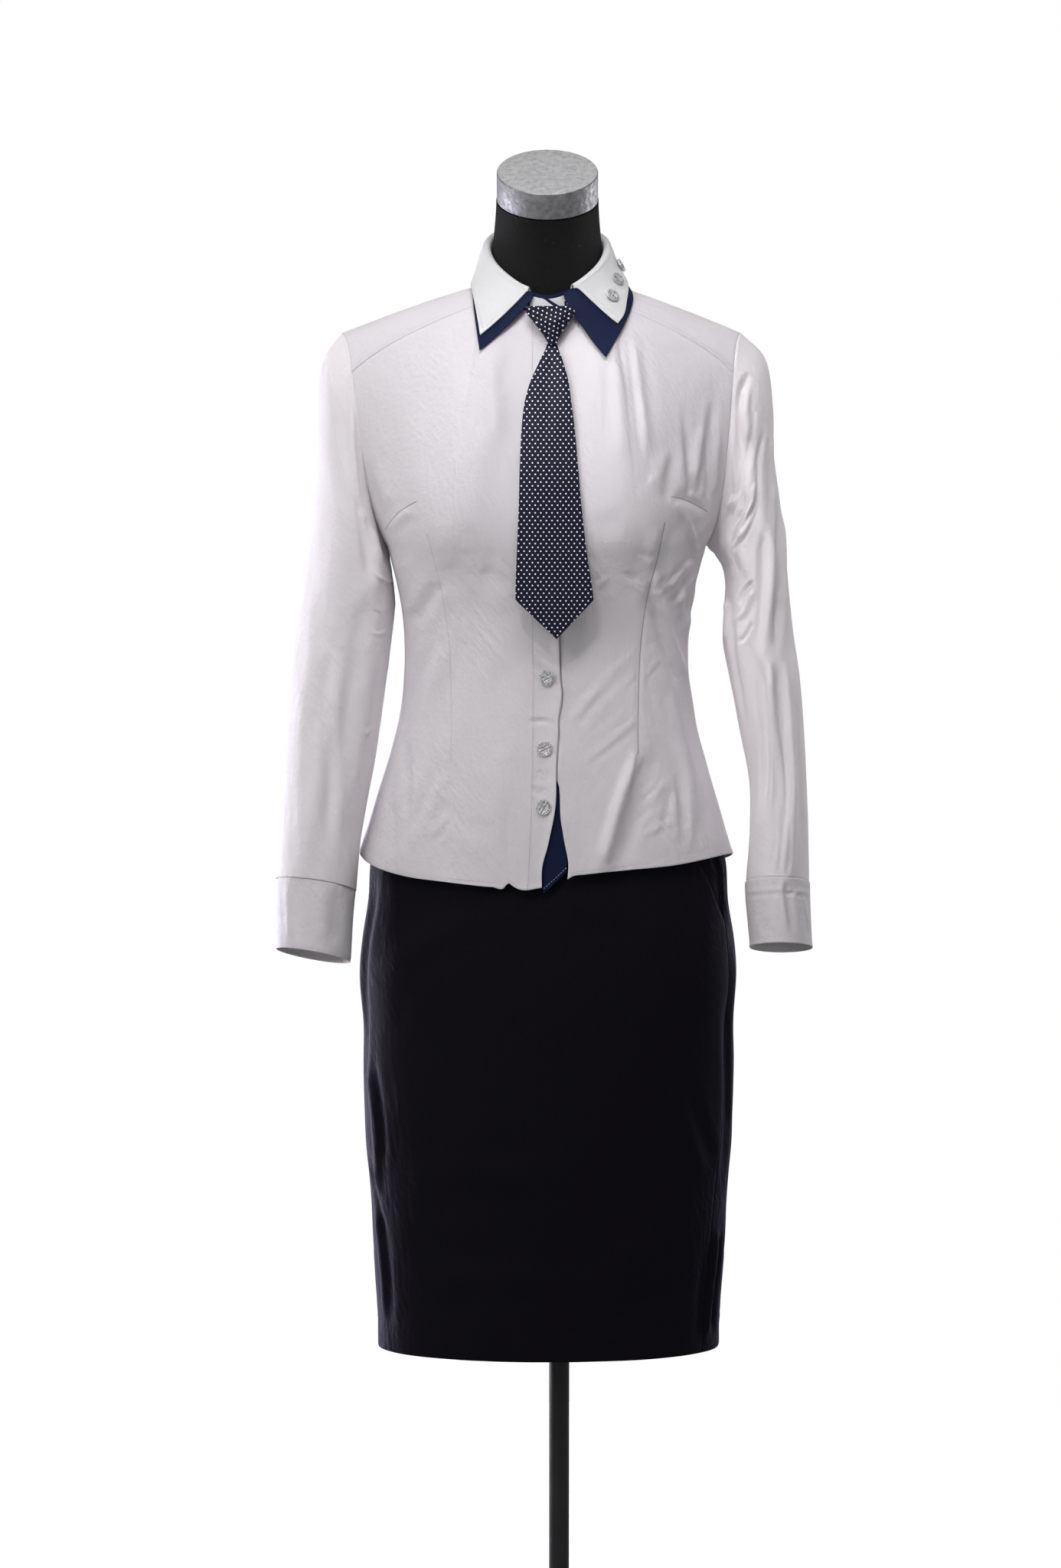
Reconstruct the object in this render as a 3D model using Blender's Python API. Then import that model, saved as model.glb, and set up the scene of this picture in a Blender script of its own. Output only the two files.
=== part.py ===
"""A flight attendant's uniform on a limbless dress form: a fitted blouse with a double collar, a
dotted tie and a pencil skirt. Metres, +Z up, and the front faces -Y. The origin is on the floor, on
the axis of the stand's pole, in the middle of the base's underside. Left and right are the wearer's,
so the wearer's right side is at -X.

Every piece of cloth is a thin wall. Its outer points come from a surface function of two parameters,
and its inner points lie one wall thickness below them.
"""

import math
from functools import partial

import bmesh
import bpy
import numpy as np
from mathutils import Matrix, Vector

FRONT, BACK = 1.0, -1.0
RIGHT, LEFT = -1.0, 1.0

# Stand and form
BASE_RADIUS = 0.170
BASE_HEIGHT = 0.010
BASE_EDGE = 0.003
HUB_RADIUS = 0.024
HUB_TOP_RADIUS = 0.018
HUB_TOP_Z = 0.052
HUB_FLARE = 0.006
POLE_RADIUS = 0.0102
FLANGE_RADIUS = 0.036
FLANGE_HEIGHT = 0.009
FORM_BOTTOM_Z = 0.690
FORM_GAP = 0.0008
FORM_EASE = 0.0034
SHOULDER_BLEND = 0.1
NECK_TOP = (-0.0122, -0.002, 1.5555)
NECK_TOP_HALF_WIDTH = 0.0505
NECK_TOP_HALF_DEPTH = 0.0545
NECK_TILT = math.radians(23)
NECK_INSET = 0.0062
NECK_DRAW = 0.012
NECK_RISE = 0.050
CAP_HEIGHT = 0.0275
CAP_EDGE = 0.0012
CAP_INSET = 0.0006

# Blouse
SHOULDER_X = -0.0180
NECK_X = -0.0125
UNDERARM_Z = 1.215
BLOUSE_X = -0.0130
BLOUSE_WALL = 0.0012
BODY_POWER = {FRONT: 0.82, BACK: 0.92}
NECK_SIDE = 0.36
NECKLINE_Y = 0.004
NECKLINE_HALF_WIDTH = 0.0605
NECKLINE_DEPTH = {FRONT: 0.070, BACK: 0.062}
NECKLINE_Z = {FRONT: 1.446, BACK: 1.482}
NECKLINE_SIDE_Z = 1.473
SHOULDER_HALF_WIDTH = 0.197
SHOULDER_DROP = 0.048
SHOULDER_BEND = 1.15
SHOULDER_BACK = 0.004
CHEST_RISE = 0.225
ARM_EDGE_POWER = 6
ARM_EDGE_RISE = (0.02, 0.16, 0.125)
OVER_SHOULDER = 0.26
OVER_SHOULDER_TIP = 0.21
OVER_TIP_OUT = 0.04
OVER_NECK = 0.06
OVER_NECK_UP = 0.11
BUST_LIFT = 0.017
BUST_X = 0.094
BUST_Z = 1.252
BUST_WIDTH = 0.046
BUST_RISE = 0.070
BUST_FALL = 0.048
YOKE_AT_ARMHOLE = 0.70
YOKE_AT_NECK = 0.80
YOKE_AT_BACK = 0.60
BAND_X = (-0.0275, 0.0125)
BAND_DEPTH = 0.0020
BAND_LENGTH = 1.012
SLEEVE_OUT = 0.0006
ARMHOLE_REACH = 2.5
CUFF_ROW = 12
CUFF_LAST_ROW = 14
CUFF_PROUD = 0.0008
CUFF_LEAN = 0.25
LEAN_FROM_ROW = 5

# Collar
COLLAR_WALL = 0.0012
STAND_WALL = 0.0011
STAND_FROM, STAND_TO = -8.0, 371.0
STAND_TOP_RADIUS = (0.0585, 0.0665, 0.0600)
STAND_BASE_GROW = 0.0017
STAND_CLEARANCE = 0.0012
STAND_OVERLAP = 0.0026
STAND_OVERLAP_FROM = 339.0
STAND_OVERLAP_TURN = 13.0
STAND_END_DROP = 0.012
STAND_END_FROM = 357.0
STAND_EDGE_HEIGHT = 0.0036
FOLD_RADIUS = 0.0042
FOLD_CENTRE = 0.0011
HOOK_HEIGHT = 0.006
LEAF_GAP = 0.0008
LEAF_START_OUT = 0.009
LEAF_START_DOWN = 0.020
LEAF_END_FALL = 0.7
WHITE_ENDS = ((24.0, 33.5), (343.0, 338.0))
WHITE_END_BEND = 0.4

# Tie
TIE_WALL = 0.0030
TIE_TIP_Z = 1.1300
TIE_CORNER_Z = 1.1680
TIE_BAND_WALL = 0.0011
TIE_BAND_OUT = 0.0018
TIE_BAND_SHARES = (0.18, 0.62)
TIE_BAND_PHI = 16.0
TIE_BEND = 0.002

# Skirt
SKIRT_X = -0.0105
SKIRT_WALL = 0.0018
SKIRT_HEM_Z = 0.412
WAISTBAND_BOTTOM_Z = 1.064
WAISTBAND_TOP_Z = 1.100
WAISTBAND_PROUD = 0.0004
POCKET_BOTTOM_Z = 0.845
FACING_WALL = 0.0011
FACING_DEPTH = 0.0027
FACING_SEAM_DEPTH = 0.0004
FACING_UNDERLAP_TURN = 3.0
FACING_RISE_TURN = 8.0
VENT_STEPS = 4

# Buttons
BUTTON_RADIUS = 0.00735
COLLAR_BUTTON_RADIUS = 0.00690
BUTTON_THICKNESS = 0.0024
BUTTON_DISH = 0.0006
BUTTON_EDGE = 0.0005
BUTTON_LIFT = 0.0006

# Fits
GAP = 0.0003
SEAM_INSET = 0.00018
INSET_LIMIT = 4.0

# Steps of the grids
CENTRE_STEPS = 3
MIDDLE_STEPS = 5
SIDE_STEPS = 5
HEM_STEPS = 11
CHEST_STEPS = 7
YOKE_FRONT_STEPS = 3
ARMHOLE_STEPS = 10
PLACKET_STEPS = 2
FORM_STEPS = 12
NECK_STEPS = 4
CUFF_STEPS = 3
STAND_STEPS = 30
COLLAR_STEPS = 28
WHITE_LEAF_ROWS = (-1, -1 / 2, -1 / 3, -1 / 6, 0, 0.3, 0.65, 1)
NAVY_LEAF_ROWS = (0, 0.3, 0.65, 1)
BLADE_COLUMNS = 4
BLADE_ROWS = 12
KNOT_COLUMNS = 16
SKIRT_COLUMNS = 7
SKIRT_LOWER_STEPS = 10
SKIRT_UPPER_STEPS = 5
FACING_STEPS = 3
ROUND_STEPS = 32
BUTTON_STEPS = 14

DIFFERENCE = 1e-4
WELD = 1e-6
SHARP_ANGLE = math.radians(40)

# Colour, roughness and metallic value
WHITE_CLOTH = ((0.68, 0.66, 0.68), 0.75, 0.0)
COLLAR_WHITE = ((0.78, 0.78, 0.78), 0.65, 0.0)
NAVY_TRIM = ((0.022, 0.026, 0.060), 0.6, 0.0)
NAVY_CLOTH = ((0.012, 0.011, 0.020), 0.8, 0.0)
TIE_CLOTH = ((0.010, 0.010, 0.024), 0.55, 0.0)
JERSEY = ((0.011, 0.011, 0.012), 0.9, 0.0)
GALVANISED = ((0.55, 0.55, 0.57), 0.38, 1.0)
BLACK_METAL = ((0.02, 0.02, 0.02), 0.4, 0.6)
SILVER = ((0.75, 0.75, 0.77), 0.3, 1.0)
CRYSTAL = ((0.85, 0.86, 0.88), 0.1, 0.0)


def table(columns, *rows):
    """A short table as its named columns."""
    return dict(zip(columns.split(), np.array(rows, float).T))


BLOUSE_SECTIONS = table(
    "z      x        half_width front  back",
    (0.878, -0.0130, 0.1910, 0.114, 0.120),
    (0.905, -0.0130, 0.1865, 0.112, 0.119),
    (0.935, -0.0130, 0.1780, 0.110, 0.115),
    (0.972, -0.0130, 0.1670, 0.107, 0.107),
    (1.010, -0.0130, 0.1550, 0.104, 0.097),
    (1.050, -0.0130, 0.1455, 0.101, 0.088),
    (1.100, -0.0130, 0.1410, 0.100, 0.081),
    (1.150, -0.0130, 0.1435, 0.105, 0.082),
    (1.180, -0.0130, 0.1490, 0.112, 0.086),
    (1.215, -0.0130, 0.1580, 0.119, 0.092),
)

FORM_SECTIONS = table(
    "z      x        half_width front   back",
    (0.690, -0.0105, 0.1700, 0.0960, 0.1030),
    (0.735, -0.0105, 0.1770, 0.1010, 0.1100),
    (0.800, -0.0105, 0.1800, 0.1030, 0.1130),
    (0.860, -0.0105, 0.1745, 0.1020, 0.1110),
    (0.905, -0.0105, 0.1675, 0.0980, 0.1050),
    (0.950, -0.0105, 0.1545, 0.0945, 0.0965),
    (1.000, -0.0105, 0.1405, 0.0905, 0.0840),
    (1.050, -0.0105, 0.1280, 0.0870, 0.0725),
    (1.084, -0.0105, 0.1276, 0.0871, 0.0681),
    (1.110, -0.0110, 0.1292, 0.0880, 0.0690),
    (1.150, -0.0120, 0.1345, 0.0960, 0.0740),
    (1.180, -0.0127, 0.1430, 0.1060, 0.0800),
    (1.215, -0.0130, 0.1530, 0.1140, 0.0870),
)

SKIRT_SECTIONS = table(
    "z      half_width front   back",
    (0.412, 0.1717, 0.0985, 0.1010),
    (0.450, 0.1720, 0.0990, 0.1020),
    (0.510, 0.1762, 0.1000, 0.1040),
    (0.565, 0.1788, 0.1020, 0.1060),
    (0.630, 0.1837, 0.1040, 0.1100),
    (0.690, 0.1853, 0.1055, 0.1130),
    (0.740, 0.1848, 0.1065, 0.1160),
    (0.797, 0.1873, 0.1075, 0.1180),
    (0.825, 0.1845, 0.1070, 0.1180),
    (0.862, 0.1790, 0.1060, 0.1160),
    (0.900, 0.1766, 0.1040, 0.1120),
    (0.950, 0.1630, 0.1010, 0.1030),
    (1.000, 0.1490, 0.0970, 0.0910),
    (1.050, 0.1370, 0.0930, 0.0780),
    (1.082, 0.1320, 0.0900, 0.0710),
    (1.100, 0.1322, 0.0904, 0.0712),
)

BLOUSE_HEM = table(
    "s     front  back",
    (-1.0, 0.907, 0.907),
    (-0.8, 0.898, 0.896),
    (-0.5, 0.888, 0.886),
    (-0.2, 0.884, 0.882),
    (0.0, 0.885, 0.881),
    (0.1, 0.890, 0.881),
    (0.3, 0.900, 0.883),
    (0.5, 0.907, 0.887),
    (0.8, 0.911, 0.898),
    (1.0, 0.908, 0.908),
)

# The placket's seam and edge, and the edge of the left front. The fronts part towards the hem
FRONT_EDGES = table(
    "z      seam     placket  left",
    (0.883, -0.0312, -0.0178, 0.0072),
    (0.900, -0.0304, -0.0165, 0.0088),
    (0.930, -0.0290, -0.0118, 0.0066),
    (0.950, -0.0280, -0.0070, 0.0030),
    (0.975, -0.0272, -0.0030, 0.0000),
    (1.020, -0.0266, -0.0019, -0.0008),
    (1.215, -0.0262, -0.0019, -0.0008),
)

SLEEVE_RIGHT = table(
    "outer_x outer_z inner_x inner_z half_depth centre_y",
    (-0.2150, 1.4245, -0.1710, 1.2150, 0.0460, 0.003),
    (-0.2345, 1.3930, -0.1692, 1.2020, 0.0490, 0.003),
    (-0.2380, 1.3400, -0.1672, 1.1880, 0.0515, 0.003),
    (-0.2385, 1.2900, -0.1656, 1.1740, 0.0530, 0.003),
    (-0.2440, 1.2400, -0.1645, 1.1600, 0.0540, 0.003),
    (-0.2510, 1.1950, -0.1650, 1.1450, 0.0540, 0.002),
    (-0.2575, 1.1540, -0.1670, 1.1270, 0.0530, 0.000),
    (-0.2650, 1.1100, -0.1705, 1.0980, 0.0520, -0.004),
    (-0.2697, 1.0620, -0.1760, 1.0600, 0.0505, -0.010),
    (-0.2725, 1.0200, -0.1825, 1.0150, 0.0485, -0.017),
    (-0.2745, 0.9750, -0.1905, 0.9700, 0.0465, -0.026),
    (-0.2770, 0.9300, -0.1985, 0.9220, 0.0440, -0.036),
    (-0.2798, 0.8870, -0.2023, 0.8750, 0.0415, -0.046),
    (-0.2805, 0.8500, -0.2050, 0.8380, 0.0395, -0.054),
    (-0.2805, 0.8190, -0.2066, 0.8060, 0.0380, -0.061),
)

SLEEVE_LEFT = table(
    "outer_x outer_z inner_x inner_z half_depth centre_y",
    (0.1790, 1.4245, 0.1450, 1.2150, 0.0460, 0.003),
    (0.2040, 1.3980, 0.1520, 1.2080, 0.0490, 0.003),
    (0.2115, 1.3500, 0.1570, 1.2020, 0.0515, 0.003),
    (0.2125, 1.3050, 0.1610, 1.1950, 0.0530, 0.003),
    (0.2185, 1.2600, 0.1635, 1.1850, 0.0540, 0.003),
    (0.2238, 1.2150, 0.1648, 1.1720, 0.0545, 0.002),
    (0.2278, 1.1700, 0.1632, 1.1500, 0.0545, 0.000),
    (0.2320, 1.1300, 0.1622, 1.1200, 0.0535, -0.003),
    (0.2385, 1.0850, 0.1695, 1.0800, 0.0520, -0.008),
    (0.2425, 1.0350, 0.1790, 1.0320, 0.0500, -0.015),
    (0.2448, 0.9850, 0.1880, 0.9820, 0.0480, -0.025),
    (0.2463, 0.9350, 0.1880, 0.9330, 0.0460, -0.036),
    (0.2468, 0.8830, 0.1843, 0.8840, 0.0430, -0.046),
    (0.2475, 0.8520, 0.1860, 0.8520, 0.0410, -0.054),
    (0.2488, 0.8200, 0.1888, 0.8210, 0.0395, -0.061),
)
SLEEVES = {RIGHT: SLEEVE_RIGHT, LEFT: SLEEVE_LEFT}

# Collar angles run round the neck: 0 in front, 90 on the wearer's left, 180 behind
STAND_TOP = table(
    "phi     z",
    (-180.0, 1.5260),
    (-130.0, 1.5230),
    (-90.0, 1.5080),
    (-50.0, 1.4840),
    (-20.0, 1.4670),
    (0.0, 1.4620),
    (20.0, 1.4670),
    (50.0, 1.4840),
    (90.0, 1.5080),
    (130.0, 1.5230),
    (180.0, 1.5260),
)

# The outer edge of the navy leaf, whose surface the white leaf also follows
LEAF_EDGE = table(
    "phi    x        y        z",
    (14.0, 0.0444, -0.1016, 1.4040),
    (35.0, 0.0620, -0.0724, 1.4330),
    (62.0, 0.0728, -0.0370, 1.4570),
    (90.0, 0.0700, -0.0060, 1.4720),
    (130.0, 0.0510, 0.0590, 1.4750),
    (180.0, -0.0125, 0.0890, 1.4735),
    (230.0, -0.0740, 0.0590, 1.4750),
    (270.0, -0.0880, -0.0080, 1.4730),
    (298.0, -0.0868, -0.0400, 1.4610),
    (325.0, -0.0830, -0.0702, 1.4360),
    (348.0, -0.0787, -0.0955, 1.4100),
)

# How far down that surface the white leaf reaches
WHITE_REACH = table(
    "phi   share",
    (24.0, 0.86),
    (33.0, 0.89),
    (41.0, 0.91),
    (57.0, 0.83),
    (70.0, 0.80),
    (100.0, 0.88),
    (130.0, 0.98),
    (180.0, 1.00),
    (230.0, 1.00),
    (270.0, 0.98),
    (303.0, 0.93),
    (323.0, 0.93),
    (343.0, 0.95),
)

KNOT_SECTIONS = table(
    "z      x        y        half_width half_depth",
    (1.4140, -0.0078, -0.0880, 0.0047, 0.0040),
    (1.4190, -0.0078, -0.0862, 0.0060, 0.0058),
    (1.4280, -0.0082, -0.0848, 0.0115, 0.0085),
    (1.4380, -0.0088, -0.0815, 0.0185, 0.0100),
    (1.4450, -0.0092, -0.0778, 0.0235, 0.0095),
    (1.4490, -0.0092, -0.0757, 0.0225, 0.0075),
    (1.4515, -0.0090, -0.0735, 0.0195, 0.0040),
)

BLADE_SECTIONS = table(
    "z      x        half_width y",
    (1.1300, -0.0036, 0.0380, -0.1297),
    (1.1680, -0.0056, 0.0380, -0.1305),
    (1.2200, -0.0086, 0.0335, -0.1307),
    (1.2600, -0.0100, 0.0305, -0.1300),
    (1.3000, -0.0112, 0.0282, -0.1259),
    (1.3300, -0.0118, 0.0262, -0.1203),
    (1.3630, -0.0118, 0.0222, -0.1112),
    (1.3800, -0.0105, 0.0185, -0.1053),
    (1.4000, -0.0086, 0.0105, -0.0960),
    (1.4133, -0.0078, 0.0058, -0.0890),
)

BUTTONS = table(
    "x        z",
    (-0.0131, 1.0905),
    (-0.0153, 1.0215),
    (-0.0165, 0.9645),
)

# Ornaments on the left leaf of the white collar, by angle and share of the leaf's fall
COLLAR_BUTTONS = table(
    "phi   share",
    (46.5, 0.57),
    (64.5, 0.48),
    (88.0, 0.48),
)

# Turns of the skirt's seams. The skirt hangs twisted, and its front panel also ends at the pockets
SKIRT_SEAMS = table(
    "z      left  right   back   pocket_left pocket_right",
    (0.412, 62.8, -117.2, 153.0, 62.8, -117.2),
    (0.510, 64.7, -115.3, 155.0, 64.7, -115.3),
    (0.620, 68.5, -111.5, 158.5, 68.5, -111.5),
    (0.760, 72.5, -107.5, 162.5, 72.5, -107.5),
    (0.845, 73.6, -106.4, 163.6, 73.6, -106.4),
    (0.868, 73.8, -106.2, 163.8, 67.0, -99.5),
    (0.905, 74.0, -106.0, 164.0, 57.0, -89.5),
    (0.960, 74.0, -106.0, 164.0, 48.5, -81.0),
    (1.064, 74.0, -106.0, 164.0, 40.0, -72.0),
)
SKIRT_SEAMS["back_again"] = SKIRT_SEAMS["back"] - 360

# Broad folds, each a soft ridge, or a trough where its height is negative, along a line that is
# seen from the front
BLOUSE_FOLDS = table(
    "x0      z0     x1      z1     width  height",
    (0.078, 1.010, 0.040, 0.905, 0.012, 0.0045),
    (0.092, 1.010, 0.062, 0.905, 0.013, -0.0040),
    (0.098, 1.200, 0.160, 0.920, 0.016, 0.0030),
    (-0.110, 1.010, -0.118, 0.895, 0.018, -0.0030),
    (-0.150, 0.990, -0.150, 0.900, 0.014, 0.0028),
    (0.060, 1.420, 0.070, 1.300, 0.012, 0.0025),
    (-0.070, 1.410, -0.075, 1.300, 0.013, 0.0022),
)

SKIRT_FOLDS = table(
    "x0      z0     x1      z1     width  height",
    (0.150, 0.560, 0.140, 0.412, 0.010, -0.0030),
    (-0.120, 0.520, -0.060, 0.430, 0.020, 0.0024),
    (-0.150, 0.600, -0.080, 0.640, 0.020, 0.0020),
    (0.050, 0.540, 0.120, 0.470, 0.022, 0.0020),
)

# Long folds of the sleeves. x is the way round the sleeve, outside to front to inside, and z the
# way down it
SLEEVE_FOLDS = table(
    "x0     z0     x1     z1     width  height",
    (0.060, 0.090, 0.048, 0.410, 0.012, 0.0030),
    (0.096, 0.140, 0.080, 0.530, 0.012, -0.0032),
    (0.076, 0.340, 0.056, 0.600, 0.010, 0.0026),
    (0.120, 0.070, 0.088, 0.240, 0.010, 0.0034),
    (0.193, 0.140, 0.200, 0.530, 0.014, -0.0030),
    (0.229, 0.100, 0.233, 0.430, 0.013, 0.0026),
)
SLEEVE_ROUND = 0.290
SLEEVE_ROW_LENGTH = 0.048

# The share of its length over which a fold fades at each end
FOLD_FADE = 0.25


def hermite(start, start_slope, end, end_slope, share):
    """The cubic between two values with the slopes given there."""
    rest = 1 - share
    return (
        start * rest**2 * (1 + 2 * share)
        + start_slope * share * rest**2
        + end * share**2 * (3 - 2 * share)
        - end_slope * share**2 * rest
    )


def through(rows, key, column, at):
    """A smooth curve through a column of a table, over another column that rises row by row."""
    knots, values = rows[key], rows[column]
    slopes = np.gradient(values, knots)
    at = np.clip(at, knots[0], knots[-1])
    row = np.clip(np.searchsorted(knots, at) - 1, 0, len(knots) - 2)
    step = knots[row + 1] - knots[row]
    return hermite(
        values[row],
        slopes[row] * step,
        values[row + 1],
        slopes[row + 1] * step,
        (at - knots[row]) / step,
    )


def smooth(share):
    """A soft step from 0 to 1."""
    share = np.clip(share, 0, 1)
    return share**2 * (3 - 2 * share)


def signed_power(value, power):
    return np.sign(value) * np.abs(value) ** power


def stacked(x, y, z):
    return np.stack(np.broadcast_arrays(x, y, z), axis=-1)


def folded(folds, x, z):
    """How far a table's folds lift the cloth at x and z."""
    lift = np.zeros(np.broadcast_shapes(np.shape(x), np.shape(z)))
    for x0, z0, x1, z1, width, height in zip(*folds.values()):
        length = math.hypot(x1 - x0, z1 - z0)
        along = ((x - x0) * (x1 - x0) + (z - z0) * (z1 - z0)) / length**2
        aside = ((x - x0) * (z1 - z0) - (z - z0) * (x1 - x0)) / length
        start, end = ((way + FOLD_FADE) / (2 * FOLD_FADE) for way in (along, 1 - along))
        ends = smooth(start) * smooth(end)
        lift = lift + height * ends * np.exp(-((aside / width) ** 2))
    return lift


def body_depth(face):
    return "front" if face == FRONT else "back"


def bust(x, z):
    """How far the bust of a general figure lifts the front."""
    fall = np.where(z > BUST_Z, BUST_RISE, BUST_FALL)
    up = np.exp(-(((z - BUST_Z) / fall) ** 2))
    across = sum(np.exp(-(((x - side * BUST_X) / BUST_WIDTH) ** 2)) for side in (RIGHT, LEFT))
    return BUST_LIFT * up * across


def trunk(sections, face, s, z):
    """A point of the trunk at height z. s runs from -1 to 1 between the side seams."""
    angle = s * math.pi / 2
    x = through(sections, "z", "half_width", z) * np.sin(angle)
    depth = through(sections, "z", body_depth(face), z)
    y = -face * depth * signed_power(np.cos(angle), BODY_POWER[face])
    if face == FRONT:
        y = y - bust(x, z) * np.sqrt(np.abs(np.cos(angle)))
    return stacked(through(sections, "z", "x", z) + x, y, z)


def top_line(face, s):
    """The neckline between the neck's sides, and the shoulder line outside them."""
    side = np.where(s < 0, RIGHT, LEFT)
    neck = np.clip(np.abs(s) / NECK_SIDE, 0, 1) * math.pi / 2
    out = np.maximum(np.abs(s) - NECK_SIDE, 0) / (1 - NECK_SIDE)
    shoulder = (SHOULDER_HALF_WIDTH - NECKLINE_HALF_WIDTH) * out
    x = NECK_X + (SHOULDER_X - NECK_X) * out + side * (NECKLINE_HALF_WIDTH * np.sin(neck) + shoulder)
    y = NECKLINE_Y + SHOULDER_BACK * out - face * NECKLINE_DEPTH[face] * np.cos(neck)
    z = NECKLINE_SIDE_Z + (NECKLINE_Z[face] - NECKLINE_SIDE_Z) * np.cos(neck)
    return stacked(x, y, z - SHOULDER_DROP * out**SHOULDER_BEND)


def chest(face, s, t):
    """The body above the underarm: t is 0 there and 1 on the neckline and the shoulder line."""
    side = np.where(s < 0, RIGHT, LEFT)
    level = np.full_like(s, UNDERARM_Z)
    bottom = trunk(BLOUSE_SECTIONS, face, s, level)
    rise = (bottom - trunk(BLOUSE_SECTIONS, face, s, level - DIFFERENCE)) / DIFFERENCE * CHEST_RISE
    edge = np.abs(s) ** ARM_EDGE_POWER
    out_rise, deep_rise, low_rise = ARM_EDGE_RISE
    rise = rise + stacked(out_rise * side * edge, -deep_rise * face * edge, -low_rise * edge)
    neck = 1 - smooth(np.abs(s) / NECK_SIDE)
    out = np.maximum(np.abs(s) - NECK_SIDE, 0) / (1 - NECK_SIDE)
    shoulder_over = OVER_SHOULDER + (OVER_SHOULDER_TIP - OVER_SHOULDER) * out
    back_over = shoulder_over * (1 - neck) + OVER_NECK * neck
    over = stacked(OVER_TIP_OUT * side * out**2, face * back_over, OVER_NECK_UP * neck)
    return hermite(bottom, rise, top_line(face, s), over, t[..., None])


def torso(face, s, t):
    """The blouse's plain surface: t is -1 at the hem, 0 at the underarm and 1 at the top."""
    s, t = np.broadcast_arrays(np.asarray(s, float), np.asarray(t, float))
    hem = through(BLOUSE_HEM, "s", body_depth(face), s)
    z = UNDERARM_Z + np.minimum(t, 0) * (UNDERARM_Z - hem)
    low = trunk(BLOUSE_SECTIONS, face, s, z)
    return np.where(t[..., None] < 0, low, chest(face, s, np.maximum(t, 0)))


def blouse(face, s, t):
    """The blouse's surface with its broad folds, which are in front."""
    points = torso(face, s, t)
    if face == BACK:
        return points
    facing = np.sqrt(np.abs(np.cos(np.broadcast_to(s, points.shape[:-1]) * math.pi / 2)))
    lift = facing * folded(BLOUSE_FOLDS, points[..., 0], points[..., 2])
    return points - stacked(0, lift, 0)


def form(face, s, t):
    """The form's surface: its own sections below the underarm, and just inside the cloth above."""
    s, t = np.broadcast_arrays(np.asarray(s, float), np.asarray(t, float))
    z = UNDERARM_Z + np.minimum(t, 0) * (UNDERARM_Z - FORM_BOTTOM_Z)
    low = trunk(FORM_SECTIONS, face, s, z)
    up = np.maximum(t, 0)
    ease = 1 - smooth(up / YOKE_AT_NECK) * smooth((np.abs(s) - NECK_SIDE) / NECK_SIDE)
    inside = BLOUSE_WALL + FORM_GAP + FORM_EASE * ease
    normals = [outward(partial(torso, side), side, s, up) for side in (face, -face)]
    shoulder = (np.abs(s) > NECK_SIDE - WELD) * smooth(1 - (1 - up) / SHOULDER_BLEND)
    normal = normals[0] + normals[1] * shoulder[..., None]
    normal = normal / np.linalg.norm(normal, axis=-1, keepdims=True)
    high = torso(face, s, up) - inside[..., None] * normal
    angle = s / NECK_SIDE * math.pi / 2
    drawn = (np.abs(s) < NECK_SIDE + WELD) * smooth((up - YOKE_AT_NECK) / (1 - YOKE_AT_NECK))
    drawn = NECK_INSET * drawn
    high = high + stacked(-drawn * np.sin(angle), face * drawn * np.cos(angle), 0)
    return np.where(t[..., None] <= 0, low, high)


def form_neck(face, s, h):
    """The form's neck, from the blouse's neckline up to the cap, on which it leans forward."""
    s, h = np.broadcast_arrays(np.asarray(s, float), np.asarray(h, float))
    angle = s / NECK_SIDE * math.pi / 2
    forward = face * NECK_TOP_HALF_DEPTH * np.cos(angle)
    x, y, z = NECK_TOP
    top = stacked(
        x + NECK_TOP_HALF_WIDTH * np.sin(angle),
        y - forward * math.cos(NECK_TILT),
        z - forward * math.sin(NECK_TILT),
    )
    bottom = form(face, s, np.ones_like(s))
    start = stacked(-NECK_DRAW * np.sin(angle), face * NECK_DRAW * np.cos(angle), NECK_RISE)
    end = stacked(0, -NECK_RISE * math.sin(NECK_TILT), NECK_RISE * math.cos(NECK_TILT))
    return hermite(bottom, start, top, end, h[..., None])


def armhole(side, turn):
    """The loop where a sleeve joins: turn 0 is the shoulder tip, 90 the front, 180 the underarm."""
    turn = np.mod(turn, 360.0)
    across = np.full_like(turn, side)
    front = torso(FRONT, across, np.abs(1 - turn / 180))
    back = torso(BACK, across, np.abs(turn / 180 - 1))
    loop = np.where((turn <= 180)[..., None], front, back)
    return loop + stacked(side * SLEEVE_OUT, 0, 0)


def sleeve_ring(side, turn, row):
    """A sleeve's own rings, before they are drawn to the armhole."""
    rows = dict(SLEEVES[side])
    rows["row"] = np.arange(len(rows["outer_x"]), dtype=float)
    ring_at = {name: through(rows, "row", name, row) for name in rows}
    angle = np.radians(turn)
    reach = (1 + np.cos(angle)) / 2
    x = ring_at["inner_x"] + (ring_at["outer_x"] - ring_at["inner_x"]) * reach
    z = ring_at["inner_z"] + (ring_at["outer_z"] - ring_at["inner_z"]) * reach
    back = -ring_at["half_depth"] * np.sin(angle)
    z = z - CUFF_LEAN * back * smooth((row - LEAN_FROM_ROW) / (CUFF_ROW - LEAN_FROM_ROW))
    around = np.mod(turn, 360.0) / 360.0 * SLEEVE_ROUND
    lift = folded(SLEEVE_FOLDS, around, row * SLEEVE_ROW_LENGTH)
    lift = lift * smooth(row) * smooth(CUFF_ROW + 0.5 - row)
    y = ring_at["centre_y"] + back - lift * np.sin(angle)
    return stacked(x + side * lift * np.cos(angle), y, z)


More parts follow.
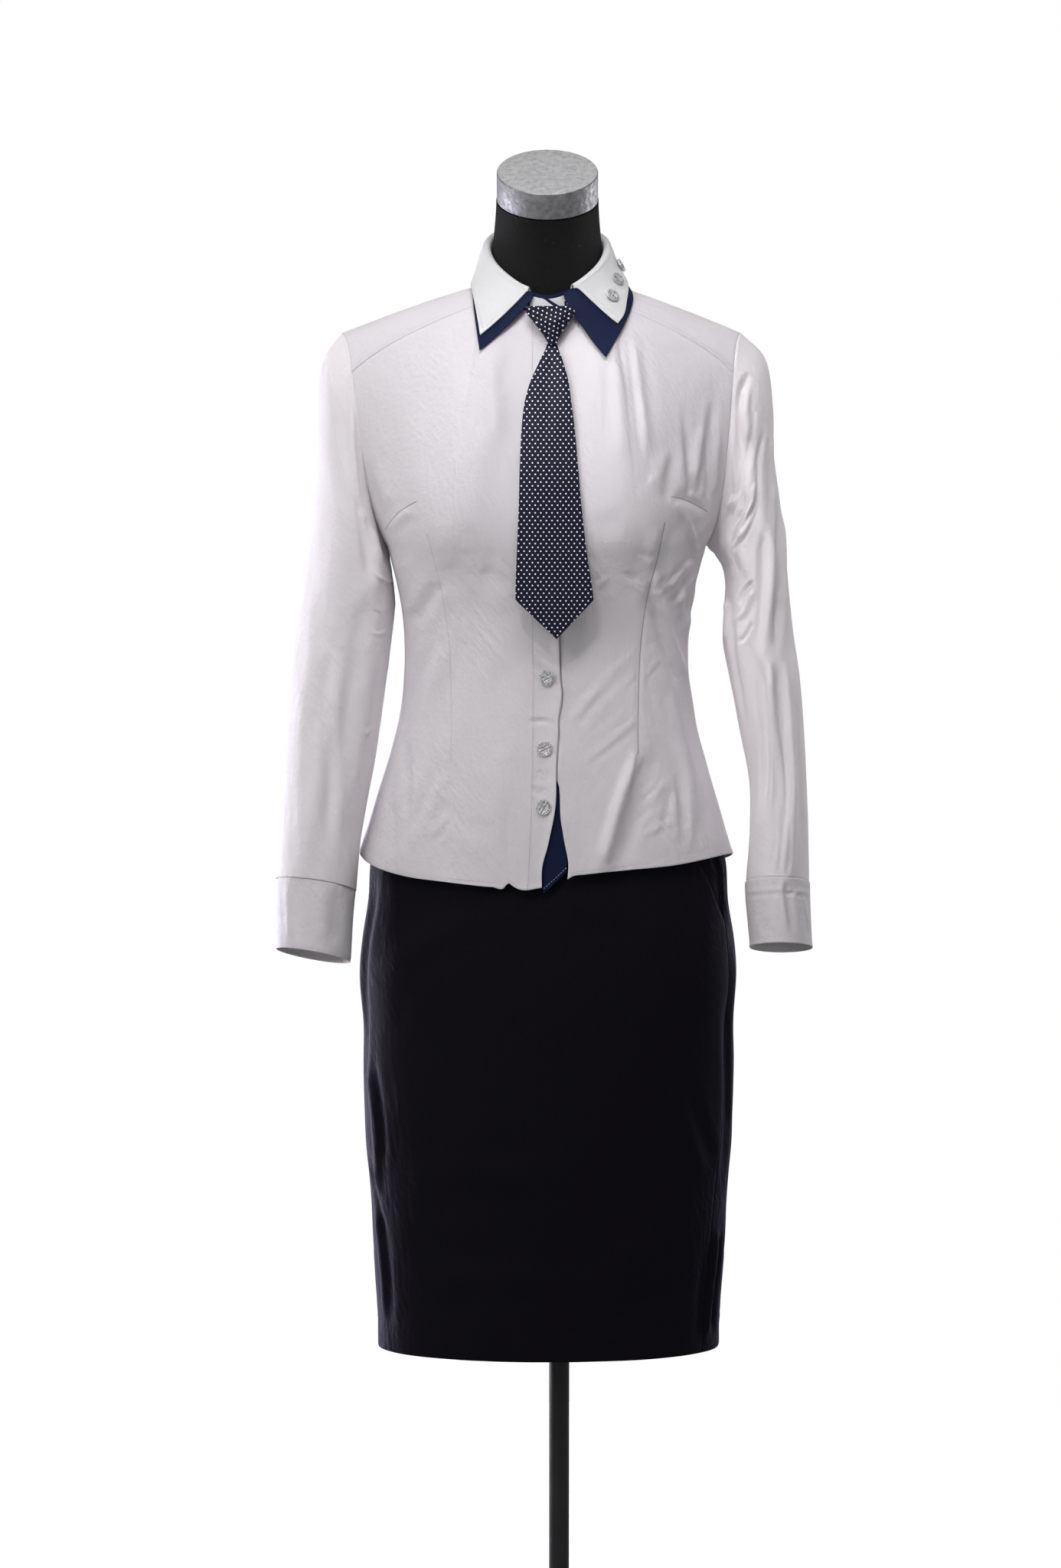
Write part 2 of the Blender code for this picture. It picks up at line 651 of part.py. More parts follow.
def sleeve(side, turn, row):
    """A sleeve and its cuff, from the armhole at row 0 down to the cuff's edge."""
    turn, row = np.broadcast_arrays(np.asarray(turn, float), np.asarray(row, float))
    pull = armhole(side, turn) - sleeve_ring(side, turn, np.zeros_like(row))
    return sleeve_ring(side, turn, row) + pull * (1 - smooth(row / ARMHOLE_REACH))[..., None]


def skirt(turn, z):
    """The skirt's outer surface: turn 0 is the front, 90 the wearer's left and 180 the back."""
    turn, z = np.broadcast_arrays(np.asarray(turn, float), np.asarray(z, float))
    angle = np.radians(turn)
    cosine = np.cos(angle)
    x = SKIRT_X + through(SKIRT_SECTIONS, "z", "half_width", z) * np.sin(angle)
    front, back = (
        through(SKIRT_SECTIONS, "z", body_depth(face), z) * signed_power(cosine, BODY_POWER[face])
        for face in (FRONT, BACK)
    )
    y = -np.where(cosine > 0, front, back)
    lift = folded(SKIRT_FOLDS, x, z) * np.clip(np.cos(angle), 0, 1)
    return stacked(x, y - lift, z)


def neck_ring(phi, grow, z):
    """A point round the neck at the radius of the stand's top edge, moved out by grow."""
    angle = np.radians(phi)
    width, front, back = (radius + grow for radius in STAND_TOP_RADIUS)
    depth = np.where(np.cos(angle) > 0, front, back)
    return stacked(NECK_X + width * np.sin(angle), NECKLINE_Y - depth * np.cos(angle), z)


def stand_height(phi):
    """The stand's lower and upper edge. Its outer end drops where it crosses the inner one."""
    around = np.mod(phi + 180, 360) - 180
    cosine = np.cos(np.radians(around))
    middle = np.where(cosine > 0, NECKLINE_Z[FRONT], NECKLINE_Z[BACK])
    base = NECKLINE_SIDE_Z + (middle - NECKLINE_SIDE_Z) * np.abs(cosine) + STAND_CLEARANCE
    top = through(STAND_TOP, "phi", "z", around)
    end = (phi - STAND_END_FROM) / (STAND_TO - STAND_END_FROM)
    return base, top - STAND_END_DROP * np.clip(end, 0, 1)


def stand(phi, share, grow=0.0):
    """The collar stand, wound once round the neck so that its outer end lies on its inner one."""
    phi, share = np.broadcast_arrays(np.asarray(phi, float), np.asarray(share, float))
    base, top = stand_height(phi)
    wound = STAND_OVERLAP * smooth((phi - STAND_OVERLAP_FROM) / STAND_OVERLAP_TURN)
    out = grow + wound + STAND_BASE_GROW * (1 - share)
    return neck_ring(phi, out, base + (top - base) * share)


def leaf(phi, share):
    """The outer side of the collar's leaves.

    share is 0 on the fold and 1 on the navy leaf's edge. Below 0 it is the white leaf's hook over the
    stand, which ends inside it at -1.
    """
    phi, share = np.broadcast_arrays(np.asarray(phi, float), np.asarray(share, float))
    top = stand_height(np.minimum(phi, LEAF_EDGE["phi"][-1]))[1]
    turn = np.pi * np.clip(-2 * share, 0, 1)
    down = HOOK_HEIGHT * np.clip(-2 * share - 1, 0, 1)
    out = FOLD_CENTRE + FOLD_RADIUS * np.cos(turn)
    hook = neck_ring(phi, out, top + FOLD_RADIUS * np.sin(turn) - down)
    fold = neck_ring(phi, FOLD_CENTRE + FOLD_RADIUS, top)
    edge = stacked(*(through(LEAF_EDGE, "phi", axis, phi) for axis in "xyz"))
    start = neck_ring(phi, FOLD_CENTRE + FOLD_RADIUS + LEAF_START_OUT, top - LEAF_START_DOWN) - fold
    end = (edge - fold) * stacked(1, 1, LEAF_END_FALL)
    fallen = hermite(fold, start, edge, end, np.maximum(share, 0)[..., None])
    return np.where(share[..., None] < 0, hook, fallen)


def tie_blade(across, z):
    """The blade's front: across runs from -1 to 1, and both its sides slant in to the tip."""
    across, z = np.broadcast_arrays(np.asarray(across, float), np.asarray(z, float))
    x, half_width, y = (through(BLADE_SECTIONS, "z", name, z) for name in ("x", "half_width", "y"))
    return stacked(x + across * half_width, y + TIE_BEND * across**2, z)


def outward(surface, hand, first, second):
    """Unit normals of a surface; hand is 1 or -1, for the side that faces out."""
    first, second = np.broadcast_arrays(np.asarray(first, float), np.asarray(second, float))
    one = surface(first + DIFFERENCE, second) - surface(first - DIFFERENCE, second)
    two = surface(first, second + DIFFERENCE) - surface(first, second - DIFFERENCE)
    normal = hand * np.cross(one, two)
    return normal / np.linalg.norm(normal, axis=-1, keepdims=True)


def patch(surface, hand, first, second, lift=0.0):
    """A grid of a surface: its points, moved out by lift, its normals and its hand.

    first and second are arrays over the grid, or the places along its two sides.
    """
    first, second = np.asarray(first, float), np.asarray(second, float)
    first = first[:, None] if first.ndim == 1 else first
    second = second[None, :] if second.ndim == 1 else second
    first, second = np.broadcast_arrays(first, second)
    normals = outward(surface, hand, first, second)
    return surface(first, second) + np.asarray(lift)[..., None] * normals, normals, hand


def halved(face, points):
    """The triangles of a quad, cut along its shorter diagonal, without those that have no area."""
    a, b, c, d = face
    if np.linalg.norm(points[a] - points[c]) < np.linalg.norm(points[b] - points[d]):
        triangles = [[a, b, c], [a, c, d]]
    else:
        triangles = [[a, b, d], [b, c, d]]
    return [triangle for triangle in triangles if len(set(triangle)) == 3]


def joined(patches):
    """Patches with equal points welded: points, normals and faces."""
    points, normals, faces, index = [], [], [], {}
    for grid, directions, hand in patches:
        rows, columns = grid.shape[:2]
        number = np.empty((rows, columns), int)
        for place in np.ndindex(rows, columns):
            key = tuple(np.round(grid[place], 6) + 0.0)
            if key not in index:
                index[key] = len(points)
                points.append(grid[place])
                normals.append(directions[place])
            number[place] = index[key]
        for i in range(rows - 1):
            for j in range(columns - 1):
                face = [number[i, j], number[i + 1, j], number[i + 1, j + 1], number[i, j + 1]]
                faces += [part if hand > 0 else part[::-1] for part in halved(face, points)]
    return np.array(points), np.array(normals), faces


def border(faces):
    """The open edges of a set of faces, each in the direction of its face."""
    edges = {(face[n - 1], face[n]) for face in faces for n in range(len(face))}
    return [(a, b) for a, b in sorted(edges) if (b, a) not in edges]


def drawn_in(points, normals, edges):
    """Points with those on the border moved in by half a seam's gap."""
    inward = {}
    for a, b in edges:
        for corner in (a, b):
            direction = np.cross(normals[corner], points[b] - points[a])
            inward.setdefault(corner, []).append(direction / np.linalg.norm(direction))
    moved = points.copy()
    for corner, directions in inward.items():
        total = sum(directions)
        squared = max(total @ total / len(directions), 2 / INSET_LIMIT**2)
        moved[corner] += SEAM_INSET * total / squared
    return moved


def add_object(name, finish, mesh):
    """A shaded object of a mesh, with a material of its own."""
    colour, roughness, metallic = finish
    material = bpy.data.materials.new(name)
    material.use_nodes = True
    shader = material.node_tree.nodes["Principled BSDF"]
    shader.inputs["Base Color"].default_value = (*colour, 1)
    shader.inputs["Roughness"].default_value = roughness
    shader.inputs["Metallic"].default_value = metallic
    mesh.materials.append(material)
    mesh.shade_smooth()
    mesh.set_sharp_from_angle(angle=SHARP_ANGLE)
    piece = bpy.data.objects.new(name, mesh)
    bpy.context.scene.collection.objects.link(piece)
    return piece


def mesh_of(name, points, faces):
    mesh = bpy.data.meshes.new(name)
    mesh.from_pydata([tuple(point) for point in points], [], faces)
    return mesh


def cloth(name, finish, wall, *patches):
    """A wall of cloth: the patches are its outer side."""
    points, normals, faces = joined(patches)
    edges = border(faces)
    outer = drawn_in(points, normals, edges)
    count = len(outer)
    under = [[corner + count for corner in face[::-1]] for face in faces]
    rims = [[b, a, a + count, b + count] for a, b in edges]
    both = np.concatenate([outer, outer - wall * normals])
    return add_object(name, finish, mesh_of(name, both, faces + under + rims))


def solid(name, finish, *patches):
    """A solid whose skin is the patches, with each open loop closed by a fan."""
    points, _, faces = joined(patches)
    following = dict(border(faces))
    points = list(points)
    while following:
        start, step = following.popitem()
        loop = [start]
        while step != start:
            loop.append(step)
            step = following.pop(step)
        points.append(np.mean([points[corner] for corner in loop], axis=0))
        faces += [[b, a, len(points) - 1] for a, b in zip(loop, loop[1:] + loop[:1])]
    return add_object(name, finish, mesh_of(name, points, faces))


def turned(name, finish, profile, steps, placing=Matrix(), stretch=1.0):
    """A turned piece from its profile of radii and heights, which starts and ends on the axis."""
    shape = bmesh.new()
    corners = [shape.verts.new((radius, 0, height)) for radius, height in profile]
    lines = [shape.edges.new(pair) for pair in zip(corners, corners[1:])]
    bmesh.ops.spin(
        shape, geom=corners + lines, axis=(0, 0, 1), cent=(0, 0, 0), angle=math.tau, steps=steps
    )
    bmesh.ops.remove_doubles(shape, verts=shape.verts, dist=WELD)
    bmesh.ops.recalc_face_normals(shape, faces=shape.faces)
    bmesh.ops.scale(shape, vec=(1, stretch, 1), verts=shape.verts)
    mesh = bpy.data.meshes.new(name)
    shape.to_mesh(mesh)
    shape.free()
    piece = add_object(name, finish, mesh)
    piece.matrix_world = placing
    return piece


def front_rows(s):
    """The rows of the fronts, by column: hem to underarm, up to the yoke's seam, and to the top."""
    out = np.clip((np.abs(s) - NECK_SIDE) / (1 - NECK_SIDE), 0, 1)[..., None]
    seam = YOKE_AT_NECK + (YOKE_AT_ARMHOLE - YOKE_AT_NECK) * out
    below = np.linspace(-1, 0, HEM_STEPS + 1) + 0 * seam
    chest_rows = seam * np.linspace(0, 1, CHEST_STEPS + 1)[1:]
    yoke_rows = seam + (1 - seam) * np.linspace(0, 1, YOKE_FRONT_STEPS + 1)[1:]
    return np.concatenate([below, chest_rows, yoke_rows], axis=-1)


MIDDLE_ROWS = front_rows(np.zeros(1))[0]
YOKE_ROW = HEM_STEPS + CHEST_STEPS
SIDE_COLUMNS = {
    LEFT: np.linspace(NECK_SIDE, 1, SIDE_STEPS + 1),
    RIGHT: np.linspace(-1, -NECK_SIDE, SIDE_STEPS + 1),
}
NECK_COLUMNS = np.linspace(-NECK_SIDE, NECK_SIDE, 4 * CENTRE_STEPS + 1)
FORM_COLUMNS = np.concatenate([SIDE_COLUMNS[RIGHT], NECK_COLUMNS[1:-1], SIDE_COLUMNS[LEFT]])
BACK_COLUMNS = np.concatenate([SIDE_COLUMNS[RIGHT], NECK_COLUMNS[2:-2:2], SIDE_COLUMNS[LEFT]])


def across_at(x, rows):
    """The place across the front of x at each row. Above the underarm it stays the same."""
    z = UNDERARM_Z + np.minimum(rows, 0) * (UNDERARM_Z - FRONT_EDGES["z"][0])
    x = through(FRONT_EDGES, "z", x, z) if isinstance(x, str) else x
    from_centre = x - through(BLOUSE_SECTIONS, "z", "x", z)
    half_width = through(BLOUSE_SECTIONS, "z", "half_width", z)
    return np.arcsin(from_centre / half_width) / (math.pi / 2)


def strip(start, end, steps, rows, lift=0.0):
    """A patch of the fronts from hem to neckline between two edges, given as places by row."""
    share = np.linspace(0, 1, steps + 1)[:, None]
    columns = start * (1 - share) + end * share
    return patch(partial(blouse, FRONT), FRONT, columns, rows, lift)


def make_blouse():
    rows = MIDDLE_ROWS
    seam, placket, edge = (across_at(name, rows) for name in ("seam", "placket", "left"))
    sides = {
        side: patch(
            partial(blouse, FRONT),
            FRONT,
            SIDE_COLUMNS[side],
            front_rows(SIDE_COLUMNS[side])[:, : YOKE_ROW + 1],
        )
        for side in (RIGHT, LEFT)
    }
    neck_side = np.full_like(rows, NECK_SIDE)
    middle = strip(-neck_side, seam, MIDDLE_STEPS, rows)
    cloth("blouse_front_right", WHITE_CLOTH, BLOUSE_WALL, sides[RIGHT], middle)
    middle = strip(edge, neck_side, MIDDLE_STEPS, rows)
    cloth("blouse_front_left", WHITE_CLOTH, BLOUSE_WALL, middle, sides[LEFT])
    cloth("placket", WHITE_CLOTH, BLOUSE_WALL, strip(seam, placket, PLACKET_STEPS, rows))
    low = np.where(rows < 0, rows * BAND_LENGTH, rows)
    band_edges = (across_at(x, low) for x in BAND_X)
    band = strip(*band_edges, PLACKET_STEPS, low, -BAND_DEPTH)
    cloth("button_band", NAVY_TRIM, BLOUSE_WALL, band)

    back_rows = np.linspace(0, 1, ARMHOLE_STEPS + 1)
    split = round(YOKE_AT_BACK * ARMHOLE_STEPS)
    below = np.concatenate([np.linspace(-1, 0, HEM_STEPS + 1), back_rows[1 : split + 1]])
    behind = partial(blouse, BACK)
    cloth("blouse_back", WHITE_CLOTH, BLOUSE_WALL, patch(behind, BACK, BACK_COLUMNS, below))
    flaps = [
        patch(
            partial(blouse, FRONT),
            FRONT,
            SIDE_COLUMNS[side],
            front_rows(SIDE_COLUMNS[side])[:, YOKE_ROW:],
        )
        for side in (RIGHT, LEFT)
    ]
    yoke = patch(behind, BACK, BACK_COLUMNS, back_rows[split:])
    cloth("yoke", WHITE_CLOTH, BLOUSE_WALL, *flaps, yoke)


def ring(steps):
    """Angles once round, closed on the first one."""
    return np.append(np.arange(steps) * 360.0 / steps, 0.0)


def make_sleeve(side, name):
    around = ring(2 * ARMHOLE_STEPS)
    surface = partial(sleeve, side)
    upper = patch(surface, side, around, np.arange(CUFF_ROW + 1.0))
    cloth("sleeve_" + name, WHITE_CLOTH, BLOUSE_WALL, upper)
    cuff_rows = np.linspace(CUFF_ROW, CUFF_LAST_ROW, CUFF_STEPS + 1)
    cuff = patch(surface, side, around, cuff_rows, CUFF_PROUD)
    cloth("cuff_" + name, WHITE_CLOTH, BLOUSE_WALL, cuff)


def make_form():
    upper_rows = front_rows(FORM_COLUMNS)[:, HEM_STEPS:]
    below = np.linspace(-1, 0, FORM_STEPS + 1)
    neck_rows = np.linspace(0, 1, NECK_STEPS + 1)
    behind_rows = np.linspace(0, 1, ARMHOLE_STEPS + 1)
    patches = []
    for face in (FRONT, BACK):
        surface = partial(form, face)
        above = upper_rows if face == FRONT else behind_rows
        patches.append(patch(surface, face, FORM_COLUMNS, below))
        patches.append(patch(surface, face, FORM_COLUMNS, above))
        patches.append(patch(partial(form_neck, face), face, NECK_COLUMNS, neck_rows))
    solid("form", JERSEY, *patches)


def make_stand():
    tilt = Matrix.Translation(NECK_TOP) @ Matrix.Rotation(NECK_TILT, 4, "X")
    width = NECK_TOP_HALF_WIDTH - CAP_INSET
    cap = [
        (0, GAP),
        (width, GAP),
        (width, CAP_HEIGHT - CAP_EDGE),
        (width - CAP_EDGE / 2, CAP_HEIGHT - CAP_EDGE / 4),
        (width - 2 * CAP_EDGE, CAP_HEIGHT),
        (0, CAP_HEIGHT),
    ]
    stretch = NECK_TOP_HALF_DEPTH / NECK_TOP_HALF_WIDTH
    turned("neck_cap", GALVANISED, cap, ROUND_STEPS, tilt, stretch)
    flange_top = FORM_BOTTOM_Z - GAP
    flange_bottom = flange_top - FLANGE_HEIGHT
    flange = [(0, flange_bottom), (FLANGE_RADIUS, flange_bottom), (FLANGE_RADIUS, flange_top)]
    turned("form_flange", BLACK_METAL, flange + [(0, flange_top)], ROUND_STEPS)
    foot, head = HUB_TOP_Z + GAP, flange_bottom - GAP
    pole = [(0, foot), (POLE_RADIUS, foot), (POLE_RADIUS, head), (0, head)]
    turned("pole", BLACK_METAL, pole, ROUND_STEPS)
    base = [
        (0, 0),
        (BASE_RADIUS - BASE_EDGE, 0),
        (BASE_RADIUS, BASE_EDGE),
        (BASE_RADIUS, BASE_HEIGHT - BASE_EDGE),
        (BASE_RADIUS - BASE_EDGE, BASE_HEIGHT),
        (HUB_RADIUS + HUB_FLARE, BASE_HEIGHT),
        (HUB_RADIUS, BASE_HEIGHT + HUB_FLARE),
        (HUB_TOP_RADIUS, HUB_TOP_Z),
        (0, HUB_TOP_Z),
    ]
    turned("base", BLACK_METAL, base, ROUND_STEPS)


def make_collar():
    around = np.linspace(STAND_FROM, STAND_TO, STAND_STEPS + 1)
    base, top = stand_height(around)
    strip_at = 1 - STAND_EDGE_HEIGHT / (top - base)
    rows = strip_at[:, None] * np.linspace(0, 1, 3)
    cloth("collar_stand", COLLAR_WHITE, STAND_WALL, patch(stand, 1, around, rows))
    rows = np.stack([strip_at, np.ones_like(strip_at)], axis=1)
    cloth("collar_edge", NAVY_TRIM, STAND_WALL, patch(stand, 1, around, rows))
    around = np.linspace(LEAF_EDGE["phi"][0], LEAF_EDGE["phi"][-1], COLLAR_STEPS + 1)
    navy = patch(leaf, -1, around, NAVY_LEAF_ROWS, -COLLAR_WALL - LEAF_GAP)
    cloth("navy_collar", NAVY_TRIM, COLLAR_WALL, navy)
    rows = np.array(WHITE_LEAF_ROWS)
    (from_fold, from_tip), (to_fold, to_tip) = WHITE_ENDS
    bend = np.maximum(rows, 0) ** WHITE_END_BEND
    first = from_fold + (from_tip - from_fold) * bend
    last = to_fold + (to_tip - to_fold) * bend
    around = first + (last - first) * np.linspace(0, 1, COLLAR_STEPS + 1)[:, None]
    reach = np.where(rows > 0, through(WHITE_REACH, "phi", "share", around), 1)
    cloth("white_collar", COLLAR_WHITE, COLLAR_WALL, patch(leaf, -1, around, rows * reach))


def knot(turn, z):
    turn, z = np.broadcast_arrays(np.asarray(turn, float), np.asarray(z, float))
    angle = np.radians(turn)
    x, y, half_width, half_depth = (
        through(KNOT_SECTIONS, "z", name, z) for name in ("x", "y", "half_width", "half_depth")
    )
    return stacked(x + half_width * np.sin(angle), y - half_depth * np.cos(angle), z)


def make_tie():
    across = np.linspace(-1, 1, BLADE_COLUMNS + 1)
    bottom = TIE_TIP_Z + (TIE_CORNER_Z - TIE_TIP_Z) * np.abs(across)[:, None]
    top = BLADE_SECTIONS["z"][-1]
    rows = bottom + (top - bottom) * np.linspace(0, 1, BLADE_ROWS + 1)
    cloth("tie_blade", TIE_CLOTH, TIE_WALL, patch(tie_blade, 1, across, rows))
    solid("tie_knot", TIE_CLOTH, patch(knot, 1, ring(KNOT_COLUMNS), KNOT_SECTIONS["z"]))
    around = np.linspace(TIE_BAND_PHI, 360 - TIE_BAND_PHI, COLLAR_STEPS + 1)
    band = partial(stand, grow=TIE_BAND_OUT)
    cloth("tie_band", TIE_CLOTH, TIE_BAND_WALL, patch(band, 1, around, TIE_BAND_SHARES))


def seam_turn(name, z):
    return np.interp(z, SKIRT_SEAMS["z"], SKIRT_SEAMS[name])


def skirt_patch(start, end, columns, rows, lift=0.0):
    """A patch of the skirt between two of its seams, or between turns given by row."""
    start, end = (seam_turn(edge, rows) if isinstance(edge, str) else edge for edge in (start, end))
    share = np.linspace(0, 1, columns + 1)[:, None]
    return patch(skirt, 1, start * (1 - share) + end * share, rows, lift)


def make_facing(side, rows):
    """The pocket's facing: it lies under the front's edge and rises to the side seam."""
    name = "left" if side == LEFT else "right"
    seam, pocket = (seam_turn(edge, rows) for edge in (name, "pocket_" + name))
    rise = smooth(np.abs(seam - pocket) / FACING_RISE_TURN)
    seam_depth = FACING_DEPTH + (FACING_SEAM_DEPTH - FACING_DEPTH) * rise
    share = np.linspace(0, 1, FACING_STEPS)[:, None]
    turns = np.concatenate(
        [pocket[None] - side * FACING_UNDERLAP_TURN, pocket * (1 - share) + seam * share]
    )
    depths = np.concatenate(
        [np.full((1, len(rows)), FACING_DEPTH), FACING_DEPTH * (1 - share) + seam_depth * share]
    )
    grid = patch(skirt, 1, turns[::int(side)], rows, -depths[::int(side)])
    cloth("pocket_facing_" + name, NAVY_CLOTH, FACING_WALL, grid)


def make_skirt():
    lower = np.linspace(SKIRT_HEM_Z, POCKET_BOTTOM_Z, SKIRT_LOWER_STEPS + 1)
    upper = np.linspace(POCKET_BOTTOM_Z, WAISTBAND_BOTTOM_Z, SKIRT_UPPER_STEPS + 1)
    rows = np.concatenate([lower, upper[1:]])
    for name, start, end, columns in (
        ("skirt_front", "pocket_right", "pocket_left", 2 * SKIRT_COLUMNS),
        ("skirt_back_left", "left", "back", SKIRT_COLUMNS),
        ("skirt_back_right", "back_again", "right", SKIRT_COLUMNS),
    ):
        cloth(name, NAVY_CLOTH, SKIRT_WALL, skirt_patch(start, end, columns, rows))
    for side in (RIGHT, LEFT):
        make_facing(side, upper)
    vent = lower[: VENT_STEPS + 1]
    seam, left, right = (seam_turn(name, vent) for name in ("back", "left", "right"))
    start = seam - (seam - left) / SKIRT_COLUMNS
    end = seam + (right + 360 - seam) / SKIRT_COLUMNS
    halves = [
        skirt_patch(*edges, 1, vent, -SKIRT_WALL - GAP) for edges in ((start, seam), (seam, end))
    ]
    cloth("vent_underlay", NAVY_CLOTH, SKIRT_WALL, *halves)
    band = patch(skirt, 1, ring(ROUND_STEPS), (WAISTBAND_BOTTOM_Z, WAISTBAND_TOP_Z), WAISTBAND_PROUD)
    cloth("waistband", NAVY_CLOTH, SKIRT_WALL, band)


def make_button(name, finish, radius, surface, hand, first, second):
    """A dished button on a surface."""
    normal = Vector(outward(surface, hand, first, second))
    seat = Vector(surface(first, second)) + normal * BUTTON_LIFT
    placing = Matrix.Translation(seat) @ normal.to_track_quat("Z", "Y").to_matrix().to_4x4()
    profile = [
        (0, 0),
        (radius, 0),
        (radius, BUTTON_THICKNESS - BUTTON_EDGE),
        (radius - BUTTON_EDGE, BUTTON_THICKNESS),
        (radius / 2, BUTTON_THICKNESS - BUTTON_DISH),
        (0, BUTTON_THICKNESS - BUTTON_DISH),
    ]
    turned(name, finish, profile, BUTTON_STEPS, placing)


def make_buttons():
    for number, (x, z) in enumerate(zip(*BUTTONS.values()), 1):
        s = np.arcsin((x - BLOUSE_X) / through(BLOUSE_SECTIONS, "z", "half_width", z))
        s = s / (math.pi / 2)
        t = (z - UNDERARM_Z) / (UNDERARM_Z - through(BLOUSE_HEM, "s", "front", s))
        surface = partial(blouse, FRONT)
        make_button(f"front_button_{number}", SILVER, BUTTON_RADIUS, surface, FRONT, s, t)
    for number, (phi, share) in enumerate(zip(*COLLAR_BUTTONS.values()), 1):
        name = f"collar_button_{number}"
        make_button(name, CRYSTAL, COLLAR_BUTTON_RADIUS, leaf, -1, phi, share)


def main():
    for leftover in list(bpy.data.objects):
        bpy.data.objects.remove(leftover)
    make_form()
    make_stand()
    make_blouse()
    for side, name in ((RIGHT, "right"), (LEFT, "left")):
        make_sleeve(side, name)
    make_collar()
    make_tie()
    make_skirt()
    make_buttons()


if __name__ == "__main__":
    main()
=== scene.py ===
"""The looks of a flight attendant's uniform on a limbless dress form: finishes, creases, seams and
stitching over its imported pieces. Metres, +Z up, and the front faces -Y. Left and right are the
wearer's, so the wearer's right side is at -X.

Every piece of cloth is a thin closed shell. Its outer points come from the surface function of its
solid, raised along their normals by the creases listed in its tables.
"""

import math
from functools import partial

import bpy
import numpy as np
from mathutils import Matrix, Vector


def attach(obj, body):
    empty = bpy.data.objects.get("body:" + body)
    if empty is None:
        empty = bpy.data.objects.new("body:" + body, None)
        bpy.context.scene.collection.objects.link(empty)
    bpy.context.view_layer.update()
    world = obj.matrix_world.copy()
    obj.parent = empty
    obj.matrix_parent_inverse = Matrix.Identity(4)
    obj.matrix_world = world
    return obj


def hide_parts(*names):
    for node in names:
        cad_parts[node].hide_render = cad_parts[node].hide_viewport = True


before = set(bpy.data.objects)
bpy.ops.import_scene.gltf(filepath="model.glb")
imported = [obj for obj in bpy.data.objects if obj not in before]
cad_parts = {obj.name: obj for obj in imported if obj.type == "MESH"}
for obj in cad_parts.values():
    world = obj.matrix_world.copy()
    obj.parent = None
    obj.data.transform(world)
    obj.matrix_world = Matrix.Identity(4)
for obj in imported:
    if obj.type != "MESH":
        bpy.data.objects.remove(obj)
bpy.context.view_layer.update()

FRONT, BACK = 1.0, -1.0
RIGHT, LEFT = -1.0, 1.0

# Stand and form
BASE_RADIUS = 0.170
BASE_HEIGHT = 0.010
BASE_EDGE = 0.003
HUB_RADIUS = 0.024
HUB_TOP_RADIUS = 0.018
HUB_TOP_Z = 0.052
HUB_FLARE = 0.006
POLE_RADIUS = 0.0102
FLANGE_RADIUS = 0.036
FLANGE_HEIGHT = 0.009
FORM_BOTTOM_Z = 0.690
FORM_GAP = 0.0008
FORM_EASE = 0.0034
SHOULDER_BLEND = 0.1
NECK_TOP = (-0.0122, -0.002, 1.5555)
NECK_TOP_HALF_WIDTH = 0.0505
NECK_TOP_HALF_DEPTH = 0.0545
NECK_TILT = math.radians(23)
NECK_INSET = 0.0062
NECK_DRAW = 0.012
NECK_RISE = 0.050
CAP_HEIGHT = 0.0275
CAP_INSET = 0.0006

# Blouse
SHOULDER_X = -0.0180
NECK_X = -0.0125
UNDERARM_Z = 1.215
BLOUSE_X = -0.0130
BLOUSE_WALL = 0.0012
BODY_POWER = {FRONT: 0.82, BACK: 0.92}
NECK_SIDE = 0.36
NECKLINE_Y = 0.004
NECKLINE_HALF_WIDTH = 0.0605
NECKLINE_DEPTH = {FRONT: 0.070, BACK: 0.062}
NECKLINE_Z = {FRONT: 1.446, BACK: 1.482}
NECKLINE_SIDE_Z = 1.473
SHOULDER_HALF_WIDTH = 0.197
SHOULDER_DROP = 0.048
SHOULDER_BEND = 1.15
SHOULDER_BACK = 0.004
CHEST_RISE = 0.225
ARM_EDGE_POWER = 6
ARM_EDGE_RISE = (0.02, 0.16, 0.125)
OVER_SHOULDER = 0.26
OVER_SHOULDER_TIP = 0.21
OVER_TIP_OUT = 0.04
OVER_NECK = 0.06
OVER_NECK_UP = 0.11
BUST_LIFT = 0.017
BUST_X = 0.094
BUST_Z = 1.252
BUST_WIDTH = 0.046
BUST_RISE = 0.070
BUST_FALL = 0.048
YOKE_AT_ARMHOLE = 0.70
YOKE_AT_NECK = 0.80
YOKE_AT_BACK = 0.60
BAND_X = (-0.0275, 0.0125)
BAND_DEPTH = 0.0020
BAND_LENGTH = 0.9940
SLEEVE_OUT = 0.0001
ARMHOLE_REACH = 2.5
CUFF_ROW = 12
CUFF_LAST_ROW = 14
CUFF_PROUD = 0.0008
CUFF_LEAN = 0.25
LEAN_FROM_ROW = 5

# Collar
COLLAR_WALL = 0.0012
STAND_FROM, STAND_TO = -8.0, 371.0
STAND_TOP_RADIUS = (0.0585, 0.0665, 0.0600)
STAND_BASE_GROW = 0.0017
STAND_CLEARANCE = 0.0012
STAND_OVERLAP = 0.0026
STAND_OVERLAP_FROM = 339.0
STAND_OVERLAP_TURN = 13.0
STAND_END_DROP = 0.012
STAND_END_FROM = 357.0
STAND_EDGE_HEIGHT = 0.0036
FOLD_RADIUS = 0.0042
FOLD_CENTRE = 0.0011
HOOK_HEIGHT = 0.006
LEAF_GAP = 0.0008
LEAF_START_OUT = 0.009
LEAF_START_DOWN = 0.020
LEAF_END_FALL = 0.7
WHITE_ENDS = ((24.0, 33.5), (343.0, 338.0))
WHITE_END_BEND = 0.4

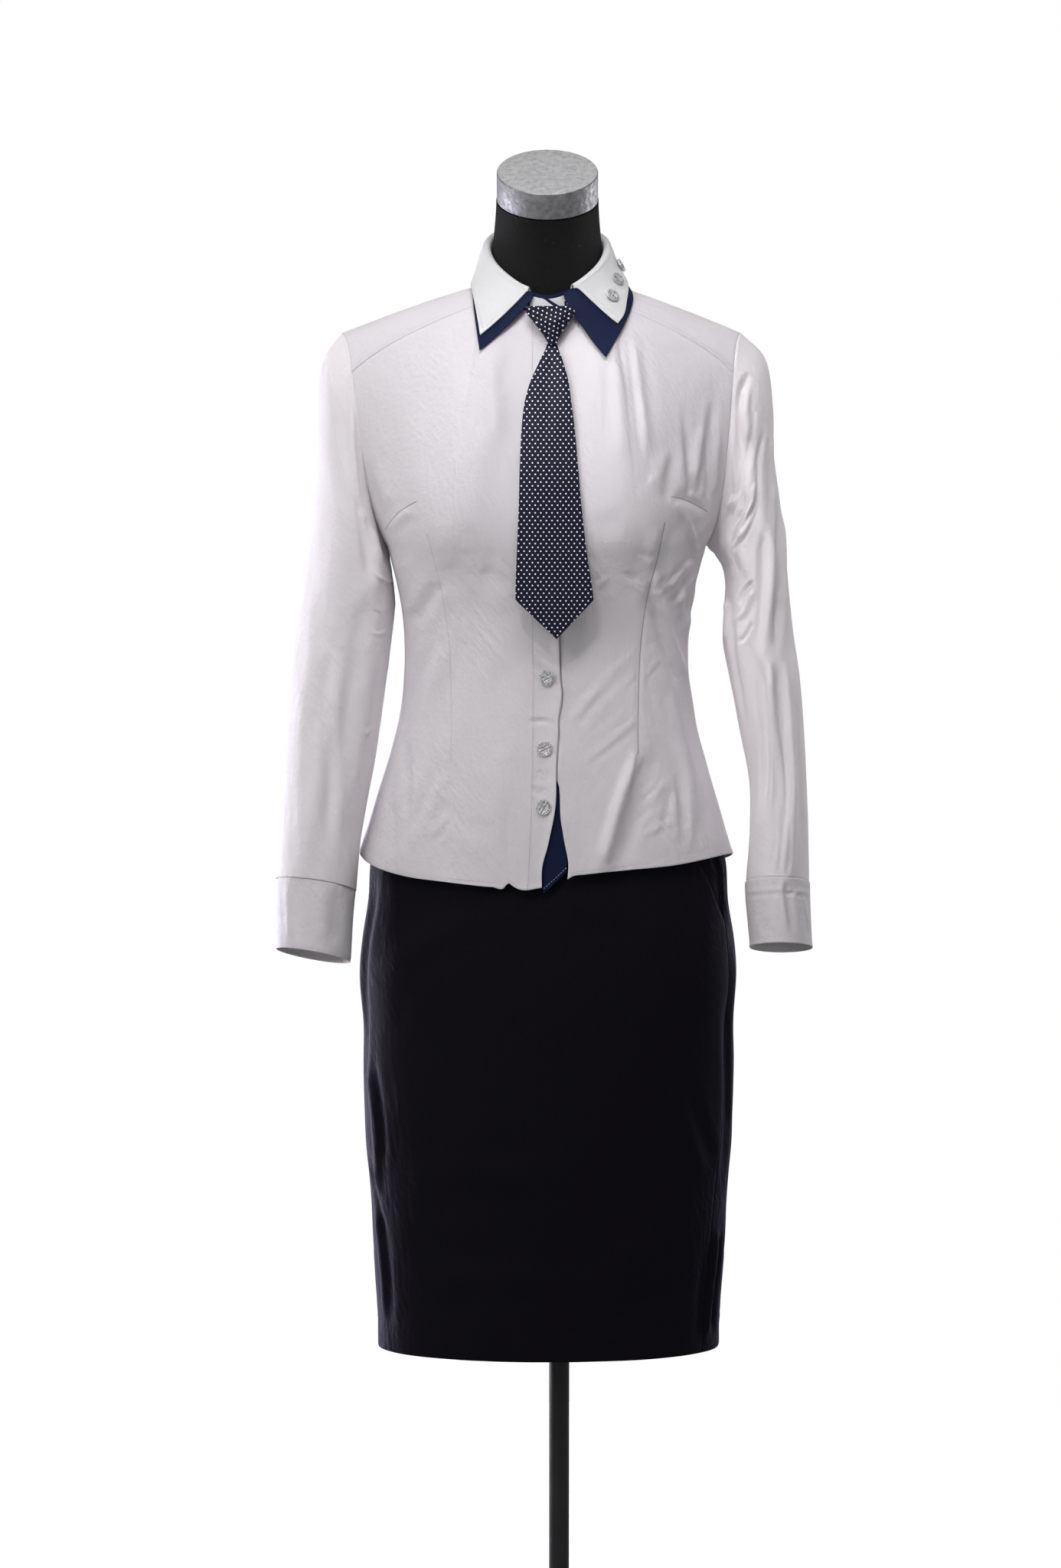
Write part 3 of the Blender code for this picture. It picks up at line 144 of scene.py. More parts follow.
# Tie
TIE_TIP_Z = 1.1300
TIE_CORNER_Z = 1.1680
TIE_BAND_OUT = 0.0018
TIE_BAND_SHARES = (0.18, 0.62)
TIE_BAND_PHI = 16.0
TIE_BEND = 0.002

# Skirt
SKIRT_X = -0.0105
SKIRT_WALL = 0.0018
SKIRT_HEM_Z = 0.412
WAISTBAND_BOTTOM_Z = 1.064
WAISTBAND_TOP_Z = 1.100
WAISTBAND_PROUD = 0.0004
POCKET_BOTTOM_Z = 0.845
FACING_DEPTH = 0.0027
FACING_SEAM_DEPTH = 0.0004
FACING_UNDERLAP_TURN = 3.0
FACING_RISE_TURN = 8.0

# Buttons
BUTTON_RADIUS = 0.00735
COLLAR_BUTTON_RADIUS = 0.00690
BUTTON_THICKNESS = 0.0024
BUTTON_DISH = 0.0006
BUTTON_EDGE = 0.0005
BUTTON_LIFT = 0.0006

# Fits
GAP = 0.0003
SEAM_INSET = 0.00004
INSET_LIMIT = 4.0

DIFFERENCE = 1e-4
WELD = 1e-6
SHARP_ANGLE = math.radians(40)

# Fine grids of the shells, in metres where they are steps or lengths
FRONT_STEP = 0.0023
BACK_STEP = 0.0033
YOKE_STEP = 0.0024
PLACKET_STEP = 0.0018
SLEEVE_STEP = 0.0029
CUFF_STEP = 0.0024
COLLAR_STEP = 0.0018
STAND_STEP = 0.0027
STRIP_STEP = 0.0010
TIE_STEP = 0.0016
SKIRT_STEP = 0.0043
FORM_STEP = 0.008
FORM_ROWS = 60
FORM_NECK_STEPS = 72
FORM_NECK_ROWS = 24
FINE_ROUND = 96
POLE_ROWS = 24
ROUND_EDGE_STEPS = 6
HOOK_STEPS = 16
KNOT_STEPS = 96
WAISTBAND_STEPS = 120
BUTTON_RINGS = 34
BUTTON_ROUND = 96
ORNAMENT_ROUND = 72

# Rough lengths, which only set how many steps a patch has
BODY_LENGTH = 0.330
CHEST_LENGTH = 0.235
BACK_LENGTH = 0.260
YOKE_LENGTH = 0.050
SIDE_LENGTH = 0.155
MIDDLE_LENGTH = 0.075
BAND_WIDTH = 0.027
SLEEVE_LENGTH = 0.560
CUFF_LENGTH = 0.080
STAND_LENGTH = 0.400
STAND_HEIGHT = 0.030
TIE_WIDTH = 0.076
TIE_BAND_WIDTH = 0.014
LEAF_LENGTH = 0.430
LEAF_DEPTH = 0.065
SKIRT_LENGTHS = (0.50, 0.25, 0.26)
FACING_LENGTH = 0.06
UNDERLAY_LENGTH = 0.09

# Edges, hems and seams of the shells
SHELL_WALL = 0.0009
LEAF_WALL = 0.0010
SKIRT_SHELL = 0.0012
BLADE_WALL = 0.0024
BLADE_ROLL = 0.0009
EDGE_SAMPLE = 0.0007
EDGE_ROLL = 0.0003
HEM_RISE = 0.00045
HEM_DEPTH = 0.0048
HEM_SOFT = 0.0012
HEM_LIFT_REACH = 0.16
PLACKET_FLAT = 0.62
STITCH_DIP = 0.0003
DIP_WIDTH = 0.0016
HEM_WAVE = 0.0009
HEM_WAVE_REACH = 0.012
HEM_WAVE_SIZE = 0.018
SIDE_SEAM_FADE = 0.10
SEAM_CALM = 0.010
TUCK_SHARE = 0.025
TUCK = 0.0020
SLEEVE_SEAM_RISE = 0.0006
SLEEVE_SEAM_WIDTH = 0.006
SLEEVE_GAIN = {RIGHT: 0.95, LEFT: 1.5}
YOKE_RISE = 0.0006
YOKE_STITCH = 0.0050
YOKE_EDGE = 0.0008
CALM_AT_SIDE = 0.15
CALM_AT_YOKE = 0.35
PARTING_Z = 0.980
PARTING_SOFT = 0.028
UNDERLAP = 0.035
BAND_SLANT = 0.050
BAND_NARROW_FROM = -0.80
BAND_NARROW = (0.27, 0.15)
UNDERLAP_EASE = 0.012
UNDERLAP_SOFT = 0.014
UNDERLAP_DEPTH = 0.0016
PLACKET_RISE = 0.0004
CAP_PUCKER = 0.0007
CAP_PUCKER_REACH = 0.014
CAP_PUCKER_SIZE = 0.009
CAP_PUCKER_START = 0.003
SLEEVE_CALM = (0.006, 0.1)
SLEEVE_SEAM_START = 0.002
SLEEVE_PINCH = 0.012
CUFF_PINCH = 0.010
CUFF_SHRINK = 0.86
CUFF_HEM = 0.0050
CUFF_TICK = 0.0006
CUFF_TICK_REACH = 0.010
CUFF_TICK_SIZE = 0.006
CUFF_TICK_START = 0.002
LEAF_WAVE = 0.0004
LEAF_WAVE_SIZE = 0.02
LEAF_WAVE_CHART = (0.08, 0.05)
LEAF_WAVE_START = 0.2
BLADE_WAVE = 0.00025
BLADE_WAVE_SIZE = 0.014
SKIRT_RADIUS = 0.155
SKIRT_HEM = 0.030
SKIRT_RUMPLE = 0.0006
SKIRT_STITCH_WIDTH = 0.0015
VENT_HEIGHT = 0.170
VENT_SHARE = 6.5
RUMPLE_LIFT = 0.00035
RUMPLE_FINER = 2.3
NOISE_CELLS = 97

# Unevenness of each cloth: the size of its bumps, how much longer they are than wide, and its seed
RUMPLES = {
    "front": (0.022, 1.6, 3),
    "back": (0.022, 1.6, 13),
    "sleeve_right": (0.016, 1.8, 21),
    "sleeve_left": (0.016, 1.8, 31),
    "cuff": (0.020, 1.0, 51),
    "skirt": (0.045, 1.5, 91),
}
SEEDS = {"hem": 5, "pucker": 41, "tick": 61, "leaf": 71, "blade": 81}

CREASE_STEPS = 12
CREASE_REACH = 3.6
CREASE_SIDE = 0.35
CREASE_SIDE_AT = 1.7
CREASE_SIDE_WIDTH = 0.9
CREASE_FADE = 0.22

STITCH_LENGTH = 0.0023
STITCH_PITCH = 0.0030
STITCH_RADIUS = 0.00020
STITCH_SHOULDER = 0.55
STITCH_LIFT = 0.00012
HEM_RUN_STEPS = 160
PLACKET_STITCH = 0.0012
COLLAR_STITCH = 0.0050
COLLAR_STITCH_TURN = 3.2
CUFF_ROW_LENGTH = 0.041
STITCH_FACES = (
    (0, 1, 2, 0), (0, 2, 3, 0), (0, 3, 1, 0),
    (1, 5, 6, 2), (2, 6, 7, 3), (3, 7, 5, 1),
    (4, 6, 5, 4), (4, 7, 6, 4), (4, 5, 7, 4),
)

# Details of the stand
CAP_ROLL = 0.0016
CAP_STEP = 0.0005
CAP_WEDGE = 0.046
FLANGE_EDGE = 0.0008
HUB_EDGE = 0.0015

# Details of the tie
DOT_PITCH = 0.0054
DOT_ROWS = 0.0037
DOT_RADIUS = 0.00084
DOT_SOFT = 0.00022
DOT_WOBBLE = 0.00014
KNOT_SLANT = math.radians(28)

# Details of the buttons
BUTTON_SPINS = (0.45, 0.45, 1.05)
ORNAMENT_SPIN = 0.7
DISH_SHARES = (0.55, 0.3)
GROOVE_APART = 0.0030
GROOVE_LENGTH = 0.0062
GROOVE_WIDTH = 0.00040
GROOVE_RING = 0.0060
GROOVE_MARK = 0.0007
GROOVE_DEPTH = 0.00045
CRYSTAL_DOME = 0.0007
FACET_DEPTH = 0.0004
FACET_WIDTH = 0.00026
FACET_RING = 0.80
FACET_LINES = ((1.40, -0.0012), (1.62, 0.0018), (0.15, 0.0007), (0.75, -0.0034), (2.30, 0.0030))

# Colours
WHITE_CLOTH = (0.74, 0.71, 0.738)
# Painted light: the sleeves' cloth is given a lighter white than the body's, for the glow of light through
# it
SLEEVE_WHITE_PAINTED_GLOW = (0.87, 0.825, 0.85)
COLLAR_WHITE = (0.70, 0.70, 0.71)
NAVY_TRIM = (0.0055, 0.0100, 0.038)
NAVY_CLOTH = (0.0060, 0.0051, 0.0085)
TIE_CLOTH = (0.009, 0.009, 0.024)
DOT_WHITE = (0.94, 0.94, 0.97)
JERSEY = (0.011, 0.011, 0.0112)
GALVANISED = (0.582, 0.582, 0.605)
BLACK_METAL = (0.0252, 0.0252, 0.0266)
SILVER = (0.90, 0.90, 0.91)
CRYSTAL = (0.80, 0.81, 0.84)
THREAD_WHITE = (0.74, 0.73, 0.75)
# Painted shade: white thread given a grey colour, for the shade along its stitch holes
THREAD_PAINTED_SHADE = (0.64, 0.61, 0.63)

# Fine patterns of the finishes: scales per metre and shares of a material's bump depth
SHEEN_ROUGHNESS = 0.35
SEAM_DEPTH = 0.0004
# The painted shadow line beside the placket's free edge
PLACKET_LINE_ENDS = (0.976, 1.165)
PLACKET_LINE_STEPS = 24
PLACKET_LINE_WIDTH = 0.0009
# How strongly sewn lines are darkened with painted shadow
SEAM_PAINTED_SHADOW = 0.8
WRINKLES = ((math.radians(8), 85.0, (1, 1, 0.12)), (math.radians(38), 95.0, (1, 1, 0.18)))
SLUB_SCALE = 1300.0
SLUB_COLOUR = 0.75
RUMPLE_SCALE = 190.0
RUMPLE_SHARE = 5.0
WEAVE_SHARE = 0.6
PATCH_SCALE = 22.0
PATCH_CONTRAST = 2.0
SLUB_STRETCHES = ((0.12, 1, 1), (1, 0.12, 1))
WRINKLE_SHOWS = (0.35, 0.60)
WRINKLE_PATCH = 8
# The tone of the painted shadow along sewn lines, as a share of the cloth's colour
SEAM_SHADOW_TONE = 0.35
DOT_NOISE = 900.0
RIB_PITCH = 0.0011
LOOP_PITCH = 0.0007
LOOP_SHARE = 0.3
KNIT_DEPTH = 0.0006
FUZZ_SCALE = 1500.0
FUZZ_DEPTH = 0.00025
LINT_SCALE = 420.0
LINT_SHOWS = (0.74, 0.80)
LINT_COLOUR = (0.10, 0.10, 0.11)
SPANGLE_SCALE = 420.0
SPANGLE_SHARE = 0.2
CLOUD_SCALE = 190.0
CLOUD_CONTRAST = (2.6, -0.8)
CLOUD_DEPTH = 0.0003
SCRATCH_SCALE = 900.0
SCRATCH_DEPTH = 0.00018
# The cap's colour is painted lighter on faces turned up and darker on its sides, as painted light and
# shade
CAP_PAINTED_LIGHT_FACING = (0.5, 0.9)
CAP_SIDE_PAINTED_SHADE = (0.40, 0.75)
CAP_TOP_PAINTED_LIGHT = (0.90, 1.80)
PEEL_SCALE = 700.0
PEEL_DEPTH = 0.00008
PAINT_WEAR_SCALE = 60.0
BUTTON_WEAR_SCALE = 500.0
BUTTON_WEAR_SHOWS = (0.30, 0.70)
BUTTON_GRAIN = (900.0, 0.00004)
# Cells of painted glints over the clear buttons, and the depth of their bumps
GLINT_CELL_SCALE = 520.0
GLINT_CELL_DEPTH = 0.0003

# Woven finishes: colour, thread, roughness, depth of the weave, mottling and what else each has
WOVEN = {
    "blouse_cloth": (WHITE_CLOTH, 0.00045, 0.82, 0.00012, 0.045,
                     {"sheen": 0.05, "gloss": 0.3, "wrinkles": 0.0010}),
    # The sleeves' lighter white is painted glow of light through the cloth
    "sleeve_cloth": (SLEEVE_WHITE_PAINTED_GLOW, 0.00045, 0.82, 0.00012, 0.04,
                     {"sheen": 0.05, "gloss": 0.3, "wrinkles": 0.0010}),
    "collar_cloth": (COLLAR_WHITE, 0.00045, 0.7, 0.00006, 0.015, {}),
    "navy_trim": (NAVY_TRIM, 0.0006, 0.6, 0.00006, 0.10,
                  {"sheen": 0.06, "sheen_tint": (0.5, 0.55, 0.9), "gloss": 0.12}),
    "skirt_cloth": (NAVY_CLOTH, 0.0007, 0.7, 0.00006, 0.12,
                    {"slant": 1.0, "sheen": 0.22, "sheen_tint": (0.50, 0.46, 0.90), "gloss": 0.05,
                     "wrinkles": 0.0012}),
    "white_thread": (THREAD_WHITE, 0.0004, 0.7, 0.00002, 0.02, {}),
    # The grey of this thread is painted shade along its stitching
    "thread_with_painted_shade": (THREAD_PAINTED_SHADE, 0.0004, 0.7, 0.00002, 0.02, {}),
}

# The camera, the lights and the floor
CAMERA_PLACE = (-0.02888, -5.0, 1.45)
CAMERA_DOWN = math.radians(5.404)
CAMERA_LENS = 115.65
CAMERA_SENSOR = 36.0
LIGHTS = (
    ("key", (-1.0, -1.3, 2.3), (-0.08, 0, 1.3), 0.6, 180, 8.5, (1.0, 0.99, 0.99)),
    ("front", (0.12, -0.85, 2.5), (0.03, -0.1, 1.36), 0.5, 180, 6.0, (1.0, 0.985, 1.0)),
    ("bust", (-0.3, -1.3, 2.5), (0.05, -0.12, 1.31), 0.25, 20, 0.14, (1.0, 0.985, 1.0)),
    ("side", (-2.3, -1.6, 1.8), (0, 0, 1.15), 0.9, 180, 9.5, (1.0, 0.99, 1.0)),
    ("top", (0.1, -0.6, 3.3), (0, 0, 1.3), 1.2, 180, 6, (1.0, 1.0, 1.0)),
    ("side_right", (-3.0, 0.3, 1.7), (0, 0, 1.0), 1.2, 180, 7, (1.0, 0.985, 1.0)),
    ("rim_right", (-1.5, 1.1, 0.6), (0, 0, 0.62), 0.8, 100, 16, (0.88, 0.86, 1.0)),
    ("rim_left", (1.9, 1.5, 1.2), (0, 0, 0.8), 0.9, 180, 15, (0.97, 0.97, 1.0)),
)
WORLD_LIGHT = 0.285
FLOOR_COLOUR = (0.86, 0.86, 0.86)
FLOOR_GLOW = 0.90
FLOOR_RADIUS = 1.6
FLOOR_Z = -0.0005
BODY = "root"


def table(columns, *rows):
    """A short table as its named columns."""
    return dict(zip(columns.split(), np.array(rows, float).T))


BLOUSE_SECTIONS = table(
    "z      x        half_width front  back",
    (0.878, -0.0130, 0.1910, 0.114, 0.120),
    (0.905, -0.0130, 0.1865, 0.112, 0.119),
    (0.935, -0.0130, 0.1780, 0.110, 0.115),
    (0.972, -0.0130, 0.1670, 0.107, 0.107),
    (1.010, -0.0130, 0.1550, 0.104, 0.097),
    (1.050, -0.0130, 0.1455, 0.101, 0.088),
    (1.100, -0.0130, 0.1410, 0.100, 0.081),
    (1.150, -0.0130, 0.1435, 0.105, 0.082),
    (1.180, -0.0130, 0.1490, 0.112, 0.086),
    (1.215, -0.0130, 0.1580, 0.119, 0.092),
)

FORM_SECTIONS = table(
    "z      x        half_width front   back",
    (0.690, -0.0105, 0.1700, 0.0960, 0.1030),
    (0.735, -0.0105, 0.1770, 0.1010, 0.1100),
    (0.800, -0.0105, 0.1800, 0.1030, 0.1130),
    (0.860, -0.0105, 0.1745, 0.1020, 0.1110),
    (0.905, -0.0105, 0.1675, 0.0980, 0.1050),
    (0.950, -0.0105, 0.1545, 0.0945, 0.0965),
    (1.000, -0.0105, 0.1405, 0.0905, 0.0840),
    (1.050, -0.0105, 0.1280, 0.0870, 0.0725),
    (1.084, -0.0105, 0.1276, 0.0871, 0.0681),
    (1.110, -0.0110, 0.1292, 0.0880, 0.0690),
    (1.150, -0.0120, 0.1345, 0.0960, 0.0740),
    (1.180, -0.0127, 0.1430, 0.1060, 0.0800),
    (1.215, -0.0130, 0.1530, 0.1140, 0.0870),
)

SKIRT_SECTIONS = table(
    "z      half_width front   back",
    (0.412, 0.1717, 0.0985, 0.1010),
    (0.450, 0.1720, 0.0990, 0.1020),
    (0.510, 0.1762, 0.1000, 0.1040),
    (0.565, 0.1788, 0.1020, 0.1060),
    (0.630, 0.1837, 0.1040, 0.1100),
    (0.690, 0.1853, 0.1055, 0.1130),
    (0.740, 0.1848, 0.1065, 0.1160),
    (0.797, 0.1873, 0.1075, 0.1180),
    (0.825, 0.1845, 0.1070, 0.1180),
    (0.862, 0.1790, 0.1060, 0.1160),
    (0.900, 0.1766, 0.1040, 0.1120),
    (0.950, 0.1630, 0.1010, 0.1030),
    (1.000, 0.1490, 0.0970, 0.0910),
    (1.050, 0.1370, 0.0930, 0.0780),
    (1.082, 0.1320, 0.0900, 0.0710),
    (1.100, 0.1322, 0.0904, 0.0712),
)

BLOUSE_HEM = table(
    "s     front  back",
    (-1.0, 0.907, 0.907),
    (-0.8, 0.898, 0.896),
    (-0.5, 0.888, 0.886),
    (-0.2, 0.884, 0.882),
    (0.0, 0.885, 0.881),
    (0.1, 0.890, 0.881),
    (0.3, 0.900, 0.883),
    (0.5, 0.907, 0.887),
    (0.8, 0.911, 0.898),
    (1.0, 0.908, 0.908),
)

# The placket's seam and edge, and the edge of the left front. The fronts part towards the hem
FRONT_EDGES = table(
    "z      seam     placket  left",
    (0.883, -0.0312, -0.0178, 0.0072),
    (0.900, -0.0304, -0.0165, 0.0082),
    (0.930, -0.0290, -0.0118, 0.0036),
    (0.950, -0.0280, -0.0070, 0.0006),
    (0.975, -0.0272, -0.0030, -0.0004),
    (1.002, -0.0269, -0.0024, -0.0026),
    (1.020, -0.0266, -0.0019, -0.0008),
    (1.215, -0.0262, -0.0019, -0.0008),
)

SLEEVE_RIGHT = table(
    "outer_x outer_z inner_x inner_z half_depth centre_y",
    (-0.2150, 1.4245, -0.1710, 1.2150, 0.0460, 0.003),
    (-0.2345, 1.3930, -0.1692, 1.2020, 0.0490, 0.003),
    (-0.2380, 1.3400, -0.1672, 1.1880, 0.0515, 0.003),
    (-0.2385, 1.2900, -0.1656, 1.1740, 0.0530, 0.003),
    (-0.2440, 1.2400, -0.1645, 1.1600, 0.0540, 0.003),
    (-0.2510, 1.1950, -0.1650, 1.1450, 0.0540, 0.002),
    (-0.2575, 1.1540, -0.1670, 1.1270, 0.0530, 0.000),
    (-0.2650, 1.1100, -0.1705, 1.0980, 0.0520, -0.004),
    (-0.2697, 1.0620, -0.1760, 1.0600, 0.0505, -0.010),
    (-0.2725, 1.0200, -0.1825, 1.0150, 0.0485, -0.017),
    (-0.2745, 0.9750, -0.1905, 0.9700, 0.0465, -0.026),
    (-0.2770, 0.9300, -0.1985, 0.9220, 0.0440, -0.036),
    (-0.2798, 0.8870, -0.2023, 0.8750, 0.0415, -0.046),
    (-0.2805, 0.8500, -0.2050, 0.8380, 0.0395, -0.054),
    (-0.2805, 0.8190, -0.2066, 0.8060, 0.0380, -0.061),
)

SLEEVE_LEFT = table(
    "outer_x outer_z inner_x inner_z half_depth centre_y",
    (0.1790, 1.4245, 0.1450, 1.2150, 0.0460, 0.003),
    (0.2040, 1.3980, 0.1520, 1.2080, 0.0490, 0.003),
    (0.2115, 1.3500, 0.1570, 1.2020, 0.0515, 0.003),
    (0.2125, 1.3050, 0.1610, 1.1950, 0.0530, 0.003),
    (0.2185, 1.2600, 0.1635, 1.1850, 0.0540, 0.003),
    (0.2238, 1.2150, 0.1648, 1.1720, 0.0545, 0.002),
    (0.2278, 1.1700, 0.1632, 1.1500, 0.0545, 0.000),
    (0.2320, 1.1300, 0.1622, 1.1200, 0.0535, -0.003),
    (0.2385, 1.0850, 0.1695, 1.0800, 0.0520, -0.008),
    (0.2425, 1.0350, 0.1790, 1.0320, 0.0500, -0.015),
    (0.2448, 0.9850, 0.1880, 0.9820, 0.0480, -0.025),
    (0.2463, 0.9350, 0.1880, 0.9330, 0.0460, -0.036),
    (0.2468, 0.8830, 0.1843, 0.8840, 0.0430, -0.046),
    (0.2475, 0.8520, 0.1860, 0.8520, 0.0410, -0.054),
    (0.2488, 0.8200, 0.1888, 0.8210, 0.0395, -0.061),
)
SLEEVES = {RIGHT: SLEEVE_RIGHT, LEFT: SLEEVE_LEFT}

# Collar angles run round the neck: 0 in front, 90 on the wearer's left, 180 behind
STAND_TOP = table(
    "phi     z",
    (-180.0, 1.5260),
    (-130.0, 1.5230),
    (-90.0, 1.5080),
    (-50.0, 1.4840),
    (-20.0, 1.4670),
    (0.0, 1.4620),
    (20.0, 1.4670),
    (50.0, 1.4840),
    (90.0, 1.5080),
    (130.0, 1.5230),
    (180.0, 1.5260),
)

# The outer edge of the navy leaf, whose surface the white leaf also follows
LEAF_EDGE = table(
    "phi    x        y        z",
    (14.0, 0.0444, -0.1016, 1.4040),
    (35.0, 0.0620, -0.0724, 1.4330),
    (62.0, 0.0728, -0.0370, 1.4570),
    (90.0, 0.0700, -0.0060, 1.4720),
    (130.0, 0.0510, 0.0590, 1.4750),
    (180.0, -0.0125, 0.0890, 1.4735),
    (230.0, -0.0740, 0.0590, 1.4750),
    (270.0, -0.0880, -0.0080, 1.4730),
    (298.0, -0.0868, -0.0400, 1.4610),
    (325.0, -0.0830, -0.0702, 1.4360),
    (348.0, -0.0787, -0.0955, 1.4100),
)

# How far down that surface the white leaf reaches
WHITE_REACH = table(
    "phi   share",
    (24.0, 0.86),
    (33.0, 0.89),
    (41.0, 0.91),
    (57.0, 0.83),
    (70.0, 0.80),
    (100.0, 0.88),
    (130.0, 0.98),
    (180.0, 1.00),
    (230.0, 1.00),
    (270.0, 0.98),
    (303.0, 0.93),
    (323.0, 0.93),
    (343.0, 0.95),
)

KNOT_SECTIONS = table(
    "z      x        y        half_width half_depth",
    (1.4140, -0.0078, -0.0880, 0.0047, 0.0040),
    (1.4190, -0.0078, -0.0862, 0.0060, 0.0058),
    (1.4280, -0.0082, -0.0848, 0.0115, 0.0085),
    (1.4380, -0.0088, -0.0815, 0.0185, 0.0100),
    (1.4450, -0.0092, -0.0778, 0.0235, 0.0095),
    (1.4490, -0.0092, -0.0757, 0.0225, 0.0075),
    (1.4515, -0.0090, -0.0735, 0.0195, 0.0040),
)

BLADE_SECTIONS = table(
    "z      x        half_width y",
    (1.1300, -0.0036, 0.0380, -0.1297),
    (1.1680, -0.0056, 0.0380, -0.1305),
    (1.2200, -0.0086, 0.0335, -0.1307),
    (1.2600, -0.0100, 0.0305, -0.1300),
    (1.3000, -0.0112, 0.0282, -0.1259),
    (1.3300, -0.0118, 0.0262, -0.1203),
    (1.3630, -0.0118, 0.0222, -0.1112),
    (1.3800, -0.0105, 0.0185, -0.1053),
    (1.4000, -0.0086, 0.0105, -0.0960),
    (1.4128, -0.0078, 0.0055, -0.0892),
    (1.4175, -0.0078, 0.0042, -0.0866),
)

BUTTONS = table(
    "x        z",
    (-0.0131, 1.0905),
    (-0.0153, 1.0215),
    (-0.0165, 0.9645),
)

# Ornaments on the left leaf of the white collar, by angle and share of the leaf's fall
COLLAR_BUTTONS = table(
    "phi   share",
    (46.5, 0.57),
    (64.5, 0.48),
    (88.0, 0.48),
)

# Turns of the skirt's seams. The skirt hangs twisted, and its front panel also ends at the pockets
SKIRT_SEAMS = table(
    "z      left  right   back   pocket_left pocket_right",
    (0.412, 62.8, -117.2, 153.0, 62.8, -117.2),
    (0.510, 64.7, -115.3, 155.0, 64.7, -115.3),
    (0.620, 68.5, -111.5, 158.5, 68.5, -111.5),
    (0.760, 72.5, -107.5, 162.5, 72.5, -107.5),
    (0.845, 73.6, -106.4, 163.6, 73.6, -106.4),
    (0.868, 73.8, -106.2, 163.8, 67.0, -99.5),
    (0.905, 74.0, -106.0, 164.0, 57.0, -89.5),
    (0.960, 74.0, -106.0, 164.0, 48.5, -81.0),
    (1.064, 74.0, -106.0, 164.0, 40.0, -72.0),
)
SKIRT_SEAMS["back_again"] = SKIRT_SEAMS["back"] - 360

# How far the placket's free edge stands out past its line and off the front
PLACKET_WAVES = table(
    "z      out      rise",
    (0.883, 0.0000, 0.0008),
    (0.905, -0.0012, 0.0012),
    (0.925, 0.0010, 0.0008),
    (0.945, 0.0008, 0.0014),
    (0.962, 0.0002, 0.0020),
    (0.984, -0.0012, 0.0024),
    (1.002, -0.0014, 0.0014),
    (1.020, -0.0008, 0.0006),
    (1.034, -0.0002, 0.0016),
    (1.047, -0.0003, 0.0008),
    (1.058, 0.0014, 0.0016),
    (1.070, 0.0028, 0.0026),
    (1.085, 0.0018, 0.0012),
    (1.100, 0.0008, 0.0018),
    (1.118, 0.0004, 0.0026),
    (1.132, 0.0000, 0.0024),
    (1.160, 0.0000, 0.0010),
    (1.215, 0.0000, 0.0004),
)

# How far the front's hem lies above its curve
HEM_LIFTS = table(
    "x       lift",
    (-0.200, 0.0060),
    (-0.150, 0.0050),
    (-0.110, 0.0046),
    (-0.090, 0.0036),
    (-0.066, 0.0022),
    (-0.054, 0.0024),
    (-0.0510, 0.0068),
    (-0.0475, 0.0046),
    (-0.0420, 0.0014),
    (-0.0200, 0.0012),
    (0.0060, 0.0050),
    (0.0120, 0.0076),
    (0.0240, 0.0072),
    (0.0440, 0.0056),
    (0.0600, 0.0036),
    (0.0750, 0.0022),
    (0.0900, 0.0006),
    (0.1100, -0.0010),
    (0.1400, -0.0012),
    (0.1700, 0.0000),
)

# Broad folds, each a soft ridge, or a trough where its height is negative, along a line that is
# seen from the front
BLOUSE_FOLDS = table(
    "x0      z0     x1      z1     width  height",
    (0.078, 1.010, 0.040, 0.905, 0.012, 0.0045),
    (0.092, 1.010, 0.062, 0.905, 0.013, -0.0040),
    (0.098, 1.200, 0.160, 0.920, 0.016, 0.0030),
    (-0.110, 1.010, -0.118, 0.895, 0.018, -0.0030),
    (-0.150, 0.990, -0.150, 0.900, 0.014, 0.0028),
    (0.060, 1.420, 0.070, 1.300, 0.012, 0.0025),
    (-0.070, 1.410, -0.075, 1.300, 0.013, 0.0022),
)

SKIRT_FOLDS = table(
    "x0      z0     x1      z1     width  height",
    (0.150, 0.560, 0.140, 0.412, 0.010, -0.0030),
    (-0.120, 0.520, -0.060, 0.430, 0.020, 0.0024),
    (-0.150, 0.600, -0.080, 0.640, 0.020, 0.0020),
    (0.050, 0.540, 0.120, 0.470, 0.022, 0.0020),
)

# Long folds of the sleeves. x is the way round the sleeve, outside to front to inside, and z the
# way down it
SLEEVE_FOLDS = table(
    "x0     z0     x1     z1     width  height",
    (0.060, 0.090, 0.048, 0.410, 0.012, 0.0030),
    (0.096, 0.140, 0.080, 0.530, 0.012, -0.0032),
    (0.076, 0.340, 0.056, 0.600, 0.010, 0.0026),
    (0.120, 0.070, 0.088, 0.240, 0.010, 0.0034),
    (0.193, 0.140, 0.200, 0.530, 0.014, -0.0030),
    (0.229, 0.100, 0.233, 0.430, 0.013, 0.0026),
)
SLEEVE_ROUND = 0.290
SLEEVE_ROW_LENGTH = 0.048

# The share of its length over which a fold fades at each end
FOLD_FADE = 0.25


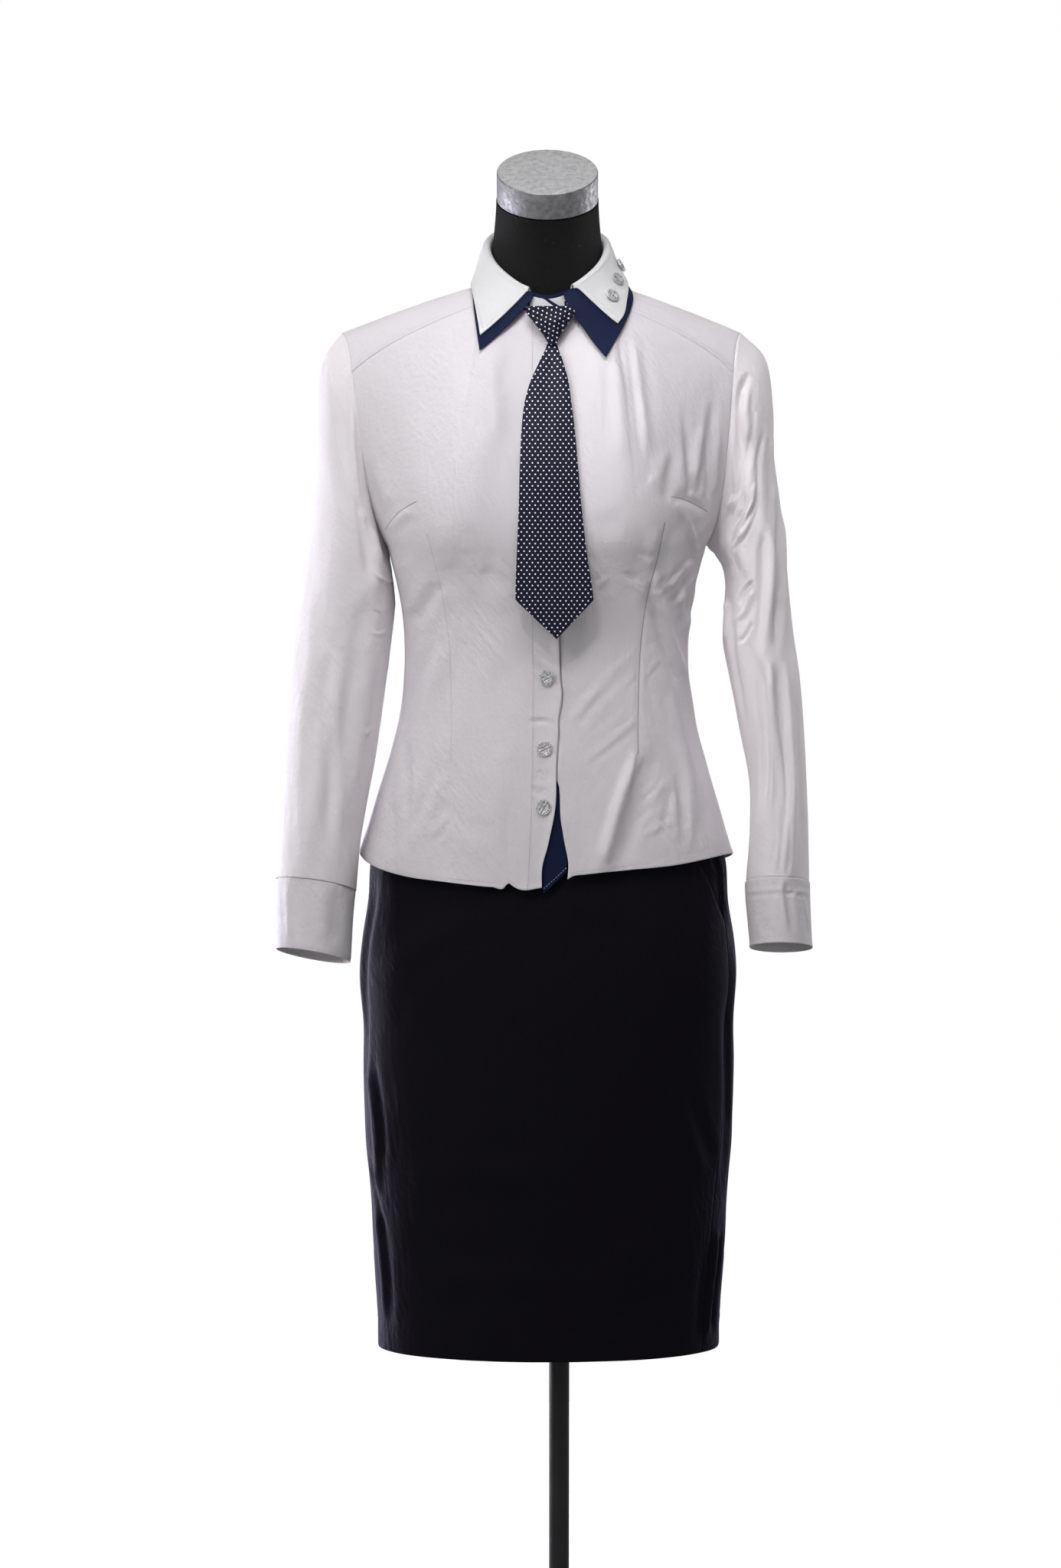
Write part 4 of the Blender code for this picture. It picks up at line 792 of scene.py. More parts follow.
# Creases, darts and folds. Each runs through three places, is a ridge, or a trough where its height is
# negative, and is as wide as given to each side
FRONT_CREASES = table(
    "x0     z0     x1      z1     x2      z2     width   height",
    (-0.141, 1.260, -0.159, 1.249, -0.171, 1.233, 0.0030, -0.0006),
    (-0.142, 1.256, -0.159, 1.244, -0.169, 1.229, 0.006, 0.0012),
    (-0.130, 1.231, -0.123, 1.207, -0.119, 1.189, 0.0030, -0.0006),
    (-0.119, 1.189, -0.112, 1.158, -0.108, 1.123, 0.0030, -0.0004),
    (-0.109, 1.130, -0.106, 1.070, -0.107, 1.006, 0.0030, -0.0002),
    (-0.120, 1.184, -0.129, 1.164, -0.145, 1.138, 0.007, -0.0022),
    (-0.111, 1.183, -0.103, 1.150, -0.098, 1.119, 0.012, 0.0012),
    (-0.156, 1.207, -0.149, 1.179, -0.143, 1.143, 0.012, 0.0014),
    (-0.110, 1.251, -0.113, 1.221, -0.109, 1.194, 0.014, 0.0012),
    (-0.076, 1.199, -0.063, 1.186, -0.045, 1.179, 0.010, -0.0010),
    (-0.091, 1.386, -0.093, 1.330, -0.099, 1.279, 0.010, 0.0009),
    (-0.063, 1.390, -0.061, 1.358, -0.059, 1.317, 0.008, 0.0013),
    (-0.076, 1.397, -0.077, 1.360, -0.076, 1.322, 0.007, -0.0008),
    (-0.142, 1.357, -0.141, 1.312, -0.137, 1.270, 0.009, 0.0007),
    (-0.167, 1.346, -0.164, 1.311, -0.160, 1.263, 0.008, -0.0006),
    (-0.122, 1.369, -0.122, 1.321, -0.119, 1.278, 0.010, -0.0006),
    (-0.048, 1.401, -0.055, 1.386, -0.065, 1.360, 0.006, -0.0009),
    (-0.187, 1.315, -0.178, 1.284, -0.165, 1.254, 0.006, 0.0008),
    (-0.110, 1.125, -0.128, 1.072, -0.158, 0.985, 0.007, 0.0018),
    (-0.122, 1.128, -0.142, 1.080, -0.160, 1.030, 0.006, -0.0015),
    (-0.104, 1.105, -0.110, 1.060, -0.116, 1.020, 0.006, -0.0012),
    (-0.110, 1.002, -0.124, 0.965, -0.136, 0.930, 0.006, 0.0009),
    (-0.118, 1.008, -0.134, 0.968, -0.146, 0.935, 0.005, -0.0007),
    (-0.107, 0.959, -0.120, 0.943, -0.133, 0.933, 0.005, 0.0007),
    (-0.109, 0.951, -0.114, 0.939, -0.122, 0.929, 0.003, -0.0007),
    (-0.151, 1.030, -0.150, 0.990, -0.154, 0.950, 0.005, -0.0012),
    (-0.143, 1.018, -0.141, 0.960, -0.144, 0.915, 0.006, 0.0012),
    (-0.165, 0.965, -0.164, 0.935, -0.167, 0.910, 0.005, -0.0014),
    (-0.090, 1.050, -0.085, 1.000, -0.088, 0.950, 0.012, -0.0008),
    (-0.070, 1.010, -0.062, 0.965, -0.066, 0.920, 0.012, 0.0008),
    (-0.052, 1.110, -0.060, 1.060, -0.058, 1.005, 0.010, -0.0008),
    (0.065, 1.425, 0.072, 1.371, 0.079, 1.299, 0.003, -0.0016),
    (0.069, 1.425, 0.077, 1.368, 0.085, 1.300, 0.006, 0.0022),
    (0.044, 1.401, 0.047, 1.364, 0.047, 1.321, 0.005, -0.0015),
    (0.055, 1.397, 0.057, 1.354, 0.061, 1.300, 0.008, 0.0015),
    (0.031, 1.407, 0.028, 1.365, 0.028, 1.310, 0.009, 0.0010),
    (0.110, 1.266, 0.128, 1.261, 0.143, 1.251, 0.0030, -0.0009),
    (0.108, 1.260, 0.126, 1.251, 0.139, 1.243, 0.006, 0.0012),
    (0.108, 1.266, 0.104, 1.277, 0.112, 1.312, 0.005, -0.0016),
    (0.116, 1.270, 0.120, 1.290, 0.113, 1.320, 0.005, 0.0016),
    (0.128, 1.268, 0.126, 1.294, 0.121, 1.360, 0.004, -0.0018),
    (0.131, 1.277, 0.134, 1.309, 0.140, 1.337, 0.0045, 0.0024),
    (0.145, 1.258, 0.145, 1.307, 0.153, 1.368, 0.005, -0.0022),
    (0.151, 1.264, 0.153, 1.297, 0.157, 1.328, 0.004, 0.0016),
    (0.136, 1.263, 0.135, 1.278, 0.138, 1.298, 0.003, -0.0012),
    (0.140, 1.265, 0.142, 1.278, 0.144, 1.293, 0.003, 0.0013),
    (0.098, 1.312, 0.094, 1.286, 0.090, 1.272, 0.006, 0.0008),
    (0.088, 1.280, 0.090, 1.284, 0.092, 1.286, 0.003, 0.0008),
    (0.102, 1.241, 0.095, 1.208, 0.084, 1.161, 0.0030, -0.0007),
    (0.085, 1.165, 0.077, 1.100, 0.077, 1.016, 0.0030, -0.0006),
    (0.099, 1.238, 0.090, 1.205, 0.080, 1.161, 0.008, 0.0011),
    (0.105, 1.242, 0.101, 1.209, 0.096, 1.189, 0.008, -0.0020),
    (0.119, 1.255, 0.130, 1.228, 0.138, 1.200, 0.0025, 0.0020),
    (0.112, 1.247, 0.124, 1.219, 0.131, 1.196, 0.007, -0.0016),
    (0.091, 1.197, 0.101, 1.149, 0.124, 1.082, 0.0042, 0.0034),
    (0.116, 1.105, 0.130, 1.060, 0.152, 0.960, 0.0045, 0.0026),
    (0.086, 1.176, 0.093, 1.140, 0.107, 1.101, 0.008, -0.0022),
    (0.102, 1.180, 0.111, 1.148, 0.126, 1.106, 0.008, -0.0020),
    (0.138, 1.201, 0.122, 1.195, 0.106, 1.174, 0.0026, 0.0020),
    (0.138, 1.197, 0.122, 1.181, 0.109, 1.160, 0.0026, -0.0016),
    (0.138, 1.193, 0.124, 1.176, 0.114, 1.154, 0.003, 0.0018),
    (0.137, 1.185, 0.129, 1.167, 0.120, 1.138, 0.0035, -0.0018),
    (0.135, 1.179, 0.130, 1.157, 0.123, 1.127, 0.0035, 0.0018),
    (0.154, 1.240, 0.142, 1.224, 0.131, 1.215, 0.004, -0.0018),
    (0.152, 1.234, 0.143, 1.220, 0.134, 1.212, 0.003, 0.0018),
    (0.150, 1.226, 0.141, 1.215, 0.136, 1.204, 0.003, -0.0014),
    (0.048, 1.189, 0.042, 1.185, 0.035, 1.178, 0.003, 0.0008),
    (0.064, 1.195, 0.068, 1.190, 0.080, 1.186, 0.005, -0.0008),
    (0.090, 1.213, 0.086, 1.209, 0.079, 1.215, 0.003, -0.0007),
    (0.031, 1.237, 0.046, 1.241, 0.063, 1.243, 0.010, -0.0009),
    (0.078, 1.018, 0.056, 0.960, 0.042, 0.902, 0.0050, 0.0030),
    (0.088, 1.016, 0.070, 0.960, 0.058, 0.905, 0.0080, -0.0034),
    (0.078, 1.020, 0.073, 0.995, 0.070, 0.975, 0.0025, -0.0022),
    (0.102, 1.075, 0.124, 1.010, 0.134, 0.925, 0.0070, 0.0020),
    (0.112, 1.070, 0.134, 1.005, 0.146, 0.925, 0.0060, -0.0020),
    (0.003, 1.038, 0.036, 1.080, 0.073, 1.116, 0.0040, 0.0004),
    (0.010, 1.034, 0.044, 1.074, 0.074, 1.100, 0.0040, -0.0004),
    (0.015, 1.050, 0.028, 1.067, 0.040, 1.082, 0.0030, 0.0003),
    (0.009, 1.066, 0.030, 1.080, 0.054, 1.086, 0.0035, -0.0004),
    (0.020, 1.004, 0.048, 1.027, 0.075, 1.048, 0.0040, 0.0004),
    (0.024, 1.000, 0.050, 1.021, 0.076, 1.038, 0.0035, -0.0004),
    (0.065, 1.106, 0.070, 1.112, 0.076, 1.118, 0.0025, 0.0004),
    (0.066, 1.078, 0.072, 1.085, 0.077, 1.089, 0.0025, -0.0004),
    (0.064, 1.040, 0.071, 1.045, 0.077, 1.051, 0.0025, 0.0004),
    (0.082, 1.118, 0.094, 1.124, 0.106, 1.128, 0.0030, -0.0006),
    (0.080, 1.088, 0.089, 1.098, 0.098, 1.109, 0.0030, 0.0006),
    (0.073, 0.969, 0.084, 0.978, 0.095, 0.987, 0.0030, 0.0007),
    (0.075, 0.946, 0.085, 0.960, 0.094, 0.973, 0.0030, -0.0008),
    (0.078, 0.933, 0.095, 0.942, 0.113, 0.948, 0.0035, 0.0007),
    (0.117, 1.000, 0.119, 0.965, 0.121, 0.935, 0.0050, -0.0012),
    (-0.024, 1.115, -0.014, 1.108, 0.002, 1.097, 0.0022, -0.0010),
    (-0.024, 1.047, -0.014, 1.048, -0.006, 1.043, 0.0022, -0.0008),
    (-0.024, 1.000, -0.015, 0.996, -0.008, 0.994, 0.0025, -0.0008),
    (-0.026, 0.979, -0.020, 0.975, -0.014, 0.971, 0.0022, -0.0007),
    (0.0979, 1.1655, 0.1107, 1.1273, 0.1249, 1.0793, 0.006, 0.0020),
    (0.0925, 1.1600, 0.1040, 1.1230, 0.1180, 1.0760, 0.006, -0.0018),
    (0.1159, 1.1850, 0.1211, 1.1550, 0.1286, 1.1175, 0.004, 0.0014),
    (0.1200, 1.1900, 0.1262, 1.1650, 0.1330, 1.1350, 0.004, -0.0014),
    (0.0850, 1.1750, 0.0960, 1.1800, 0.1100, 1.1900, 0.004, -0.0008),
    (0.0934, 1.0725, 0.1024, 1.0500, 0.1159, 1.0305, 0.005, 0.0012),
    (0.0985, 1.0700, 0.1080, 1.0480, 0.1200, 1.0290, 0.004, -0.0012),
    (0.0822, 1.0178, 0.0769, 0.9923, 0.0709, 0.9765, 0.0035, -0.0014),
    (0.0859, 0.9600, 0.0949, 0.9750, 0.1054, 0.9885, 0.004, 0.0010),
    (0.0979, 0.9300, 0.1039, 0.9525, 0.1084, 0.9825, 0.004, -0.0011),
    (0.1144, 0.9270, 0.1151, 0.9525, 0.1121, 0.9788, 0.004, 0.0012),
    (0.1211, 0.9375, 0.1204, 0.9600, 0.1174, 0.9825, 0.0035, -0.0011),
    (0.1301, 0.9187, 0.1271, 0.9488, 0.1211, 0.9750, 0.004, 0.0012),
    (-0.1211, 0.9675, -0.0911, 0.9488, -0.0611, 0.9338, 0.010, -0.0010),
    (-0.0476, 0.9000, -0.0521, 0.9300, -0.0574, 0.9600, 0.004, -0.0010),
    (-0.0290, 1.1050, -0.0180, 1.0990, -0.0060, 1.0960, 0.0035, -0.0009),
    (-0.0270, 0.9960, -0.0180, 0.9910, -0.0080, 0.9930, 0.0030, -0.0007),
    (-0.0310, 1.0462, -0.0225, 1.0478, -0.0130, 1.0480, 0.0030, -0.0009),
    (-0.0290, 0.9845, -0.0215, 0.9798, -0.0140, 0.9785, 0.0030, -0.0010),
    (-0.0300, 1.1180, -0.0220, 1.1130, -0.0100, 1.1100, 0.0035, -0.0009),
)

# The darts' sewn lines, each a dent darkened with painted shadow: the face, the axis that each runs along,
# its width and strength, and its places along and across
DARTS = (
    (FRONT, 0, 0.0008, 0.9,
     ((-0.1720, 1.2320), (-0.1660, 1.2410), (-0.1590, 1.2490), (-0.1500, 1.2560), (-0.1400, 1.2615))),
    (FRONT, 2, 0.0007, 0.3,
     ((1.0060, -0.1070), (1.0700, -0.1065), (1.1230, -0.1085), (1.1580, -0.1130), (1.1890, -0.1190),
      (1.2070, -0.1235), (1.2310, -0.1300))),
    (FRONT, 0, 0.0008, 0.9, ((0.1080, 1.2670), (0.1190, 1.2640), (0.1300, 1.2590), (0.1450, 1.2500))),
    (FRONT, 2, 0.0009, 0.9,
     ((1.0150, 0.0765), (1.0700, 0.0770), (1.1200, 0.0790), (1.1610, 0.0840), (1.2080, 0.0950),
      (1.2420, 0.1020))),
    (BACK, 2, 0.0008, 0.7,
     ((0.9850, -0.0820), (1.0500, -0.0785), (1.1300, -0.0760), (1.1900, -0.0765), (1.2700, -0.0800))),
    (BACK, 2, 0.0008, 0.7,
     ((0.9850, 0.0580), (1.0500, 0.0545), (1.1300, 0.0520), (1.1900, 0.0530), (1.2650, 0.0560))),
)

BACK_CREASES = table(
    "x0     z0     x1      z1     x2      z2     width   height",
    (-0.080, 1.270, -0.076, 1.130, -0.082, 0.985, 0.0018, -0.0013),
    (0.056, 1.265, 0.052, 1.130, 0.058, 0.985, 0.0018, -0.0013),
    (-0.080, 1.200, -0.074, 1.130, -0.080, 1.050, 0.010, 0.0012),
    (0.056, 1.200, 0.050, 1.130, 0.056, 1.050, 0.010, 0.0012),
    (-0.150, 1.165, -0.090, 1.120, -0.030, 1.112, 0.006, 0.0026),
    (-0.152, 1.150, -0.095, 1.105, -0.040, 1.098, 0.006, -0.0024),
    (0.128, 1.158, 0.070, 1.118, 0.010, 1.112, 0.006, 0.0024),
    (0.130, 1.143, 0.072, 1.103, 0.015, 1.097, 0.006, -0.0022),
    (-0.145, 1.128, -0.085, 1.082, -0.015, 1.072, 0.005, 0.0020),
    (0.120, 1.122, 0.065, 1.078, 0.000, 1.070, 0.005, 0.0020),
    (-0.060, 1.140, -0.012, 1.132, 0.035, 1.140, 0.007, 0.0016),
    (-0.065, 1.124, -0.012, 1.118, 0.040, 1.126, 0.006, -0.0016),
    (-0.050, 1.098, -0.010, 1.088, 0.035, 1.094, 0.006, 0.0014),
    (-0.170, 1.300, -0.140, 1.240, -0.100, 1.190, 0.007, 0.0022),
    (-0.160, 1.310, -0.125, 1.250, -0.090, 1.200, 0.007, -0.0018),
    (0.145, 1.300, 0.115, 1.240, 0.075, 1.190, 0.007, 0.0020),
    (0.136, 1.312, 0.105, 1.252, 0.066, 1.205, 0.007, -0.0018),
    (-0.172, 1.340, -0.158, 1.290, -0.150, 1.250, 0.006, -0.0016),
    (0.146, 1.345, 0.134, 1.295, 0.126, 1.250, 0.006, -0.0016),
    (-0.050, 1.350, -0.042, 1.290, -0.045, 1.210, 0.014, 0.0010),
    (0.020, 1.350, 0.014, 1.290, 0.020, 1.220, 0.014, 0.0010),
    (-0.110, 1.350, -0.100, 1.300, -0.098, 1.250, 0.012, -0.0008),
    (0.085, 1.350, 0.078, 1.300, 0.076, 1.250, 0.012, -0.0008),
    (-0.100, 1.050, -0.120, 0.980, -0.132, 0.900, 0.008, 0.0024),
    (-0.112, 1.045, -0.136, 0.980, -0.150, 0.900, 0.007, -0.0022),
    (0.078, 1.048, 0.098, 0.980, 0.108, 0.900, 0.008, 0.0024),
    (0.090, 1.040, 0.114, 0.975, 0.126, 0.900, 0.007, -0.0022),
    (-0.040, 1.040, -0.050, 0.970, -0.055, 0.895, 0.012, 0.0018),
    (-0.022, 1.040, -0.028, 0.970, -0.030, 0.890, 0.010, -0.0014),
    (0.024, 1.035, 0.030, 0.965, 0.034, 0.892, 0.012, 0.0016),
    (-0.075, 1.000, -0.080, 0.950, -0.086, 0.900, 0.009, -0.0014),
    (0.055, 1.000, 0.062, 0.950, 0.070, 0.905, 0.009, -0.0014),
    (-0.158, 1.040, -0.162, 0.990, -0.172, 0.930, 0.006, 0.0016),
    (0.136, 1.035, 0.140, 0.985, 0.150, 0.930, 0.006, 0.0016),
)

# Round the right sleeve, outside to front to inside to back, and down it
SLEEVE_CREASES = {
    RIGHT: table(
        "x0     z0     x1      z1     x2      z2     width   height",
        (0.057, 0.007, 0.075, 0.033, 0.078, 0.087, 0.005, -0.0022),
        (0.050, 0.030, 0.056, 0.075, 0.050, 0.150, 0.014, 0.0018),
        (0.081, 0.088, 0.081, 0.126, 0.098, 0.218, 0.005, 0.0020),
        (0.100, 0.070, 0.102, 0.118, 0.099, 0.202, 0.008, -0.0024),
        (0.082, 0.112, 0.088, 0.087, 0.100, 0.070, 0.003, -0.0016),
        (0.129, 0.010, 0.119, 0.090, 0.100, 0.171, 0.007, 0.0024),
        (0.098, 0.171, 0.110, 0.162, 0.136, 0.118, 0.003, -0.0020),
        (0.098, 0.212, 0.102, 0.238, 0.110, 0.236, 0.004, -0.0012),
        (0.049, 0.248, 0.052, 0.293, 0.062, 0.336, 0.009, 0.0016),
        (0.053, 0.173, 0.058, 0.239, 0.072, 0.335, 0.012, -0.0014),
        (0.008, 0.180, 0.025, 0.246, 0.037, 0.324, 0.010, 0.0008),
        (0.062, 0.330, 0.070, 0.420, 0.092, 0.560, 0.006, 0.0018),
        (0.070, 0.340, 0.082, 0.430, 0.104, 0.560, 0.007, -0.0016),
        (0.040, 0.350, 0.046, 0.440, 0.058, 0.570, 0.010, -0.0012),
        (0.102, 0.286, 0.112, 0.292, 0.124, 0.276, 0.003, -0.0010),
        (0.104, 0.412, 0.112, 0.420, 0.122, 0.410, 0.003, -0.0013),
        (0.112, 0.330, 0.118, 0.400, 0.116, 0.500, 0.006, 0.0010),
        (0.105, 0.540, 0.116, 0.555, 0.126, 0.572, 0.004, -0.0014),
        (0.168, 0.020, 0.182, 0.090, 0.178, 0.180, 0.008, 0.0022),
        (0.180, 0.020, 0.196, 0.090, 0.194, 0.180, 0.008, -0.0020),
        (0.215, 0.030, 0.212, 0.110, 0.205, 0.200, 0.010, 0.0018),
        (0.245, 0.060, 0.240, 0.150, 0.232, 0.240, 0.010, -0.0014),
        (0.160, 0.230, 0.185, 0.250, 0.215, 0.240, 0.005, -0.0022),
        (0.160, 0.245, 0.186, 0.266, 0.218, 0.258, 0.005, 0.0020),
        (0.165, 0.275, 0.190, 0.292, 0.222, 0.284, 0.005, -0.0018),
        (0.168, 0.292, 0.192, 0.308, 0.220, 0.302, 0.005, 0.0016),
        (0.185, 0.320, 0.192, 0.420, 0.200, 0.540, 0.008, -0.0020),
        (0.205, 0.330, 0.212, 0.430, 0.218, 0.560, 0.008, 0.0018),
        (0.240, 0.300, 0.246, 0.400, 0.250, 0.520, 0.010, -0.0014),
        (0.160, 0.350, 0.166, 0.450, 0.172, 0.550, 0.008, 0.0012),
    ),
    LEFT: table(
        "x0     z0     x1      z1     x2      z2     width   height",
        (0.037, 0.035, 0.051, 0.016, 0.061, 0.018, 0.004, -0.0026),
        (0.044, 0.037, 0.058, 0.034, 0.069, 0.060, 0.008, 0.0026),
        (0.061, 0.018, 0.072, 0.033, 0.069, 0.082, 0.005, -0.0024),
        (0.073, 0.011, 0.087, 0.031, 0.089, 0.074, 0.006, 0.0022),
        (0.087, 0.079, 0.081, 0.116, 0.098, 0.093, 0.004, -0.0026),
        (0.067, 0.108, 0.067, 0.137, 0.080, 0.132, 0.005, 0.0028),
        (0.108, 0.029, 0.098, 0.058, 0.090, 0.084, 0.0035, 0.0020),
        (0.075, 0.149, 0.083, 0.157, 0.100, 0.135, 0.006, 0.0020),
        (0.099, 0.118, 0.103, 0.165, 0.103, 0.232, 0.006, -0.0018),
        (0.079, 0.257, 0.092, 0.258, 0.102, 0.286, 0.003, -0.0024),
        (0.081, 0.265, 0.089, 0.286, 0.103, 0.308, 0.005, 0.0022),
        (0.083, 0.312, 0.089, 0.328, 0.103, 0.341, 0.003, -0.0020),
        (0.137, 0.259, 0.125, 0.306, 0.133, 0.339, 0.006, 0.0022),
        (0.047, 0.081, 0.059, 0.122, 0.062, 0.190, 0.008, -0.0018),
        (0.027, 0.097, 0.025, 0.149, 0.033, 0.189, 0.007, 0.0020),
        (0.062, 0.190, 0.068, 0.267, 0.076, 0.362, 0.006, -0.0026),
        (0.050, 0.189, 0.057, 0.272, 0.067, 0.363, 0.006, 0.0024),
        (0.016, 0.179, 0.041, 0.251, 0.057, 0.363, 0.006, -0.0024),
        (0.004, 0.201, 0.025, 0.268, 0.045, 0.364, 0.005, 0.0018),
        (0.076, 0.360, 0.088, 0.440, 0.108, 0.520, 0.006, -0.0024),
        (0.067, 0.360, 0.078, 0.440, 0.092, 0.530, 0.006, 0.0022),
        (0.057, 0.360, 0.062, 0.450, 0.070, 0.560, 0.007, -0.0022),
        (0.045, 0.362, 0.050, 0.450, 0.054, 0.560, 0.006, 0.0016),
        (0.110, 0.300, 0.114, 0.360, 0.118, 0.430, 0.005, -0.0016),
        (0.030, 0.400, 0.034, 0.470, 0.036, 0.560, 0.005, -0.0012),
        (0.078, 0.500, 0.076, 0.540, 0.080, 0.575, 0.003, 0.0012),
        (0.060, 0.520, 0.059, 0.550, 0.062, 0.575, 0.003, -0.0012),
        (0.168, 0.020, 0.180, 0.080, 0.176, 0.170, 0.007, 0.0024),
        (0.182, 0.020, 0.194, 0.080, 0.190, 0.170, 0.007, -0.0022),
        (0.212, 0.030, 0.208, 0.110, 0.202, 0.210, 0.009, 0.0020),
        (0.240, 0.050, 0.236, 0.140, 0.226, 0.240, 0.010, -0.0018),
        (0.158, 0.215, 0.186, 0.238, 0.220, 0.230, 0.005, -0.0024),
        (0.160, 0.232, 0.187, 0.255, 0.222, 0.248, 0.005, 0.0022),
        (0.162, 0.262, 0.190, 0.282, 0.224, 0.276, 0.005, -0.0020),
        (0.166, 0.280, 0.192, 0.300, 0.224, 0.294, 0.005, 0.0018),
        (0.182, 0.310, 0.190, 0.410, 0.198, 0.540, 0.008, -0.0022),
        (0.203, 0.320, 0.210, 0.420, 0.216, 0.550, 0.008, 0.0020),
        (0.236, 0.300, 0.244, 0.400, 0.248, 0.530, 0.009, -0.0016),
        (0.262, 0.260, 0.266, 0.380, 0.268, 0.500, 0.010, 0.0012),
    ),
}

CUFF_CREASES = {
    RIGHT: table(
        "x0     z0     x1      z1     x2      z2     width   height",
        (0.050, 0.002, 0.052, 0.040, 0.056, 0.085, 0.005, 0.0008),
        (0.040, 0.002, 0.040, 0.040, 0.045, 0.085, 0.006, -0.0011),
        (0.080, 0.002, 0.084, 0.040, 0.086, 0.085, 0.009, -0.0010),
        (0.100, 0.005, 0.103, 0.040, 0.100, 0.085, 0.010, 0.0008),
        (0.005, 0.030, 0.020, 0.040, 0.034, 0.042, 0.005, -0.0006),
        (0.180, 0.004, 0.184, 0.040, 0.182, 0.085, 0.008, -0.0012),
        (0.215, 0.004, 0.218, 0.040, 0.220, 0.085, 0.009, 0.0010),
        (0.250, 0.004, 0.252, 0.040, 0.250, 0.080, 0.008, -0.0008),
    ),
    LEFT: table(
        "x0     z0     x1      z1     x2      z2     width   height",
        (0.070, 0.002, 0.070, 0.036, 0.064, 0.085, 0.004, 0.0018),
        (0.058, 0.004, 0.060, 0.036, 0.054, 0.085, 0.006, -0.0014),
        (0.140, 0.015, 0.080, 0.017, 0.002, 0.016, 0.003, 0.0006),
        (0.140, 0.022, 0.080, 0.024, 0.002, 0.022, 0.003, -0.0004),
        (0.066, 0.006, 0.060, 0.022, 0.046, 0.010, 0.003, -0.0014),
        (0.030, 0.040, 0.026, 0.060, 0.022, 0.078, 0.002, 0.0012),
        (0.096, 0.030, 0.100, 0.055, 0.098, 0.085, 0.009, -0.0008),
        (0.185, 0.004, 0.182, 0.040, 0.184, 0.085, 0.008, -0.0012),
        (0.220, 0.004, 0.222, 0.040, 0.218, 0.085, 0.009, 0.0010),
    ),
}

BLADE_CREASES = table(
    "x0     z0     x1      z1     x2      z2     width   height",
    (-0.012, 1.408, -0.022, 1.380, -0.028, 1.340, 0.0040, 0.0010),
    (-0.006, 1.408, -0.010, 1.370, -0.014, 1.310, 0.0050, -0.0010),
    (-0.003, 1.408, 0.002, 1.385, 0.006, 1.350, 0.0040, 0.0008),
    (-0.030, 1.300, -0.020, 1.240, -0.024, 1.190, 0.0100, 0.0008),
    (0.012, 1.290, 0.008, 1.230, 0.014, 1.180, 0.0100, -0.0006),
)

KNOT_CREASES = table(
    "x0     z0     x1      z1     x2      z2     width   height",
    (-0.030, 1.448, -0.018, 1.432, -0.009, 1.418, 0.0022, -0.0014),
    (0.012, 1.448, 0.000, 1.432, -0.007, 1.418, 0.0022, -0.0012),
    (-0.024, 1.449, -0.009, 1.436, 0.006, 1.449, 0.0030, 0.0010),
    (-0.018, 1.451, -0.010, 1.444, 0.000, 1.451, 0.0018, -0.0008),
)

